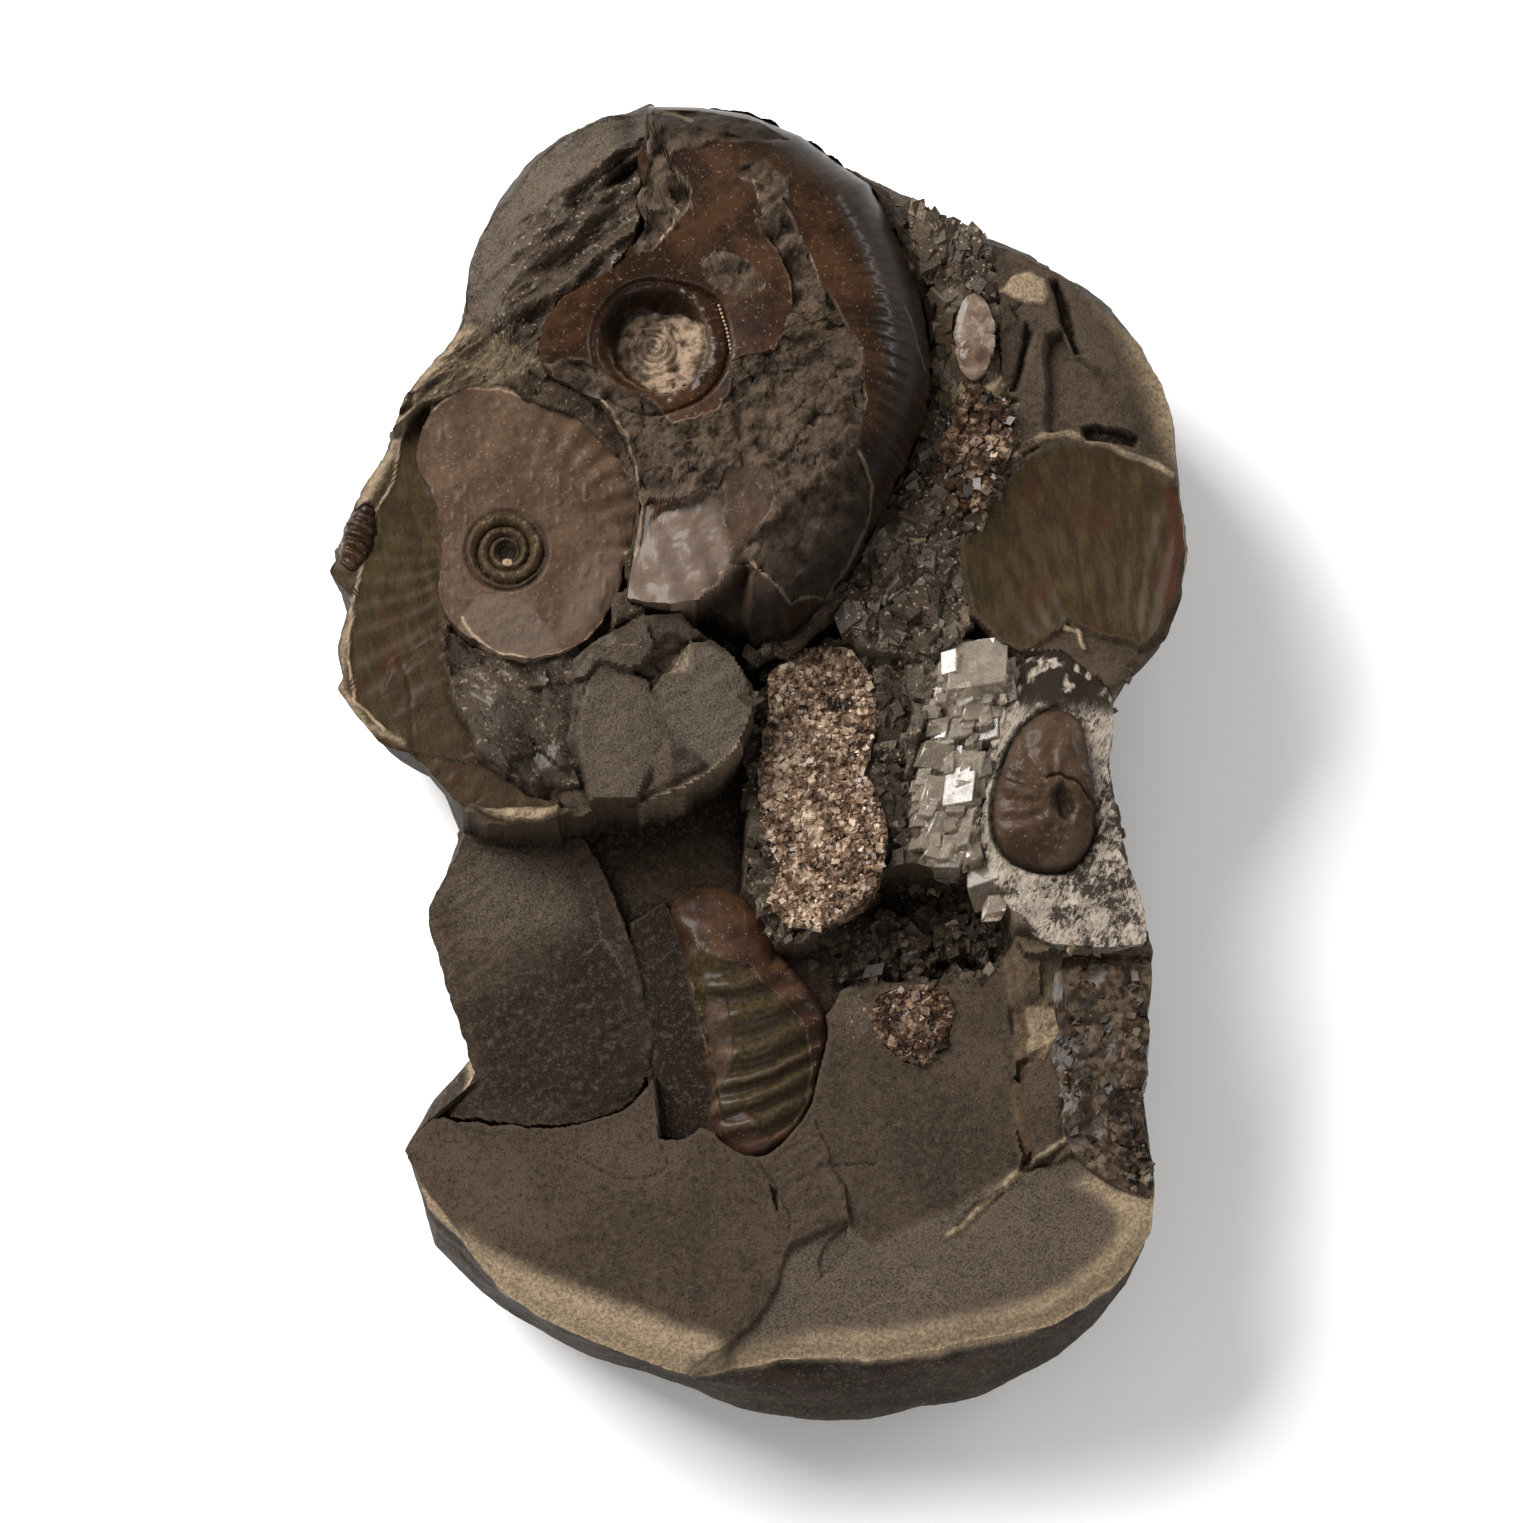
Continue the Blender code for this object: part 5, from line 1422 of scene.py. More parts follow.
    def round_the_rim(self) -> None:
        """Rounds the face over near its edge: a little everywhere, more at the front and at two bends."""
        corners = on_stone(FACE_EDGE, 0.0)
        far = np.full(self.x.shape, 1e9)
        for start, end in zip(corners, np.roll(corners, -1, axis=0)):
            far = np.minimum(far, distance_to_edge(self.x, self.y, start, end))
        front = ease(self.y, *self.rows(1200, 1260))
        right = ease(self.x, *self.columns(1010, 1090)) * ease(self.y, *self.rows(490, 440))
        upper_left = ease(self.x, *self.columns(740, 660)) * ease(self.y, *self.rows(330, 300))
        plain = (1 - front) * (1 - right) * (1 - upper_left)
        bends = ((front, 2.4, 2.6), (right, 5.5, 8.0), (upper_left, 7.0, 7.0), (plain, 0.8, 1.6))
        for share, drop, reach in bends:
            self.height -= share * drop * np.exp(-(far / reach) ** 2)

    def make_room(self) -> None:
        """Sinks the rock under every fossil and crystal mass, which stands in the hole."""
        for inset in INSETS:
            inside = Outline(inset.pixels, inset.edge).depth(self.x, self.y)
            share = ease(inside, 0.1, 1.0)
            floor = np.minimum(self.height, inset.edge - self.room)
            self.height = self.height * (1 - share) + floor * share


@dataclass(frozen=True)
class Inset:
    """Where a fossil or crystal mass is let into the rock."""

    pixels: Pixels
    middle: tuple[float, float]
    edge: float
    foot: float


LARGE_RIM = (
    (652, 104, 66), (700, 106, 65), (748, 114, 64), (802, 135, 64), (843, 165, 64), (870, 184, 63),
    (889, 218, 63), (903, 248, 63), (914, 279, 63), (922, 300, 63), (927, 322, 63), (931, 355, 63),
    (932, 388, 63), (928, 412, 63), (921, 434, 63), (908, 465, 63), (893, 493, 63), (875, 530, 63),
    (855, 567, 63), (830, 595, 64), (811, 617, 64), (791, 636, 65), (753, 641, 68),
)
LARGE = Inset(LARGE_RIM + (
    (745, 625, 72), (700, 604, 77), (648, 606, 77), (628, 600, 77), (634, 560, 77), (641, 510, 77),
    (634, 465, 77), (622, 430, 77), (602, 402, 78), (575, 388, 79), (548, 376, 80), (538, 348, 80),
    (548, 320, 81), (562, 300, 81), (600, 280, 81), (625, 260, 81), (640, 236, 81), (647, 219, 81),
    (635, 201, 80), (645, 183, 80), (637, 164, 78), (652, 142, 75), (645, 121, 71),
), (770, 370), 64, 50)
LEFT = Inset((
    (432, 411), (446, 398), (463, 389), (498, 386), (514, 388), (524, 400), (550, 409), (575, 416),
    (603, 442), (623, 462), (636, 493), (639, 516), (634, 544), (622, 567), (620, 588), (603, 620),
    (583, 643), (560, 653), (532, 659), (504, 656), (478, 642), (458, 630), (447, 615), (440, 595),
    (442, 569), (444, 544), (442, 526), (439, 508), (430, 488), (419, 470), (416, 452), (422, 432),
), (520, 530), 74, 62)
SMALL = Inset((
    (993, 815), (995, 795), (999, 778), (1005, 762), (1012, 745), (1022, 729), (1035, 718), (1046, 712),
    (1058, 710), (1071, 714), (1080, 722), (1085, 742), (1088, 764), (1092, 778), (1094, 795), (1095, 815),
    (1093, 832), (1088, 846), (1080, 858), (1068, 867), (1056, 871), (1043, 871), (1028, 868), (1013, 862),
    (1003, 852), (996, 838),
), (1046, 792), 61, 50)
RIBBED = Inset((
    (670, 911), (673, 902), (679, 896), (689, 890), (701, 887), (715, 886), (729, 889), (742, 895),
    (752, 905), (762, 918), (770, 932), (777, 952), (791, 968), (808, 988), (820, 1005), (828, 1023),
    (829, 1038), (826, 1052), (820, 1074), (813, 1105), (803, 1123), (783, 1146), (771, 1156), (760, 1160),
    (745, 1158), (734, 1153), (719, 1142), (709, 1128), (710, 1105), (712, 1088), (708, 1060), (701, 1023),
    (695, 1000), (688, 972), (682, 950), (678, 934),
), (752, 1020), 46.5, 38)
TINY = Inset((
    (341, 562), (342, 545), (345, 530), (352, 514), (360, 505), (368, 502), (375, 508), (377, 522),
    (375, 540), (370, 555), (362, 566), (352, 572),
), (360, 537), 68, 62)
CENTRAL = Inset((
    (768, 690), (772, 672), (785, 660), (803, 650), (825, 646), (849, 649), (869, 676), (876, 715),
    (872, 743), (862, 773), (880, 804), (887, 830), (882, 868), (869, 895), (839, 917), (813, 930),
    (788, 925), (766, 900), (783, 868), (762, 830), (760, 791), (762, 753), (770, 715),
), (820, 785), 56, 42)
LOWER = Inset((
    (874, 1003), (882, 994), (905, 988), (930, 986), (948, 992), (954, 1010), (950, 1030), (942, 1050),
    (925, 1064), (905, 1062), (890, 1050), (878, 1038), (872, 1020),
), (912, 1025), 50.5, 42)
UPPER = Inset((
    (960, 397), (975, 391), (992, 391), (1008, 400), (1016, 425), (1012, 445), (1004, 465), (995, 492),
    (978, 510), (957, 506), (942, 482), (940, 462), (946, 435), (950, 412),
), (978, 448), 62, 50)
OVAL = Inset((
    (957, 345), (957, 325), (961, 308), (967, 297), (974, 293), (984, 299), (991, 313), (994, 335),
    (991, 357), (983, 375), (973, 382), (964, 375), (959, 362),
), (975, 338), 63, 52)
BED = Inset((
    (1026, 660), (1045, 652), (1064, 652), (1090, 672), (1112, 697), (1110, 743), (1106, 766), (1110, 794),
    (1118, 850), (1133, 880), (1144, 915), (1146, 943), (1090, 946), (1045, 942), (1012, 910), (990, 875),
    (984, 850), (986, 800), (990, 760), (1002, 715),
), (1052, 800), 58, 42)
CLEAR = Inset((
    (912, 775), (917, 745), (930, 705), (943, 668), (952, 650), (985, 646), (1008, 660), (1008, 700),
    (992, 718), (984, 745), (985, 775), (985, 812), (984, 850), (965, 870), (935, 868), (922, 840),
    (914, 805),
), (958, 765), 58, 44)
DARK = Inset((
    (1060, 955), (1100, 950), (1150, 955), (1146, 1010), (1144, 1050), (1141, 1085), (1140, 1110),
    (1146, 1140), (1152, 1165), (1150, 1195), (1108, 1180), (1072, 1150), (1064, 1100), (1060, 1030),
), (1104, 1070), 53, 38)
INSETS = (LARGE, LEFT, SMALL, RIBBED, TINY, CENTRAL, LOWER, UPPER, OVAL, BED, CLEAR, DARK)


@dataclass
class NoduleRock:
    """The stone itself: a fine broken face in two pieces, and the rounded back and sides in a third."""

    columns: int = 330
    rows: int = 500
    rings: int = 30
    patch: float = 0.66
    centre: tuple[float, float, float] = (790, 840, 55)
    half_sides: tuple[float, float] = (92.0, 150.0)

    def plan(self) -> None:
        """Spreads a grid over the face: a square carried to a disc, then stretched to the outline."""
        self.middle = np.array(PICTURE.place(*self.centre))
        across, up = np.meshgrid(np.linspace(-1, 1, self.columns), np.linspace(-1, 1, self.rows))
        disc_x = across * np.sqrt(1 - up ** 2 / 2)
        disc_y = up * np.sqrt(1 - across ** 2 / 2)
        half = self.half_sides
        px, py = disc_x * half[0], disc_y * half[1]
        self.bearing = np.arctan2(py, px)
        even = half[0] * half[1] / np.hypot(half[1] * np.cos(self.bearing), half[0] * np.sin(self.bearing))
        turns = np.radians(np.linspace(-14, 14, 15))
        broad = sum(self.edge_reach(self.bearing + turn) for turn in turns) / len(turns)
        share = np.hypot(px, py) / even
        exact = self.edge_reach(self.bearing)
        stretch = (broad + (exact - broad) * ease(share, 0.55, 1.0)) / even
        self.x = self.middle[0] + px * stretch
        self.y = self.middle[1] + py * stretch

    def edge_reach(self, bearing: Array) -> Array:
        """Reads the face's edge, each point of it at its own height.

        Args:
            bearing: Directions in radians.

        Returns:
            Its distance from the middle in mm.
        """
        corners = on_stone(FACE_EDGE, 0.0)
        ragged = 0.6 * rough_noise(np.cos(bearing) * 100, np.sin(bearing) * 100, 0.0, 2.8, 61, 3)
        return reach_at(corners, self.middle, bearing)[0] + ragged

    def widest(self, bearing: Array) -> list[Array]:
        """Reads the widest line: low at the front, higher at the back.

        Args:
            bearing: Directions in radians.

        Returns:
            Its reach and its height in mm.
        """
        line = np.array(WIDEST, float)
        heights = np.interp(line[:, 1], (100, 1420), (38, 22))
        corners = np.stack(PICTURE.place(line[:, 0], line[:, 1], heights), axis=1)
        return reach_at(corners, self.middle, bearing, heights)

    def build_face(self) -> list[Any]:
        """The broken face.

        Returns:
            Its upper and its front piece.
        """
        face = RockFace(self.x, self.y)
        self.z = face.height
        colours = self.tones(face)
        half = self.rows // 2
        pieces = []
        for name, low, high in (("rock_front_face", 0, half + 1), ("rock_upper_face", half, self.rows)):
            part = slice(low, high)
            points = np.stack([a[part].ravel() for a in (self.x, self.y, self.z)], axis=1)
            numbers = slice(low * self.columns, high * self.columns)
            own = {label: values[numbers] for label, values in colours.items()}
            pieces.append(write_mesh(name, points, grid_faces(high - low, self.columns, False), own, 40))
        return pieces

    def tones(self, face: RockFace) -> dict[str, Array]:
        """Works out the face's tones: worn edges stand above the mean round them, and hollows that lie below
        it get painted shade.

        Args:
            face: The face.

        Returns:
            The mesh attributes.
        """
        proud = self.z - spread(self.z, 2)
        broad = self.z - spread(self.z, 9)
        zones = face.zones
        # Painted shade: darker where the face lies below the mean round it, in small and broad hollows.
        dark = zones["dark"] + 0.35 * ease(-proud, 0.05, 0.6) + 0.42 * ease(-broad, 0.3, 3.0)
        stain = ease(rough_noise(self.x, self.y, 0.0, 7.0, 62), 0.25, 0.5)
        rust = zones["rust"] + 0.6 * zones["olive"] * stain
        return {
            "zones": stack_colours(zones["rind"], zones["olive"], zones["cream"]),
            "wear": stack_colours(ease(proud, 0.12, 0.7), zones["gloss"], dark),
            "stains": stack_colours(rust, zones["pale"], zones["flecks"]),
        }

    def rim_numbers(self) -> Array:
        """Lists the vertices round the edge of the face grid, counter-clockwise from its front left corner.

        Returns:
            Their numbers.
        """
        numbers = np.arange(self.rows * self.columns).reshape(self.rows, self.columns)
        return np.concatenate([
            numbers[0, :-1], numbers[:-1, -1], numbers[-1, :0:-1], numbers[:0:-1, 0],
        ])

    def build_back(self) -> Any:
        """Builds the sides and the underside.

        They run from the face's edge out to the widest line, and then in along a quarter ellipse to the flat
        patch that the stone lies on.

        Returns:
            The piece.
        """
        rim = self.rim_numbers()
        top = np.stack([self.x.ravel()[rim], self.y.ravel()[rim], self.z.ravel()[rim]], axis=1)
        bearing = np.arctan2(top[:, 1] - self.middle[1], top[:, 0] - self.middle[0])
        first = np.hypot(top[:, 0] - self.middle[0], top[:, 1] - self.middle[1])
        wide, wide_height = self.widest(bearing)
        upper = np.linspace(0, 1, self.rings // 2)[:, None]
        lower = np.linspace(0, 1, self.rings - self.rings // 2 + 1)[1:, None]
        turn = lower * math.pi / 2
        reach = np.vstack([
            first + (wide - first) * np.sin(upper * math.pi / 2),
            wide * (self.patch + (1 - self.patch) * np.cos(turn)),
        ])
        height = np.vstack([top[:, 2] + (wide_height - top[:, 2]) * upper, wide_height * (1 - np.sin(turn))])
        x = self.middle[0] + reach * np.cos(bearing)
        y = self.middle[1] + reach * np.sin(bearing)
        free = np.vstack([ease(upper, 0.0, 0.10) + 0 * wide, 1 - ease(lower, 0.75, 1.0) + 0 * wide])
        side = rough_noise(x, y, height * 1.6, 9.0, 71, 5)
        streaks = crests(x / 4, y / 4, height, 3.6, 74, 4)
        facing = np.sin(bearing) ** 2
        broken = facing * facets(x, height * 1.3, 7.0, 1.2, 73)[0]
        broken = broken + (1 - facing) * facets(y, height * 1.3, 7.0, 1.2, 75)[0]
        above = ease(height, 30.0, 46.0)
        push = free * (0.6 * side + (0.35 + 0.35 * above) * streaks + above * 0.8 * broken - 0.7)
        x = x + push * np.cos(bearing)
        y = y + push * np.sin(bearing)
        height = np.maximum(height + 0.25 * free * side, 0.0)
        count = len(rim)
        points = np.vstack([
            np.stack([x.ravel(), y.ravel(), height.ravel()], axis=1), [[self.middle[0], self.middle[1], 0.0]],
        ])
        last = np.arange((len(reach) - 1) * count, len(reach) * count)
        faces = np.vstack([
            grid_faces(len(reach), count, True)[:, ::-1], fan_faces(last, len(points) - 1, False),
        ])
        down = height[:1] - height
        front = ease(-np.sin(bearing), 0.2, 0.6)
        right = ease(np.sin(bearing), 0.15, 0.35) * ease(np.cos(bearing), 0.3, 0.7)
        rind = np.maximum(front, right) * ease(down, 2.6, 0.6)
        # Painted shade: the sides and underside are dark all over because they face away from the light,
        # darkest in a band under the front rim, and lighter along the streaks.
        band = ease(down + 1.2 * side, 1.0, 2.2) * ease(down + 1.2 * side, 5.5, 3.0)
        dark = 0.78 + 0.22 * front * band - 0.35 * ease(streaks, 0.1, 0.7)
        zones = stack_colours(rind, 0 * down, 0 * down)
        wear = stack_colours(0.5 * ease(streaks, 0.3, 0.8), 0.2 + 0 * down, dark)
        stains = stack_colours(0.5 * ease(side, 0.15, 0.5), 0 * down, 0.2 + 0 * down)
        colours = {"zones": zones, "wear": wear, "stains": stains}
        tip = np.zeros((1, 3))
        own = {label: np.vstack([values, tip]) for label, values in colours.items()}
        return write_mesh("rock_back", points, faces, own, 50)

    def make(self) -> list[Any]:
        """Builds and dresses the stone.

        Returns:
            Its pieces.
        """
        self.plan()
        pieces = self.build_face()
        pieces.append(self.build_back())
        pieces.append(scatter_chips())
        material = ROCK.material()
        for piece in pieces:
            dress(piece, material, "mudstone", "matrix_rock")
        return pieces


@dataclass(frozen=True)
class ChipField:
    """Angular chips of rock that stand half sunk in the broken face."""

    pixels: Pixels
    count: int
    sides: Colour
    turn: float
    tumble: float
    seed: int
    level: float = 62.0

    def draw(self) -> tuple[Array, Array, Array, dict[str, Array]]:
        """Random places in the field, each on the rock, with its sides, turn and tones.

        Returns:
            Centres, sides, turns and the tones of the rock there.
        """
        rng = np.random.default_rng(self.seed)
        outline = Outline(self.pixels, self.level)
        corners = outline.corners()
        places = rng.uniform(corners.min(axis=0), corners.max(axis=0), (self.count * 4, 2))
        places = places[outline.depth(places[:, 0], places[:, 1]) > 0.3][: self.count]
        face = RockFace(places[:, 0], places[:, 1])
        count = len(places)
        size = rng.uniform(0.35, 1.0, (count, 1)) ** 1.5
        sides = np.array(self.sides) * size * rng.uniform(0.7, 1.3, (count, 3))
        yaw = (math.radians(self.turn) + rng.normal(0.0, 0.35 + self.tumble, count)) / 2
        tilt = rng.normal(0.0, self.tumble, (count, 2)) / 2
        spin = np.stack([np.cos(yaw), tilt[:, 0], tilt[:, 1], np.sin(yaw)], axis=1)
        centres = np.stack([places[:, 0], places[:, 1], face.height - 0.32 * sides[:, 2]], axis=1)
        lot = rng.random(count)
        # Each chip takes the face's dark tone, including the painted shade of its slab, shifted at random.
        tones = dict(
            face.zones, dark=np.clip(face.zones["dark"] + rng.uniform(-0.55, 0.35, count), 0, 1),
            cream=np.where(lot > 0.95, 1.0, face.zones["cream"]),
            pale=np.where(lot < 0.25, 1.4 * (1 - face.zones["dark"]), face.zones["pale"]),
            rust=np.where((lot > 0.30) & (lot < 0.42), 0.3, face.zones["rust"]),
        )
        return centres, sides, spin, tones


CHIP_FIELDS = (
    ChipField((
        (895, 195), (985, 235), (998, 300), (998, 385), (1015, 400), (1020, 440), (1000, 500), (958, 545),
        (972, 625), (930, 655), (865, 645), (838, 615), (882, 520), (925, 440), (935, 330), (925, 290),
    ), 900, (5.0, 3.6, 3.4), 60.0, 0.30, 701),
    ChipField((
        (752, 650), (860, 645), (905, 660), (912, 740), (905, 870), (1000, 880), (1012, 940), (990, 985),
        (850, 992), (816, 960), (770, 945), (748, 850), (748, 720),
    ), 700, (3.8, 3.0, 2.4), 20.0, 0.4, 703, 50.0),
    ChipField((
        (1000, 648), (1044, 648), (1110, 695), (1130, 660), (1150, 655), (1118, 700), (1112, 790),
        (1124, 850),
        (1144, 900), (1150, 950), (1060, 952), (1010, 940), (985, 880), (1000, 870), (1030, 920),
    ), 260, (2.4, 1.8, 1.4), 60.0, 0.5, 704, 58.0),
)


def scatter_chips() -> Any:
    """Draws the chips of every field.

    Returns:
        The chips, joined.
    """
    drawn = [chips.draw() for chips in CHIP_FIELDS]
    centres, sides, spin = (np.vstack([part[k] for part in drawn]) for k in range(3))
    corners, faces = rhombs(centres, sides, spin)
    tone = {name: np.repeat(np.concatenate([part[3][name] for part in drawn]), 8) for name in vars(Tones())}
    zones = {
        "zones": stack_colours(tone["rind"], tone["olive"] * 0.6, tone["cream"] * 0.5),
        "wear": stack_colours(0 * tone["rind"], tone["gloss"], tone["dark"]),
        "stains": stack_colours(tone["rust"], tone["pale"] * 0.5, tone["flecks"]),
    }
    return write_mesh("rock_chips", corners, faces, zones, 20)


def dress(piece: Any, material: Any, slot: str, *nodes: str) -> None:
    """Gives a piece its material and body, hides the CAD parts that it stands for, and logs it with its slot.

    Args:
        piece: The object.
        material: Its material.
        slot: The record's material slot.
        nodes: The CAD nodes that it replaces.
    """
    piece.data.materials.append(material)
    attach(piece, BODY)
    if nodes:
        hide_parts(*nodes)
    triangles = sum(len(polygon.vertices) - 2 for polygon in piece.data.polygons)
    LOG.info("%s: %d triangles, slot %s, for %s", piece.name, triangles, slot, ", ".join(nodes))


# Fossils


@dataclass(frozen=True)
class Mark:
    """A patch of a shell: how far it is lifted, its tones, and a cream line along its border."""

    pixels: Pixels
    lift: float = 0.0
    soft: tuple[float, float] = (-0.25, 0.35)
    rim: float = 0.0
    tones: tuple[tuple[str, float], ...] = ()


@dataclass
class Skin:
    """The height and tones of a shell's top while marks are laid on it."""

    x: Array
    y: Array
    height: Array
    level: float
    seed: int
    tones: dict[str, Array] = field(init=False)

    def __post_init__(self) -> None:
        """Starts with plain shell, and with a jagged copy of the plan for the marks' borders."""
        self.tones = {name: np.zeros(self.x.shape) for name in ("bare", "cream", "olive", "pearl", "dark")}
        self.jagged_x = self.x + 0.7 * rough_noise(self.x, self.y, 0.0, 3.2, self.seed)
        self.jagged_y = self.y + 0.7 * rough_noise(self.x, self.y, 0.0, 3.2, self.seed + 1)

    def mark(self, mark: Mark) -> Array:
        """Lays one mark.

        Args:
            mark: The mark.

        Returns:
            Its share of each point.
        """
        depth = Outline(mark.pixels, self.level).depth(self.jagged_x, self.jagged_y)
        share = ease(depth, *mark.soft)
        self.height = self.height + mark.lift * share
        for name, value in mark.tones:
            self.tones[name] = self.tones[name] * (1 - share) + value * share
        if mark.rim:
            broken = ease(rough_noise(self.x, self.y, 0.0, 8.0, self.seed + 2), -0.15, 0.35)
            self.raise_tone("cream", mark.rim * (0.25 + 0.75 * broken) * np.exp(-((depth + 0.1) / 0.32) ** 2))
        return share

    def line(self, pixels: Pixels, width: float, lift: float, **tones: float) -> None:
        """Lays a line.

        Args:
            pixels: The line's corners on the photograph.
            width: Its half width in mm.
            lift: How far it stands up in mm.
            tones: How strong each of its tones is.
        """
        away = distance_to_line(pixels, self.level, self.jagged_x, self.jagged_y)
        share = np.exp(-(away / width) ** 2)
        self.height = self.height + lift * share
        for name, value in tones.items():
            self.raise_tone(name, value * share)

    def raise_tone(self, name: str, value: Array) -> None:
        """Keeps the stronger of a tone and the new value."""
        self.tones[name] = np.maximum(self.tones[name], value)

    def colours(self) -> dict[str, Array]:
        """Works out the tones, with worn edges where the surface stands above the mean round it, and painted
        shade where bare rock lies below it.

        Returns:
            The mesh attributes.
        """
        edge = ease(self.height - spread(self.height, 2), 0.06, 0.5)
        # Painted shade: bare rock is darkened where it lies below the mean round it.
        sunk = ease(spread(self.height, 4) - self.height, 0.1, 0.8)
        self.raise_tone("dark", 0.7 * self.tones["bare"] * sunk)
        tones = self.tones
        return {
            "zones": stack_colours(tones["bare"], tones["cream"], tones["olive"]),
            "wear": stack_colours(edge, tones["pearl"], tones["dark"]),
        }


@dataclass
class InsetPiece:
    """A closed piece round a middle point: a fine top, a broken side wall and a plain underside."""

    name: str
    inset: Inset
    spokes: int
    rings: int
    ragged: float = 0.35
    wall_rings: int = 6
    seed: int = 1

    def lay_out(self) -> None:
        """Spreads rings from the middle to the outline, closer together at the rim."""
        self.middle = np.array(PICTURE.place(*self.inset.middle, self.inset.edge))
        self.bearing = np.arange(self.spokes) * math.tau / self.spokes
        corners = Outline(self.inset.pixels, self.inset.edge).corners()
        reach = reach_at(corners, self.middle, self.bearing)[0]
        wave = np.cos(self.bearing) * 60, np.sin(self.bearing) * 60
        reach = reach + self.ragged * rough_noise(wave[0], wave[1], 0.0, 3.0, self.seed)
        share = np.linspace(0.004, 1, self.rings)[:, None] ** 0.9
        self.far = share * reach
        self.share = share + 0 * reach
        self.x = self.middle[0] + self.far * np.cos(self.bearing)
        self.y = self.middle[1] + self.far * np.sin(self.bearing)

    def hub(self, column: float, row: float, height: float) -> tuple[Array, Array]:
        """Distance in mm and bearing of each point from a place on the photograph."""
        hub_x, hub_y = PICTURE.place(column, row, height)
        return np.hypot(self.x - hub_x, self.y - hub_y), np.arctan2(self.y - hub_y, self.x - hub_x)

    def skin(self, height: Array, level: float) -> Skin:
        """Starts a shell's skin over this piece's plan."""
        return Skin(self.x, self.y, height, level, self.seed + 40)

    def top(self) -> tuple[Array, dict[str, Array]]:
        """Heights in mm and the attributes of the top. Each kind of piece has its own."""
        raise NotImplementedError

    def build(self) -> Any:
        """Builds the top, the side wall and the underside.

        Returns:
            The closed piece.
        """
        self.lay_out()
        height, colours = self.top()
        drop = np.linspace(0, 1, self.wall_rings + 1)[1:, None]
        wall_height = height[-1] + (self.inset.foot - height[-1]) * drop
        chips = self.ragged * rough_noise(self.x[-1], self.y[-1], wall_height, 2.5, self.seed + 1)
        wall_x = self.x[-1] + chips * np.cos(self.bearing) * (drop < 1)
        wall_y = self.y[-1] + chips * np.sin(self.bearing) * (drop < 1)
        x, y, z = np.vstack([self.x, wall_x]), np.vstack([self.y, wall_y]), np.vstack([height, wall_height])
        points = np.stack([x.ravel(), y.ravel(), z.ravel()], axis=1)
        count = len(points)
        points = np.vstack([
            points, [self.middle[0], self.middle[1], height[0].mean()],
            [self.middle[0], self.middle[1], self.inset.foot],
        ])
        first, last = np.arange(self.spokes), np.arange(count - self.spokes, count)
        faces = np.vstack([
            grid_faces(len(x), self.spokes, True)[:, ::-1],
            fan_faces(first, count, True), fan_faces(last, count + 1, False),
        ])
        zones = {}
        for label, values in colours.items():
            rows = values.reshape(self.rings, self.spokes, 3)
            walls = np.repeat(rows[-1:], self.wall_rings, axis=0)
            ends = np.stack([rows[0].mean(axis=0), rows[-1].mean(axis=0)])
            zones[label] = np.vstack([rows.reshape(-1, 3), walls.reshape(-1, 3), ends])
        return write_mesh(self.name, points, faces, zones, 45)


BARE = (("bare", 1.0),)
FLANK_BREAKS = (
    Mark((
        (753, 182), (783, 202), (800, 238), (813, 269), (822, 288), (842, 318), (860, 350), (864, 378),
        (866, 401), (858, 452), (873, 480), (868, 508), (855, 539), (845, 557), (826, 580), (791, 595),
        (753, 564), (727, 567), (700, 560), (690, 500), (650, 500), (640, 508), (636, 470), (622, 432),
        (602, 404), (575, 390), (546, 368), (562, 360), (584, 362), (607, 373), (632, 388), (652, 400),
        (673, 423), (694, 419), (717, 409), (730, 391), (732, 361), (747, 357), (773, 352), (783, 333),
        (793, 303), (790, 277), (776, 250), (758, 225), (764, 216),
    ), -0.9, (-0.12, 0.25), 0.5, BARE),
    Mark(((652, 104), (700, 104), (760, 116), (790, 132), (760, 140), (722, 140), (694, 146), (672, 150),
          (650, 160)), -0.7, rim=0.3, tones=BARE),
    Mark(((640, 196), (654, 150), (672, 150), (668, 172), (690, 192), (686, 214), (664, 236), (652, 250),
          (636, 252), (634, 222)), -0.8, rim=0.5, tones=BARE),
    Mark(((700, 262), (724, 252), (748, 262), (764, 286), (748, 300), (722, 292), (706, 282)),
         -0.12, tones=(("bare", 0.65),)),
    Mark(((818, 332), (846, 330), (862, 346), (866, 368), (842, 358), (822, 350)),
         -0.10, tones=(("bare", 0.6),)),
    Mark(((735, 172), (762, 160), (786, 180), (790, 204), (768, 196), (748, 186)),
         -0.12, tones=(("bare", 0.55),)),
    Mark(((583, 396), (600, 392), (610, 404), (604, 418), (590, 420), (582, 408)),
         0.7, rim=0.4, tones=(("bare", 0.3), ("pearl", 0.5))),
    Mark(((723, 474), (752, 466), (772, 472), (776, 500), (762, 530), (742, 552), (728, 556), (725, 520)),
         0.35, tones=(("bare", 0.25), ("pearl", 0.12))),
    Mark(((789, 457), (804, 434), (826, 412), (842, 398), (848, 416), (834, 445), (818, 458), (800, 466)),
         1.5, (-0.5, 1.2), 0.3, (("bare", 0.7), ("pearl", 0.1))),
    Mark(((756, 468), (768, 446), (790, 420), (816, 398), (812, 418), (792, 448), (772, 470)),
         1.1, (-0.5, 1.2), 0.15, (("bare", 0.75),)),
    # Painted shade: this low part of the flank near the rim is darkened; its olive is the shell's own.
    Mark(((762, 528), (800, 512), (845, 505), (868, 508), (855, 539), (842, 560), (822, 580), (791, 592),
          (770, 574), (756, 560)), -0.5, (-0.4, 0.6), tones=(("bare", 0.75), ("dark", 0.45), ("olive", 0.5))),
)
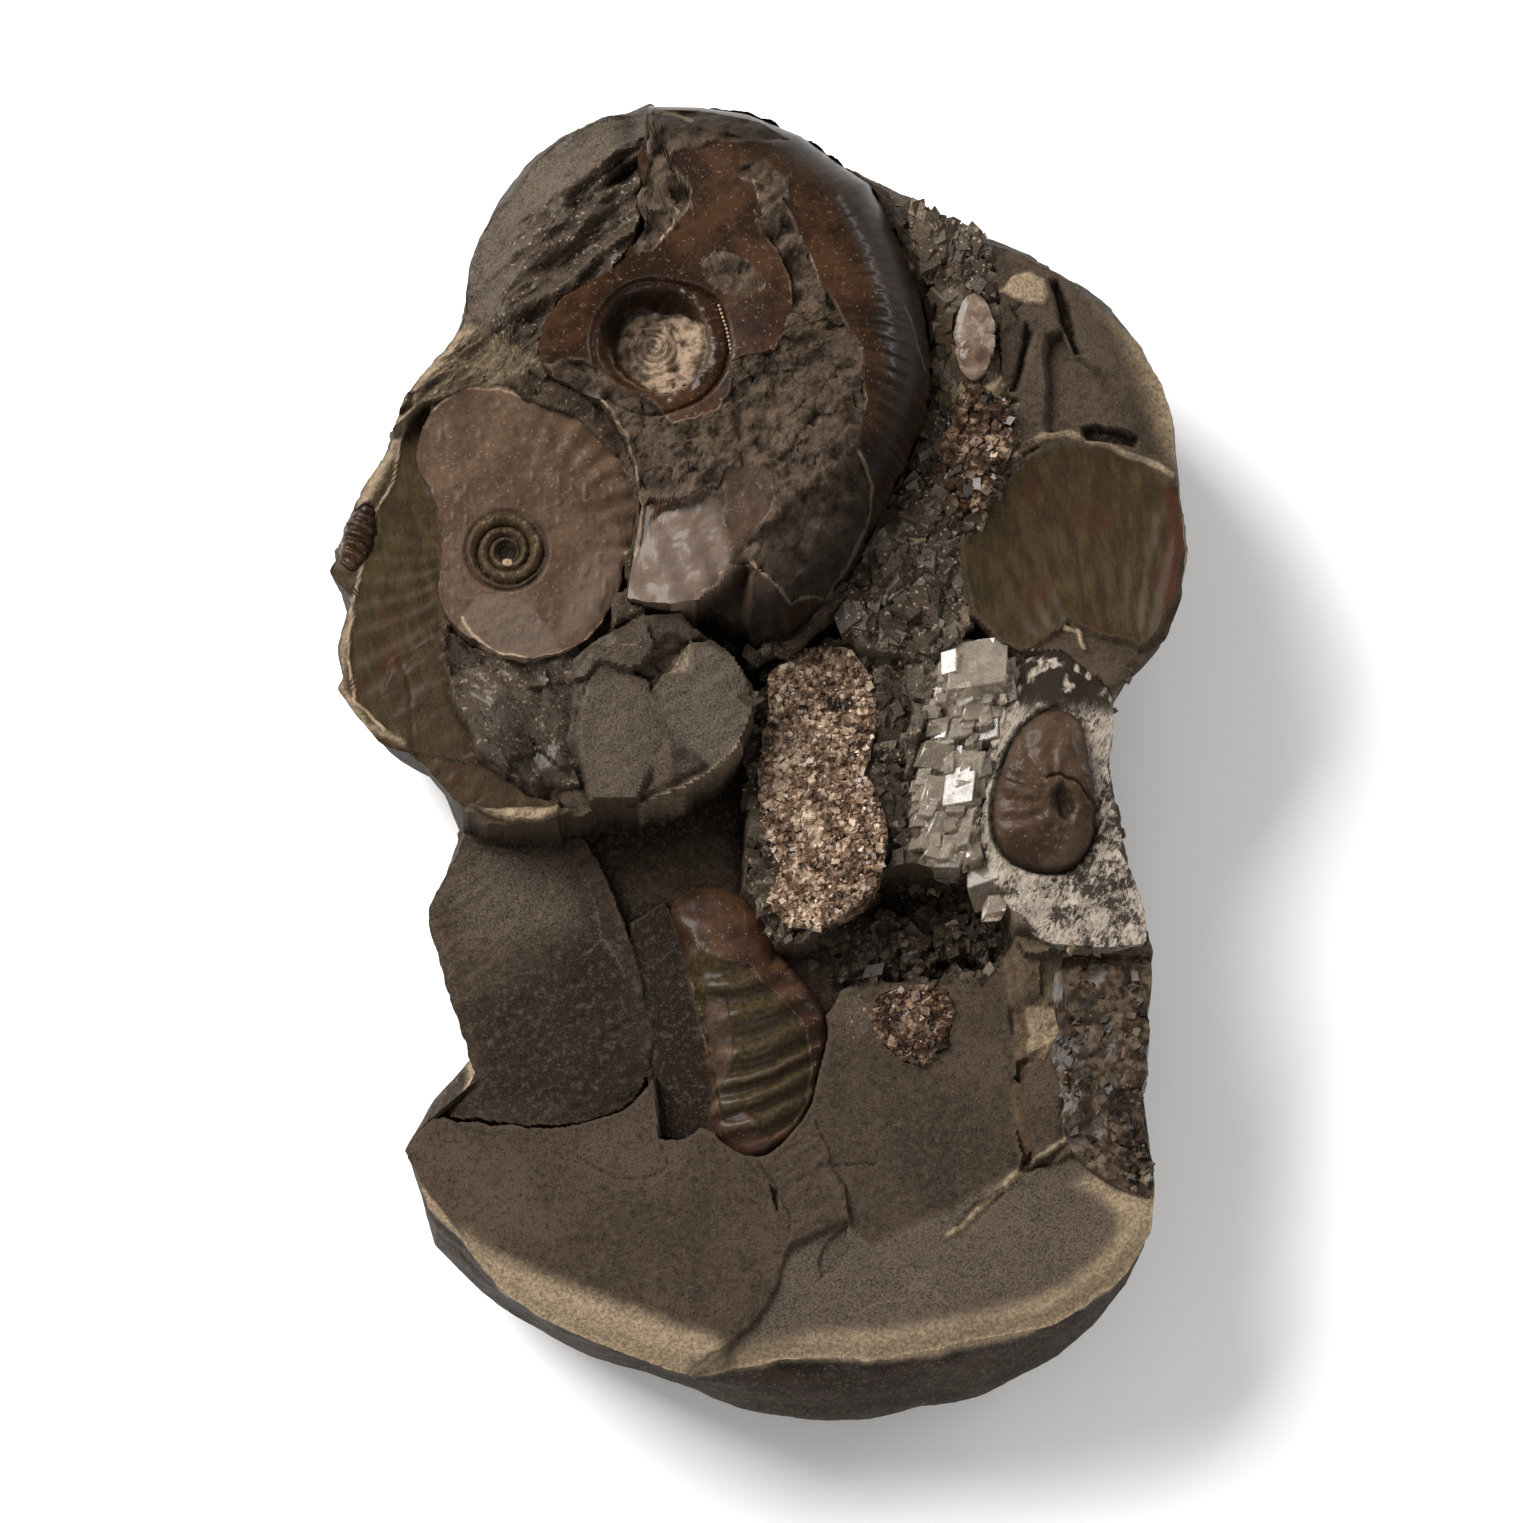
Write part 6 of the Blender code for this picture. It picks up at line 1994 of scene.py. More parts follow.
PEARL = Mark((
    (650, 520), (662, 506), (690, 500), (708, 490), (720, 500), (725, 530), (731, 560), (717, 583),
    (697, 597), (673, 602), (648, 606), (627, 614), (617, 594), (620, 572), (637, 552),
), tones=(("bare", 0.12), ("pearl", 1.0), ("dark", 0.0)), rim=0.6, soft=(-0.2, 0.25))
# Painted shade: the cavity beside the shell is sunk and darkened.
SHELL_CAVITY = Mark((
    (673, 603), (700, 598), (720, 584), (746, 560), (756, 568), (750, 600), (748, 640), (710, 645),
    (697, 628), (684, 613),
), -5.0, (-0.3, 2.6), tones=(("bare", 0.8), ("dark", 0.85)))


@dataclass(frozen=True)
class CreamEdge:
    """A cream line along a broken edge of shell: its half width and lift in mm, and how strong it is."""

    pixels: Pixels
    width: float
    lift: float
    cream: float


FLANK_EDGES = (
    CreamEdge(((858, 452), (873, 480), (868, 508), (855, 539), (845, 557), (826, 580)), 0.5, 0.3, 0.7),
    CreamEdge(((753, 564), (775, 583), (791, 595), (822, 582)), 0.4, 0.3, 0.8),
    CreamEdge(((604, 398), (626, 432), (638, 470), (642, 510), (636, 552), (622, 578)), 0.6, 0.2, 0.55),
    CreamEdge(((652, 104), (676, 108), (690, 118)), 0.9, 0.3, 0.9),
    CreamEdge(((905, 300), (915, 330), (925, 360)), 0.5, 0.2, 0.5),
    CreamEdge(((660, 240), (672, 228), (680, 214), (668, 206)), 0.45, 0.3, 0.7),
)


@dataclass
class LargeAmmonite(InsetPiece):
    """The big shell: a whorl that grows clockwise round a deep navel, with shell broken off in places."""

    hub_place: tuple[float, float, float] = (655, 343, 80.0)
    crown: float = 83.5
    rim: float = 62.5
    shoulder: float = 17.0
    seam: float = 17.0
    navel: float = 11.4
    navel_level: float = 74.0
    pitch: float = 1.5
    shoulder_ribs: int = 104
    upper_ribs: int = 190

    def top(self) -> tuple[Array, dict[str, Array]]:
        """Shapes the flank, which falls to the rim as a quarter circle, with ribs over the shoulder.

        Returns:
            Heights in mm and the attributes, with the navel and the places where shell is missing.
        """
        self.reach, self.around = self.hub(*self.hub_place)
        inwards = distance_to_line(LARGE_RIM, 64.0, self.x, self.y)
        width = self.shoulder - 6.0 * ease(np.sin(self.around), 0.75, 1.0)
        bend = 1 - np.clip(inwards / width, 0, 1)
        flank = self.crown - 2.0 * ((self.reach - 38) / 25) ** 2
        height = self.rim + (flank - self.rim) * np.sqrt(1 - bend ** 2)
        right = ease(np.cos(self.around + 0.05), 0.45, 0.92)
        over = ease(inwards, 1.0, 5.0) * ease(inwards, 24.0, 12.0)
        height = height + right * over * 0.07 * np.cos(self.around * self.shoulder_ribs - 0.30 * inwards)
        upper = ease(np.cos(self.around - 0.45), 0.75, 0.97)
        height = height + upper * over * 0.05 * np.cos(self.around * self.upper_ribs - 0.5 * inwards)
        height = height + 0.35 * smooth_noise(self.x, self.y, 0.0, 16.0, 87)
        height = height + 0.07 * rough_noise(self.x, self.y, 0.0, 2.2, 88)
        beside_disc = -Outline(LEFT.pixels, 76.0).depth(self.x, self.y)
        height = height - 5.0 * np.exp(-(np.maximum(beside_disc, 0) / 7.0) ** 2)
        skin = self.skin(self.hollow_navel(height), 82.0)
        self.break_shell(skin)
        self.colour_navel(skin)
        # Painted shade: dark on the shoulder as it falls to the rim away from the light, and in the step down
        # beside the disc.
        skin.raise_tone("dark", 0.85 * ease(inwards, 18.0, 2.0))
        skin.raise_tone("dark", 0.6 * ease(beside_disc, 1.6, 0.2))
        return skin.height, skin.colours()

    def floor_reach(self) -> Array:
        """Radius of the crystal floor: narrow under the steep wall at the upper left, wide at the right."""
        ragged = 0.9 * rough_noise(self.x, self.y, 0.0, 3.0, 90)
        return 8.4 + 3.4 * ease(np.cos(self.around + 0.45), -0.2, 0.8) + ragged

    def hollow_navel(self, height: Array) -> Array:
        """Sinks the navel: the inner whorl's band, its wall, and a spiral of crystal ridges on its floor.

        Args:
            height: Heights in mm without it.

        Returns:
            Heights in mm with it.
        """
        lean = ease(0.5 + 0.5 * np.cos(self.around - math.radians(135)), 0.35, 0.8)
        seam = self.seam - 2.5 * lean + 0.5 * rough_noise(self.x, self.y, 0.0, 9.0, 77)
        inner_edge = 8.4 + 3.2 * (1 - lean) * ease(np.cos(self.around + 0.45), -0.2, 0.8)
        wall = ease(self.reach, inner_edge, self.navel + 1.2 + 1.4 * lean)
        band = np.sin(np.clip((self.reach - self.navel) / (seam - self.navel), 0, 1) * math.pi) * (1 - lean)
        warp = 2.0 * rough_noise(self.x, self.y, 0.0, 5.0, 82)
        winding = math.tau * self.reach / self.pitch - self.around
        ridges = 0.22 * np.cos(winding + warp) * ease(self.reach, 0.6, 1.6)
        ridges = ridges * ease(self.reach, 8.5, 5.0) + 0.9 * facets(self.x, self.y, 1.3, 1.0, 83)[0]
        floor = 1.6 * ease(self.reach, 7.0, 1.0) + ridges + 0.5 * rough_noise(self.x, self.y, 0.0, 1.8, 81)
        floor = floor + 1.6 * ease(self.reach, 6.0, 11.0) * (1 - lean)
        wear = 0.7 * rough_noise(self.x, self.y, 0.0, 3.0, 84) * (1 - 0.5 * lean)
        inner = self.navel_level + 6.0 * wall + 0.8 * band + floor * (1 - wall) + wear
        edge = ease(self.reach, seam - 0.4, seam + 0.8)
        groove = 0.5 * np.exp(-((self.reach - seam + 0.2) / 0.35) ** 2) * (1 - lean)
        return inner * (1 - edge) + height * edge - groove

    def break_shell(self, skin: Skin) -> None:
        """Takes the shell off where the stone core shows, with folds that run up to the right.

        Args:
            skin: The shell's skin.
        """
        outside = ease(self.reach, self.seam - 0.5, self.seam + 0.5)
        kept = skin.height
        for mark in FLANK_BREAKS:
            skin.mark(mark)
        bare = skin.tones["bare"] * np.maximum(outside, ease(self.reach, 12.0, 15.0) * (self.around < -0.9))
        along, across = strands(self.x, self.y, 38.0, 2.4)
        folds = 1.9 * crests(along, across, 0.0, 7.0, 84, 5) + 1.7 * facets(self.x, self.y, 5.0, 1.0, 85)[0]
        folds = folds + 1.2 * facets(self.x, self.y, 2.2, 1.0, 79)[0]
        folds = folds + 0.9 * rough_noise(self.x, self.y, 0.0, 2.0, 86)
        streaks = ease(crests(along, across, 0.0, 2.6, 78, 4), 0.15, -0.35)
        skin.height = kept + (skin.height - kept + 0.9 * folds) * bare
        skin.tones["bare"] = bare
        # Painted shade in the hollows between the folds, and dark streaks along them.
        skin.raise_tone("dark", bare * np.maximum(0.5 * ease(-folds, 0.3, 2.2), 0.4 * streaks))
        pearl = skin.mark(PEARL)
        ripples = 0.35 * np.cos(self.x * 0.75 + self.y * 0.3)
        ripples = ripples + 0.9 * rough_noise(self.x, self.y, 0.0, 6.0, 89, 5)
        skin.height = skin.height * (1 - pearl) + (0.5 * kept + 39.0 + ripples) * pearl
        skin.mark(SHELL_CAVITY)
        for edge in FLANK_EDGES:
            skin.line(edge.pixels, edge.width, edge.lift, cream=edge.cream)

    def colour_navel(self, skin: Skin) -> None:
        """Colours the white crystals on the floor, a dark shaded wall and a pale lip at the lower left.

        Args:
            skin: The shell's skin.
        """
        white = ease(self.reach - self.floor_reach(), 0.4, -0.5)
        lit = ease(np.cos(self.around + 0.5) + 0.08 * (6.0 - self.reach), -0.5, 0.5)
        skin.tones["bare"] = np.maximum(skin.tones["bare"], 0.9 * white)
        skin.tones["olive"] = skin.tones["olive"] * (1 - white)
        cracks = 0.7 * ease(rough_noise(self.x, self.y, 0.0, 1.1, 80), 0.05, -0.25)
        turns = ease(np.cos(math.tau * self.reach / self.pitch - self.around), 0.3, -0.7)
        turns = turns * ease(self.reach, 6.0, 4.0)
        skin.raise_tone("cream", white * (0.35 + 0.6 * lit) * (1 - 0.5 * np.maximum(cracks, turns)))
        skin.tones["dark"] *= 1 - white
        ring = np.exp(-((self.reach - 10.4) / 0.5) ** 2) * ease(np.cos(self.around + 2.2), 0.2, 0.8)
        skin.raise_tone("cream", 0.45 * ring)
        lean = ease(0.5 + 0.5 * np.cos(self.around - math.radians(120)), 0.45, 0.9)
        skin.raise_tone("dark", 0.8 * lean * ease(self.reach, 7.8, 8.8) * ease(self.reach, 14.0, 12.0))


@dataclass(frozen=True)
class Beads:
    """The row of tiny pale nodes along the inner whorl's seam, as small joined spheres."""

    pixels: Pixels = ((719, 306), (727, 330), (731, 350), (732, 362), (728, 380), (720, 398), (711, 414))
    height: float = 80.9
    spacing: float = 0.95
    radius: float = 0.36
    sides: int = 10
    bands: int = 6

    def build(self) -> Any:
        """Repeats one sphere of latitudes and longitudes along the line.

        Returns:
            The joined spheres.
        """
        corners = on_stone(self.pixels, self.height)
        steps = np.hypot(*np.diff(corners, axis=0).T)
        along = np.append(0.0, np.cumsum(steps))
        stops = np.arange(0.0, along[-1], self.spacing)
        centres = np.stack([
            np.interp(stops, along, corners[:, 0]), np.interp(stops, along, corners[:, 1]),
            np.full(len(stops), self.height),
        ], axis=1)
        around = np.arange(self.sides) * math.tau / self.sides
        polar = np.linspace(0.4, math.pi - 0.4, self.bands)[:, None]
        ball = np.stack([
            (np.sin(polar) * np.cos(around)).ravel(), (np.sin(polar) * np.sin(around)).ravel(),
            (np.cos(polar) + 0 * around).ravel(),
        ], axis=1)
        ball = np.vstack([ball, [[0.0, 0.0, 1.0], [0.0, 0.0, -1.0]]]) * self.radius
        count = self.sides * self.bands
        skin = np.vstack([
            grid_faces(self.bands, self.sides, True)[:, ::-1],
            fan_faces(np.arange(self.sides), count, True),
            fan_faces(np.arange(count - self.sides, count), count + 1, False),
        ])
        all_points = (centres[:, None] + ball[None]).reshape(-1, 3)
        faces = (skin[None] + len(ball) * np.arange(len(centres))[:, None, None]).reshape(-1, 4)
        cream = np.full(len(all_points), 0.8)
        none = 0 * cream
        tones = {"zones": stack_colours(0.3 * cream, cream, none), "wear": stack_colours(none, none, none)}
        return write_mesh("large_ammonite_beads", all_points, faces, tones)


DISC_MARKS = (
    Mark(((463, 612), (480, 592), (500, 591), (530, 604), (552, 632), (560, 650), (532, 659), (504, 656),
          (478, 642), (458, 632)), -0.35, rim=0.35, tones=(("bare", 0.5), ("pearl", 0.6))),
    Mark(((440, 574), (456, 570), (472, 590), (466, 606), (450, 610), (440, 596)), 0.15,
         tones=(("bare", 0.35),)),
    Mark(((532, 592), (548, 588), (560, 606), (552, 630), (538, 622)), 0.1, tones=(("bare", 0.3),)),
    # Painted light: the disc's lower right is lightened towards pearl, where it catches the light.
    Mark(((578, 545), (632, 545), (612, 606), (582, 642), (548, 650), (562, 600)), 0.0, (-3.0, 5.0),
         tones=(("pearl", 0.55),)),
)


DISC_EDGES = (
    CreamEdge(((463, 618), (473, 636), (493, 651), (529, 659)), 0.5, 0.2, 0.75),
    CreamEdge(((626, 465), (638, 493), (641, 516), (636, 544), (626, 554)), 0.7, 0.0, 0.75),
    CreamEdge(((430, 412), (446, 398), (463, 389), (498, 387), (520, 396)), 0.5, 0.0, 0.5),
    CreamEdge(((603, 620), (583, 643), (560, 653), (532, 659)), 0.4, 0.1, 0.5),
)


@dataclass
class DiscAmmonite(InsetPiece):
    """The flat left shell: a worn disc with a small open coil standing up in it."""

    coil: float = 8.6
    level: float = 75.4
    coil_level: float = 73.8
    winding: float = 0.60

    def top(self) -> tuple[Array, dict[str, Array]]:
        """Shapes a gently domed disc with faint ribs, and a round whorl that winds down to a pit.

        Returns:
            Heights in mm and the attributes.
        """
        reach, around = self.hub(507, 551, 75.0)
        outwards = np.clip((reach - self.coil) / 24.0, 0, 1)
        right = ease(np.cos(around - 0.25), 0.3, 0.9)
        height = self.level - 0.9 * outwards ** 2 - 1.5 * right * self.share ** 10
        ribs = np.cos(around * 34 + 2.0 * outwards)
        height = height + right * 0.42 * ribs * ease(outwards, 0.5, 0.85)
        height = height + 0.55 * rough_noise(self.x, self.y, 0.0, 9.0, 91)
        pimples = ease(smooth_noise(self.x, self.y, 0.0, 1.5, 95), 0.45, 0.75)
        height = height + 0.14 * rough_noise(self.x, self.y, 0.0, 1.6, 92) + 0.2 * pimples
        deeper = 0.6 + 0.5 * ease(np.cos(around + 0.8), -0.3, 0.8)
        moat = np.exp(-((reach - self.coil - 0.5) / 0.6) ** 2) * deeper
        skin = self.skin(height - 0.9 * moat, 75.0)
        for mark in DISC_MARKS:
            skin.mark(mark)
        inside = ease(reach, self.coil + 0.4, self.coil - 0.2)
        turns = np.log(np.maximum(reach, 0.4) / self.coil) / math.log(self.winding) + around / math.tau
        turns = turns + 0.09 * rough_noise(self.x, self.y, 0.0, 5.0, 96)
        whorl = np.abs(np.sin(turns * math.pi))
        coil_height = self.coil_level + 2.3 * whorl ** 0.8 * ease(reach, -1.0, self.coil)
        coil_height = coil_height - ease(reach, 3.2, 1.2)
        coil_height = coil_height + rough_noise(self.x, self.y, 0.0, 2.4, 94, 5)
        skin.height = skin.height * (1 - inside) + coil_height * inside
        crystal_far, _ = self.hub(508, 562, 75.0)
        crystal = ease(crystal_far, 1.5, 0.8)
        skin.height = skin.height + 0.5 * crystal
        skin.raise_tone("olive", 0.7 * inside)
        # Painted shade: dark in the moat round the coil, strongest at its lower right as the coil's shadow,
        # and in the pit and in the whorl's grooves.
        skin.raise_tone("dark", 0.75 * moat * (reach > self.coil - 1))
        skin.raise_tone("dark", 0.85 * ease(reach, 3.2, 2.2))
        skin.raise_tone("dark", 0.35 * inside * ease(whorl, 0.5, 0.1))
        worn = ease(rough_noise(self.x, self.y, 0.0, 1.6, 97), 0.15, 0.5)
        skin.raise_tone("cream", 0.4 * inside * worn * ease(whorl, 0.5, 0.9))
        skin.tones["dark"] *= 1 - crystal
        skin.raise_tone("cream", crystal)
        for edge in DISC_EDGES:
            skin.line(edge.pixels, edge.width, edge.lift, cream=edge.cream)
        return skin.height, skin.colours()


# The pit is sunk and darkened: painted shade in it.
SMALL_PIT = Mark((
    (1053, 786), (1062, 780), (1072, 790), (1074, 806), (1068, 820), (1058, 818), (1052, 802),
), -1.6, (-0.3, 1.4), tones=(("olive", 0.7), ("dark", 0.55)))
SMALL_CRACK = ((1046, 778), (1060, 774), (1080, 781), (1092, 800), (1094, 824))
SMALL_LIP = ((1048, 792), (1050, 812), (1060, 826), (1074, 822), (1080, 806))
SMALL_FOLDS = (
    ((1004, 751), (1024, 760), (1042, 776)), ((1008, 764), (1026, 772), (1040, 784)),
    ((1000, 776), (1018, 784), (1036, 794)),
)
SMALL_WORN = Mark((
    (1070, 712), (1084, 722), (1087, 762), (1078, 762), (1074, 738),
), -0.15, rim=0.3, tones=(("bare", 0.5), ("cream", 0.25)))


@dataclass
class SmallAmmonite(InsetPiece):
    """The little glossy shell: one plump whorl with folds, closing on its small navel."""

    base: float = 61.0

    def top(self) -> tuple[Array, dict[str, Array]]:
        """Shapes a dome that dips to the navel, with folds on its left and a crack at the seam.

        Returns:
            Heights in mm and the attributes.
        """
        reach, around = self.hub(1062, 800, 65.0)
        dome = np.sqrt(np.clip(1 - self.share ** 2.4, 0, 1))
        across, up = self.x - self.middle[0], self.y - self.middle[1]
        dip = np.exp(-(reach / 4.2) ** 2)
        height = self.base + 4.4 * dome - 1.2 * dip + 0.03 * up - 0.02 * across
        left = ease(np.cos(around - math.radians(155)), 0.1, 0.8)
        folds = np.cos(around * 14 + 0.28 * reach + 1.6 * rough_noise(self.x, self.y, 0.0, 6.0, 102))
        height = height + folds * dome * left * 0.40 * ease(reach, 4.0, 8.0) * ease(self.share, 1.0, 0.8)
        height = height + 0.07 * np.cos(around * 11) * dome * ease(reach, 3.5, 7.0)
        height = height + 0.2 * rough_noise(self.x, self.y, 0.0, 5.0, 100)
        skin = self.skin(height + 0.26 * rough_noise(self.x, self.y, 0.0, 1.8, 101), 64.5)
        skin.mark(SMALL_PIT)
        # Painted shade: the crack at the seam is sunk and darkened.
        skin.line(SMALL_CRACK, 0.4, -0.8, dark=0.9)
        skin.line(SMALL_LIP, 0.9, 0.5)
        for fold in SMALL_FOLDS:
            skin.line(fold, 0.6, 0.35)
        skin.mark(SMALL_WORN)
        skin.raise_tone("olive", 0.8 * np.exp(-(reach / 2.8) ** 2))
        # Painted shade: a dark ring round the navel, and the rim darkened all round where it dips to the bed.
        skin.raise_tone("dark", 0.6 * np.exp(-((reach - 2.6) / 0.8) ** 2))
        skin.raise_tone("dark", 0.7 * ease(self.share, 0.93, 1.0))
        return skin.height, skin.colours()


TROUGH_ROWS = (870, 905, 935, 965, 995, 1034, 1069, 1087, 1110, 1133, 1160, 1190)
RIBBED_MARKS = (
    Mark((
        (688, 957), (703, 952), (729, 962), (752, 965), (762, 983), (777, 993), (788, 1008), (806, 1028),
        (812, 1060), (806, 1098), (792, 1122), (770, 1136), (748, 1112), (722, 1118), (716, 1098),
        (712, 1060), (704, 1023), (698, 1000), (690, 972),
    ), -0.7, rim=0.35, tones=(("olive", 1.0),)),
    Mark(((706, 994), (726, 1000), (734, 1030), (730, 1070), (720, 1082), (712, 1060), (706, 1024)), 0.25,
         tones=(("olive", 0.1), ("bare", 0.4))),
)


@dataclass
class RibbedAmmonite(InsetPiece):
    """The ribbed whorl seen on its back: strong ribs across, part red-brown shell and part olive mould."""

    base: float = 46.3

    def top(self) -> tuple[Array, dict[str, Array]]:
        """Shapes a dome with ribs, whose troughs are arcs that sag in the middle and rise to the right.

        Returns:
            Heights in mm and the attributes.
        """
        dome = np.sqrt(np.clip(1 - self.share ** 2.6, 0, 1))
        column, row = PICTURE.find(self.x, self.y, 52.0)
        aside = column - 752
        wobble = 4.0 * rough_noise(self.x, self.y, 0.0, 8.0, 114)
        arc = row + 0.28 * aside + 0.0035 * aside ** 2 + wobble
        wave = -np.cos(math.tau * np.interp(arc, TROUGH_ROWS, np.arange(len(TROUGH_ROWS))))
        ribs = np.sign(wave) * np.abs(wave) ** 0.8
        strength = 0.25 + 0.75 * ease(arc, 930.0, 1000.0)
        height = self.base + 7.6 * dome + 0.95 * ribs * dome * strength
        skin = self.skin(height + 0.12 * rough_noise(self.x, self.y, 0.0, 2.0, 113), 52.0)
        for mark in RIBBED_MARKS:
            skin.mark(mark)
        # Painted shade: dark in the troughs between the ribs, and round the rim.
        skin.raise_tone("dark", 0.5 * ease(-ribs, 0.2, 1.0) * strength)
        skin.raise_tone("dark", 0.5 * ease(self.share, 0.9, 1.0))
        skin.line(((690, 972), (695, 1000), (701, 1023), (708, 1060)), 0.6, 0.0, cream=0.4)
        return skin.height, skin.colours()


@dataclass
class EdgeAmmonite(InsetPiece):
    """The tiny ribbed shell on the left rim."""

    base: float = 67.0

    def top(self) -> tuple[Array, dict[str, Array]]:
        """Shapes a low dome with ribs across its length.

        Returns:
            Heights in mm and the attributes.
        """
        dome = np.sqrt(np.clip(1 - self.share ** 2.4, 0, 1))
        along = (self.y - self.middle[1]) * 0.92 + (self.x - self.middle[0]) * 0.38
        ribs = np.cos(math.tau * along / 2.3)
        skin = self.skin(self.base + 3.2 * dome + 0.40 * ribs * dome, 69.0)
        # Painted light and shade: the ribs' crests are lightened and their troughs darkened.
        skin.raise_tone("cream", 0.25 * ease(ribs, 0.2, 1.0))
        skin.raise_tone("dark", 0.4 * ease(-ribs, 0.2, 1.0))
        return skin.height, skin.colours()


# Calcite


@dataclass
class CalciteCrust(InsetPiece):
    """A mass of crystals grown together: an angular crust that its larger crystals stand in."""

    level: float = 57.0
    relief: float = 1.6
    facet: float = 3.0
    crown: float = 1.0
    moat: Pixels = ()

    def top(self) -> tuple[Array, dict[str, Array]]:
        """Shapes three sizes of flat faces over a low dome; each face has its own tone.

        Returns:
            Heights in mm and the attributes.
        """
        coarse, face = facets(self.x, self.y, self.facet * 2.2, 1.0, self.seed + 5)
        small, lot = facets(self.x, self.y, self.facet, 0.55, self.seed + 6)
        tiny, glint = facets(self.x, self.y, self.facet * 0.45, 0.28, self.seed + 7)
        height = self.level + self.relief * (coarse + small + tiny) * 0.6
        height = height + self.crown * (0.4 - self.share ** 3)
        shade = np.zeros(height.shape)
        if self.moat:
            depth = Outline(self.moat, self.level).depth(self.x, self.y)
            around = ease(depth, -1.5, -0.3)
            left = ease(self.x, *[float(PICTURE.place(c, 0, 0)[0]) for c in (1085, 1050)])
            low = ease(self.y, *[float(PICTURE.place(0, r, self.level)[1]) for r in (770, 840)])
            # Painted shadow: a dark ring just outside the small shell, on its left and low sides, where the
            # groove round it lies in shade.
            shade = 0.65 * around * np.maximum(left, low)
            height = height - 1.8 * shade
            glassy = ease(self.y, *[float(PICTURE.place(0, r, self.level)[1]) for r in (745, 685)])
            veins = ease(rough_noise(self.x, self.y, 0.0, 2.6, self.seed + 8), 0.40, 0.05)
            # The glassy top's dark veins are dark crystal, kept in the same channel.
            shade = np.maximum(shade, 0.8 * glassy * veins)
            height = height + 1.1 * glassy * facets(self.x, self.y, 3.4, 1.0, self.seed + 9)[0]
        tint = 0.25 * face + 0.35 * lot + 0.4 * glint
        zones = stack_colours(tint, 0 * tint, shade)
        return height, {"zones": zones}


@dataclass(frozen=True)
class CrystalCrowd:
    """Many small rhombs scattered over an outline, joined in one mesh."""

    name: str
    outline: Outline
    level: float
    count: int
    smallest: float
    largest: float
    lift: float
    seed: int
    hole: Outline | None = None
    low_fade: float = 0.0

    def spots(self, rng: np.random.Generator) -> tuple[Array, Array]:
        """Draws random places inside the outline, away from its edge.

        Args:
            rng: The source of random numbers.

        Returns:
            Their x and y in mm.
        """
        corners = self.outline.corners()
        low, high = corners.min(axis=0), corners.max(axis=0)
        places = rng.uniform(low, high, (self.count * 4, 2))
        fits = self.outline.depth(places[:, 0], places[:, 1]) > self.smallest * 0.4
        if self.hole is not None:
            fits &= self.hole.depth(places[:, 0], places[:, 1]) < -3.2
        places = places[fits][: self.count]
        return places[:, 0], places[:, 1]

    def build(self) -> Any:
        """Places a sheared box at each spot, turned at random; tones run in clouds, with a random half.

        Returns:
            The joined mesh, with one tone for each crystal.
        """
        rng = np.random.default_rng(self.seed)
        x, y = self.spots(rng)
        count = len(x)
        sizes = self.smallest + (self.largest - self.smallest) * rng.random((count, 1)) ** 2.2
        spin = rng.normal(size=(count, 4))
        z = self.level + rng.uniform(-0.5, 1.0, count) * self.lift
        cloud = 0.5 + 0.9 * rough_noise(x, y, 0.0, 6.0, self.seed)
        low = PICTURE.place(0, 930, self.level)[1], PICTURE.place(0, 760, self.level)[1]
        tint = 0.5 * cloud + 0.5 * rng.random(count) - self.low_fade * ease(y, low[1], low[0])
        fresh = (rng.random(count) > 0.975).astype(float)
        sides = sizes * rng.uniform(0.65, 1.25, (count, 3))
        corners, faces = rhombs(np.stack([x, y, z], axis=1), sides, spin)
        tint, fresh = np.repeat(tint, 8), np.repeat(fresh, 8)
        return write_mesh(self.name, corners, faces, {"zones": stack_colours(tint, fresh, 0 * tint)}, 20)


def rhombs(centres: Array, sides: Array, spin: Array) -> tuple[Array, Array]:
    """Sheared boxes, one for each centre.

    Args:
        centres: Their middles in mm, one row each.
        sides: Their three sides in mm.
        spin: Their turns, as quaternions w, x, y, z of any length.

    Returns:
        Corners and faces of all of them.
    """
    spin = spin / np.linalg.norm(spin, axis=1, keepdims=True)
    box = np.array([[a, b, c] for c in (-0.5, 0.5) for b in (-0.5, 0.5) for a in (-0.5, 0.5)])
    shear = np.array([[1.0, 0.22, 0.12], [0.0, 1.0, 0.18], [0.0, 0.0, 1.0]])
    turned = np.einsum("nij,nkj->nki", turn_matrices(spin), (box @ shear.T)[None] * sides[:, None])
    corners = (turned + centres[:, None]).reshape(-1, 3)
    quads = np.array([[0, 2, 3, 1], [4, 5, 7, 6], [0, 1, 5, 4], [2, 6, 7, 3], [0, 4, 6, 2], [1, 3, 7, 5]])
    return corners, (quads[None] + 8 * np.arange(len(centres))[:, None, None]).reshape(-1, 4)


def turn_matrices(spin: Array) -> Array:
    """Turns quaternions into rotation matrices.

    Args:
        spin: Unit quaternions w, x, y, z, one to a row.

    Returns:
        One matrix for each.
    """
    w, x, y, z = spin.T
    return np.stack([
        1 - 2 * (y * y + z * z), 2 * (x * y - z * w), 2 * (x * z + y * w),
        2 * (x * y + z * w), 1 - 2 * (x * x + z * z), 2 * (y * z - x * w),
        2 * (x * z - y * w), 2 * (y * z + x * w), 1 - 2 * (x * x + y * y),
    ], axis=1).reshape(-1, 3, 3)


@dataclass(frozen=True)
class Block:
    """A clear cleavage block: its middle on the photograph, its sides in mm and its turn in degrees.

    Its top's height is in mm, and milk runs from 0 for clear to 1 for white.
    """

    column: float
    row: float
    sides: tuple[float, float, float]
    turn: float
    top: float
    milk: float


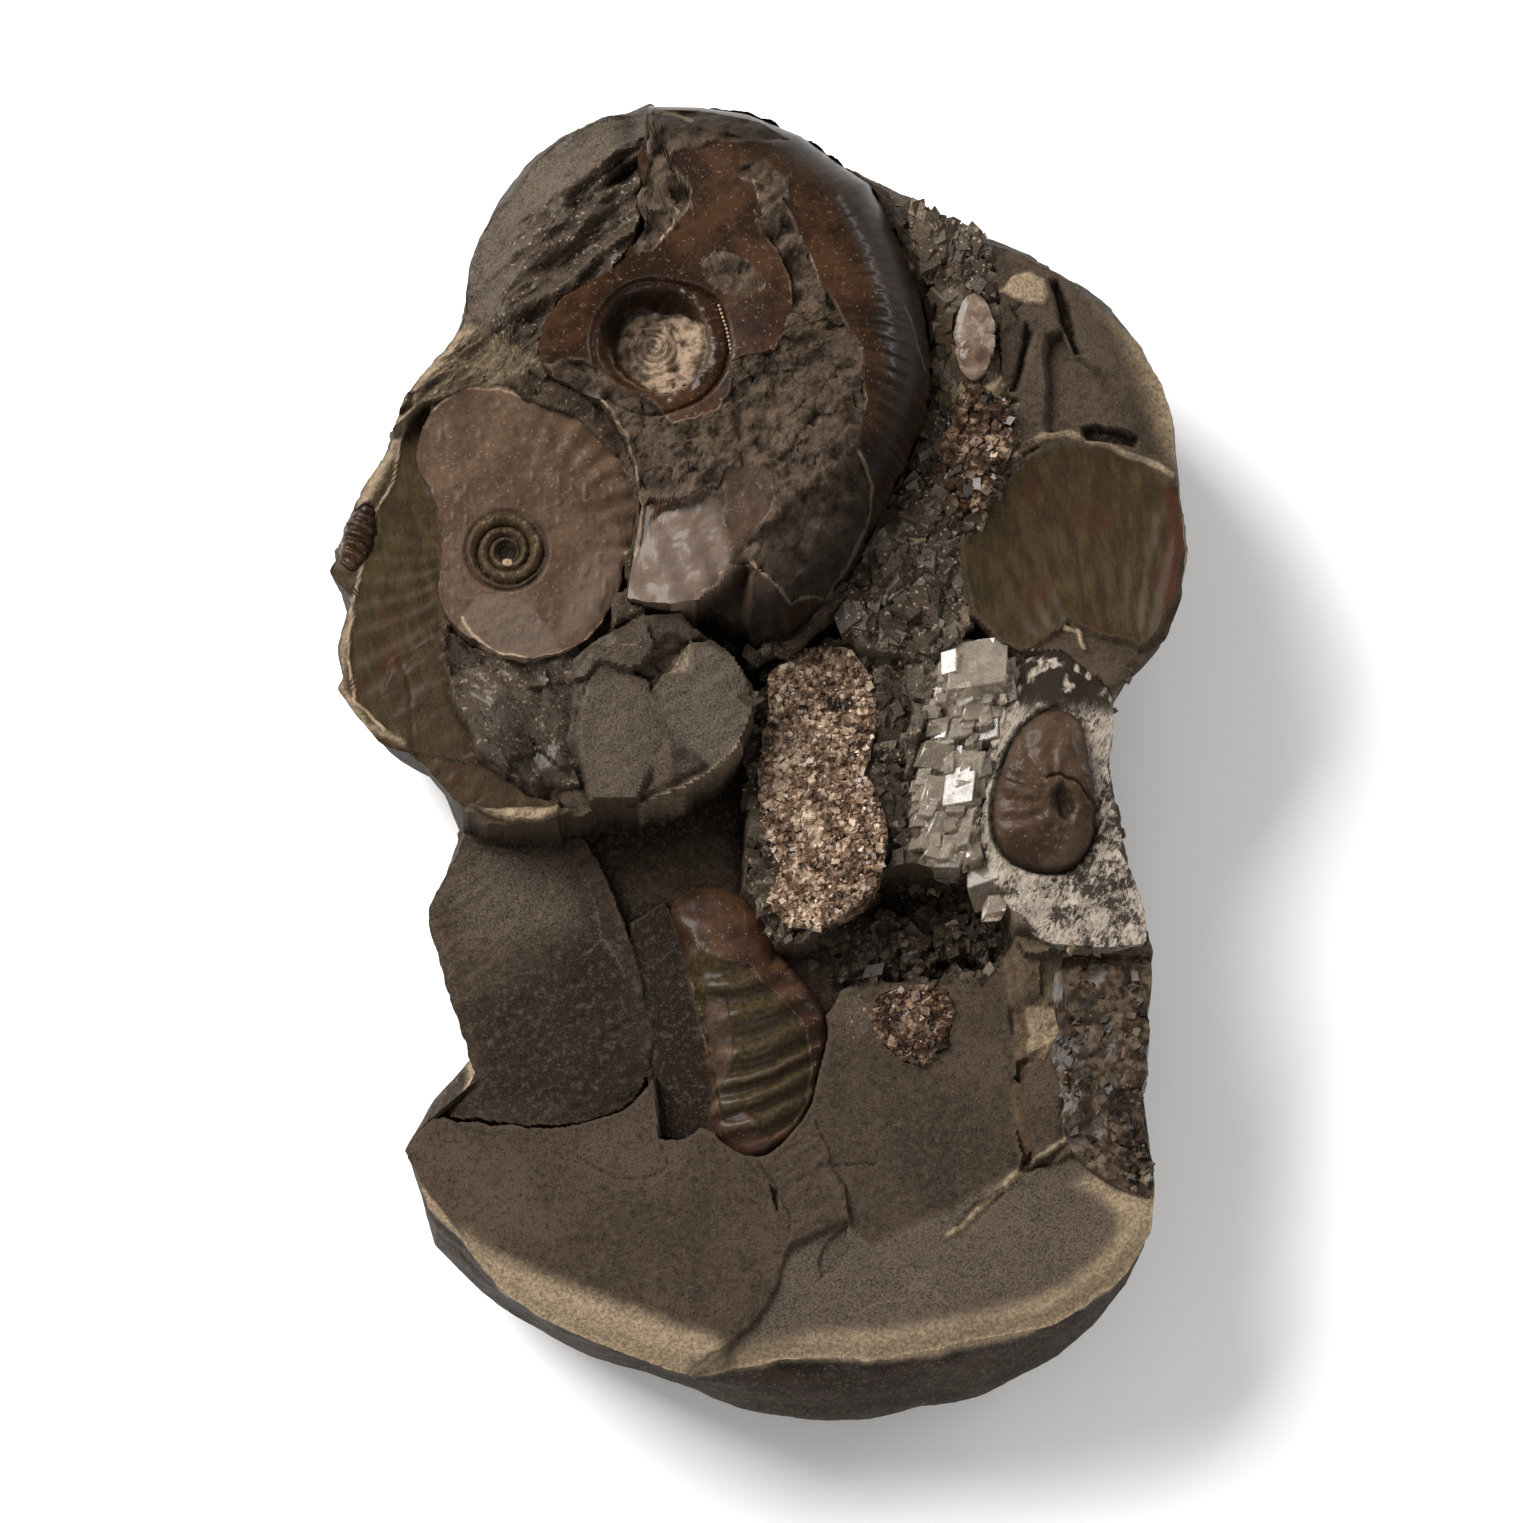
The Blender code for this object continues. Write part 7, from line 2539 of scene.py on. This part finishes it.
BLOCKS = (
    Block(975, 674, (13.5, 12.0, 9.0), 10, 63.2, 0.75), Block(953, 666, (4.0, 5.5, 6.0), 10, 63.8, 1.0),
    Block(979, 711, (10.0, 5.5, 7.0), 8, 61.0, 0.45), Block(986, 728, (6.5, 6.5, 6.0), 12, 59.8, 0.10),
    Block(931, 754, (7.0, 6.2, 6.0), -8, 61.2, 0.08), Block(964, 765, (9.0, 6.2, 6.0), 5, 60.8, 0.60),
    Block(932, 795, (7.0, 8.0, 7.0), -6, 61.2, 0.90), Block(960, 793, (7.2, 7.6, 7.0), 6, 61.8, 0.80),
    Block(936, 830, (8.0, 9.0, 8.0), -12, 60.4, 0.60), Block(964, 836, (9.0, 9.0, 8.0), 4, 60.8, 0.40),
    Block(986, 872, (7.6, 9.0, 8.0), 14, 59.0, 0.10), Block(994, 902, (4.6, 4.2, 5.0), 8, 58.4, 0.85),
    Block(944, 736, (5.5, 5.0, 6.0), 15, 60.2, 0.35), Block(1008, 690, (5.0, 6.0, 6.0), 22, 60.2, 0.30),
    Block(950, 856, (6.0, 5.5, 6.0), -4, 59.8, 0.55),
)


@dataclass(frozen=True)
class ClearBlocks:
    """The clear blocks, and small ones of the same orientation between them."""

    small: int = 190

    def build(self) -> Any:
        """Places the large blocks, and small ones between them.

        Returns:
            The joined blocks, with worn edges.
        """
        rng = np.random.default_rng(7)
        spread_x = rng.uniform(912, 1008, self.small * 4)
        spread_y = rng.uniform(648, 905, self.small * 4)
        x, y = PICTURE.place(spread_x, spread_y, 59.0)
        fits = Outline(CLEAR.pixels, 59.0).depth(x, y) > 0.5
        x, y = x[fits][: self.small], y[fits][: self.small]
        count = len(x)
        small_sides = rng.uniform(1.3, 4.6, (count, 1)) * rng.uniform(0.7, 1.3, (count, 3))
        top_x, top_y = PICTURE.place(
            np.array([b.column for b in BLOCKS]), np.array([b.row for b in BLOCKS]), 61.0,
        )
        sides = np.vstack([np.array([b.sides for b in BLOCKS]), small_sides])
        tops = np.append([b.top - 0.8 for b in BLOCKS], rng.uniform(58.2, 61.0, count))
        milk = np.append([b.milk for b in BLOCKS], rng.random(count))
        yaw = np.radians(np.append([b.turn for b in BLOCKS], rng.normal(4, 12, count))) / 2
        tilt = rng.normal(0.0, 0.13, (len(yaw), 2))
        spin = np.stack([np.cos(yaw), tilt[:, 0], tilt[:, 1], np.sin(yaw)], axis=1)
        centres = np.stack([np.append(top_x, x), np.append(top_y, y), tops - sides[:, 2] / 2], axis=1)
        corners, faces = rhombs(centres, sides, spin)
        milk = np.repeat(milk, 8)
        piece = write_mesh(
            "clear_calcite_blocks", corners, faces, {"zones": stack_colours(milk, 0 * milk, 0 * milk)}, 20,
        )
        bevel = piece.modifiers.new("worn_edges", "BEVEL")
        bevel.width = 0.22 * MM
        bevel.segments = 1
        return piece


# The studio


@dataclass(frozen=True)
class Softbox:
    """A lamp: its place in metres, its width and height, its power in watts and its colour."""

    name: str
    place: Colour
    size: tuple[float, float]
    power: float
    colour: Colour


@dataclass(frozen=True)
class Studio:
    """A pale floor, soft light from the upper left and the camera."""

    distance: float = 5.0
    sensor: float = 36.0
    aim_height: float = 55.0
    surround: float = 0.35
    floor_half: float = 12000.0
    lamps: tuple[Softbox, ...] = (
        Softbox("key", (-1.05, 0.78, 1.20), (1.1, 1.1), 71.0, (1.0, 0.99, 0.975)),
        Softbox("fill", (0.45, -1.30, 1.15), (1.0, 1.0), 8.0, (1.0, 0.995, 0.985)),
        Softbox("strip", (1.20, 0.74, 0.42), (0.9, 0.08), 8.0, (1.0, 0.99, 0.97)),
    )

    def floor(self) -> None:
        """A wide, pale plane under the stone."""
        half = self.floor_half
        points = np.array([[-half, -half, 0], [half, -half, 0], [half, half, 0], [-half, half, 0]], float)
        floor = write_mesh("floor", points, np.array([[0, 1, 2, 3]]), {})
        graph = Graph("floor")
        graph.surface(Base_Color=(0.93, 0.93, 0.93), Roughness=0.9)
        floor.data.materials.append(graph.material)

    def light(self, softbox: Softbox) -> None:
        """Adds a softbox that faces the stone.

        Args:
            softbox: The softbox.
        """
        data = bpy.data.lights.new(softbox.name, "AREA")
        data.shape = "RECTANGLE"
        data.size, data.size_y = softbox.size
        data.energy = softbox.power
        data.color = softbox.colour
        lamp = bpy.data.objects.new(softbox.name, data)
        lamp.location = softbox.place
        lamp.rotation_euler = vector_turn(np.array([0.0, 0.0, 0.05]) - np.array(softbox.place))
        bpy.context.scene.collection.objects.link(lamp)

    def lights(self) -> None:
        """The lamps and an even pale surround."""
        for softbox in self.lamps:
            self.light(softbox)
        world = bpy.data.worlds.new("surround")
        world.use_nodes = True
        background = world.node_tree.nodes["Background"]
        background.inputs["Color"].default_value = (1.0, 1.0, 1.0, 1.0)
        background.inputs["Strength"].default_value = self.surround
        bpy.context.scene.world = world
        bpy.context.scene.view_settings.view_transform = "Standard"

    def camera(self) -> None:
        """A long lens whose frame covers the photograph's, pixel for pixel, at the stone's mid height."""
        centre = PICTURE.side / 2
        x, y = PICTURE.place(centre, centre, self.aim_height)
        aim = np.array([float(x) * MM, float(y) * MM, self.aim_height * MM])
        back = np.array([0.0, -math.sin(PICTURE.lean), math.cos(PICTURE.lean)])
        data = bpy.data.cameras.new("camera")
        data.sensor_width = self.sensor
        data.lens = self.sensor * self.distance / (PICTURE.side * PICTURE.pixel * MM)
        data.clip_end = 50.0
        camera = bpy.data.objects.new("camera", data)
        camera.location = aim + back * self.distance
        camera.rotation_euler = (PICTURE.lean, 0.0, 0.0)
        bpy.context.scene.collection.objects.link(camera)
        bpy.context.scene.camera = camera

    def set_up(self) -> None:
        """Makes the camera, floor and lights."""
        self.camera()
        self.floor()
        self.lights()


def vector_turn(direction: Array) -> tuple[float, float, float]:
    """Points an object's -Z along a direction.

    Args:
        direction: The direction.

    Returns:
        Euler angles in radians.
    """
    flat = math.hypot(direction[0], direction[1])
    tilt = math.atan2(flat, -direction[2])
    return tilt, 0.0, math.atan2(-direction[0], direction[1])


# Everything in order


def build_fossils() -> None:
    """The five shells."""
    brown, grey, olive = BROWN_SHELL.material(), GREY_SHELL.material(), OLIVE_SHELL.material()
    large = LargeAmmonite("large_ammonite_shell", LARGE, spokes=580, rings=110, ragged=0.8, seed=201)
    dress(large.build(), brown, "brown_shell", "large_ammonite")
    dress(Beads().build(), brown, "brown_shell", "large_ammonite")
    left = DiscAmmonite("left_ammonite_shell", LEFT, spokes=320, rings=84, ragged=0.5, seed=211)
    dress(left.build(), grey, "grey_shell", "left_ammonite")
    small = SmallAmmonite("small_ammonite_shell", SMALL, spokes=200, rings=60, ragged=0.1, seed=221)
    dress(small.build(), SATIN_SHELL.material(), "brown_shell", "small_ammonite")
    ribbed = RibbedAmmonite("ribbed_ammonite_shell", RIBBED, spokes=260, rings=75, ragged=0.3, seed=231)
    dress(ribbed.build(), olive, "olive_shell", "ribbed_ammonite")
    tiny = EdgeAmmonite("edge_ammonite_shell", TINY, spokes=80, rings=36, ragged=0.3, seed=241)
    dress(tiny.build(), brown, "brown_shell", "edge_ammonite")


@dataclass(frozen=True)
class Mass:
    """A calcite mass: its crust's level, relief and face size in mm, and its crowd of crystals."""

    node: str
    inset: Inset
    slot: str
    finish: Any
    mesh: tuple[int, int]
    level: float
    relief: float
    facet: float
    count: int = 0
    sizes: tuple[float, float] = (0.5, 1.0)
    lift: float = 0.5
    low_fade: float = 0.0

    def build(self, order: int, material: Any) -> None:
        """Builds and dresses the crust and the crystals that stand in it.

        Args:
            order: Its place among the masses, for its seeds.
            material: Its material.
        """
        bed = self.inset is BED
        crust = CalciteCrust(
            self.node + "_crust", self.inset, spokes=self.mesh[0], rings=self.mesh[1], ragged=0.4,
            seed=300 + 10 * order, level=self.level, relief=self.relief, facet=self.facet,
            moat=SMALL.pixels if bed else (),
        )
        dress(crust.build(), material, self.slot, self.node)
        if self.count:
            crowd = CrystalCrowd(
                self.node + "_crystals", Outline(self.inset.pixels, self.level), self.level, self.count,
                *self.sizes, self.lift, 400 + order, Outline(SMALL.pixels, SMALL.edge) if bed else None,
                self.low_fade,
            )
            dress(crowd.build(), material, self.slot, self.node)


def build_crystals() -> None:
    """The calcite masses, and the clear blocks on their bed."""
    masses = (
        Mass("central_calcite", CENTRAL, "sugar_calcite", SUGAR, (150, 50), 57.0, 1.3, 3.0,
             5200, (0.45, 1.7), 0.9, 0.16),
        Mass("lower_calcite", LOWER, "brown_calcite", BROWN_GRAINS, (90, 40), 51.0, 1.0, 2.4,
             520, (0.7, 2.0), 0.5),
        Mass("upper_calcite", UPPER, "brown_calcite", BROWN_GRAINS, (110, 50), 62.6, 1.4, 3.0,
             700, (0.7, 2.4), 0.7),
        Mass("oval_calcite", OVAL, "pink_calcite", PINK, (100, 45), 65.2, 0.7, 3.4),
        Mass("pale_calcite_bed", BED, "white_calcite", FIBRES, (190, 80), 59.4, 1.0, 1.8),
        Mass("dark_calcite", DARK, "brown_calcite", DARK_GRAINS, (130, 70), 52.4, 2.4, 4.2,
             230, (0.6, 2.2), 0.2),
        Mass("clear_calcite", CLEAR, "white_calcite", MILKY, (110, 50), 57.4, 1.6, 4.0, 220, (0.8, 2.4), 0.5),
    )
    made: dict[str, Any] = {}
    for order, mass in enumerate(masses):
        key = repr(mass.finish)
        made.setdefault(key, mass.finish.material())
        mass.build(order, made[key])
    dress(ClearBlocks().build(), ClearCalcite().material(), "clear_calcite", "clear_calcite")


def main() -> None:
    """Builds the plate and its studio."""
    logging.basicConfig(level=logging.INFO, format="%(name)s: %(message)s")
    Studio().set_up()
    NoduleRock().make()
    build_fossils()
    build_crystals()
    bpy.context.view_layer.update()


if __name__ == "__main__":
    main()
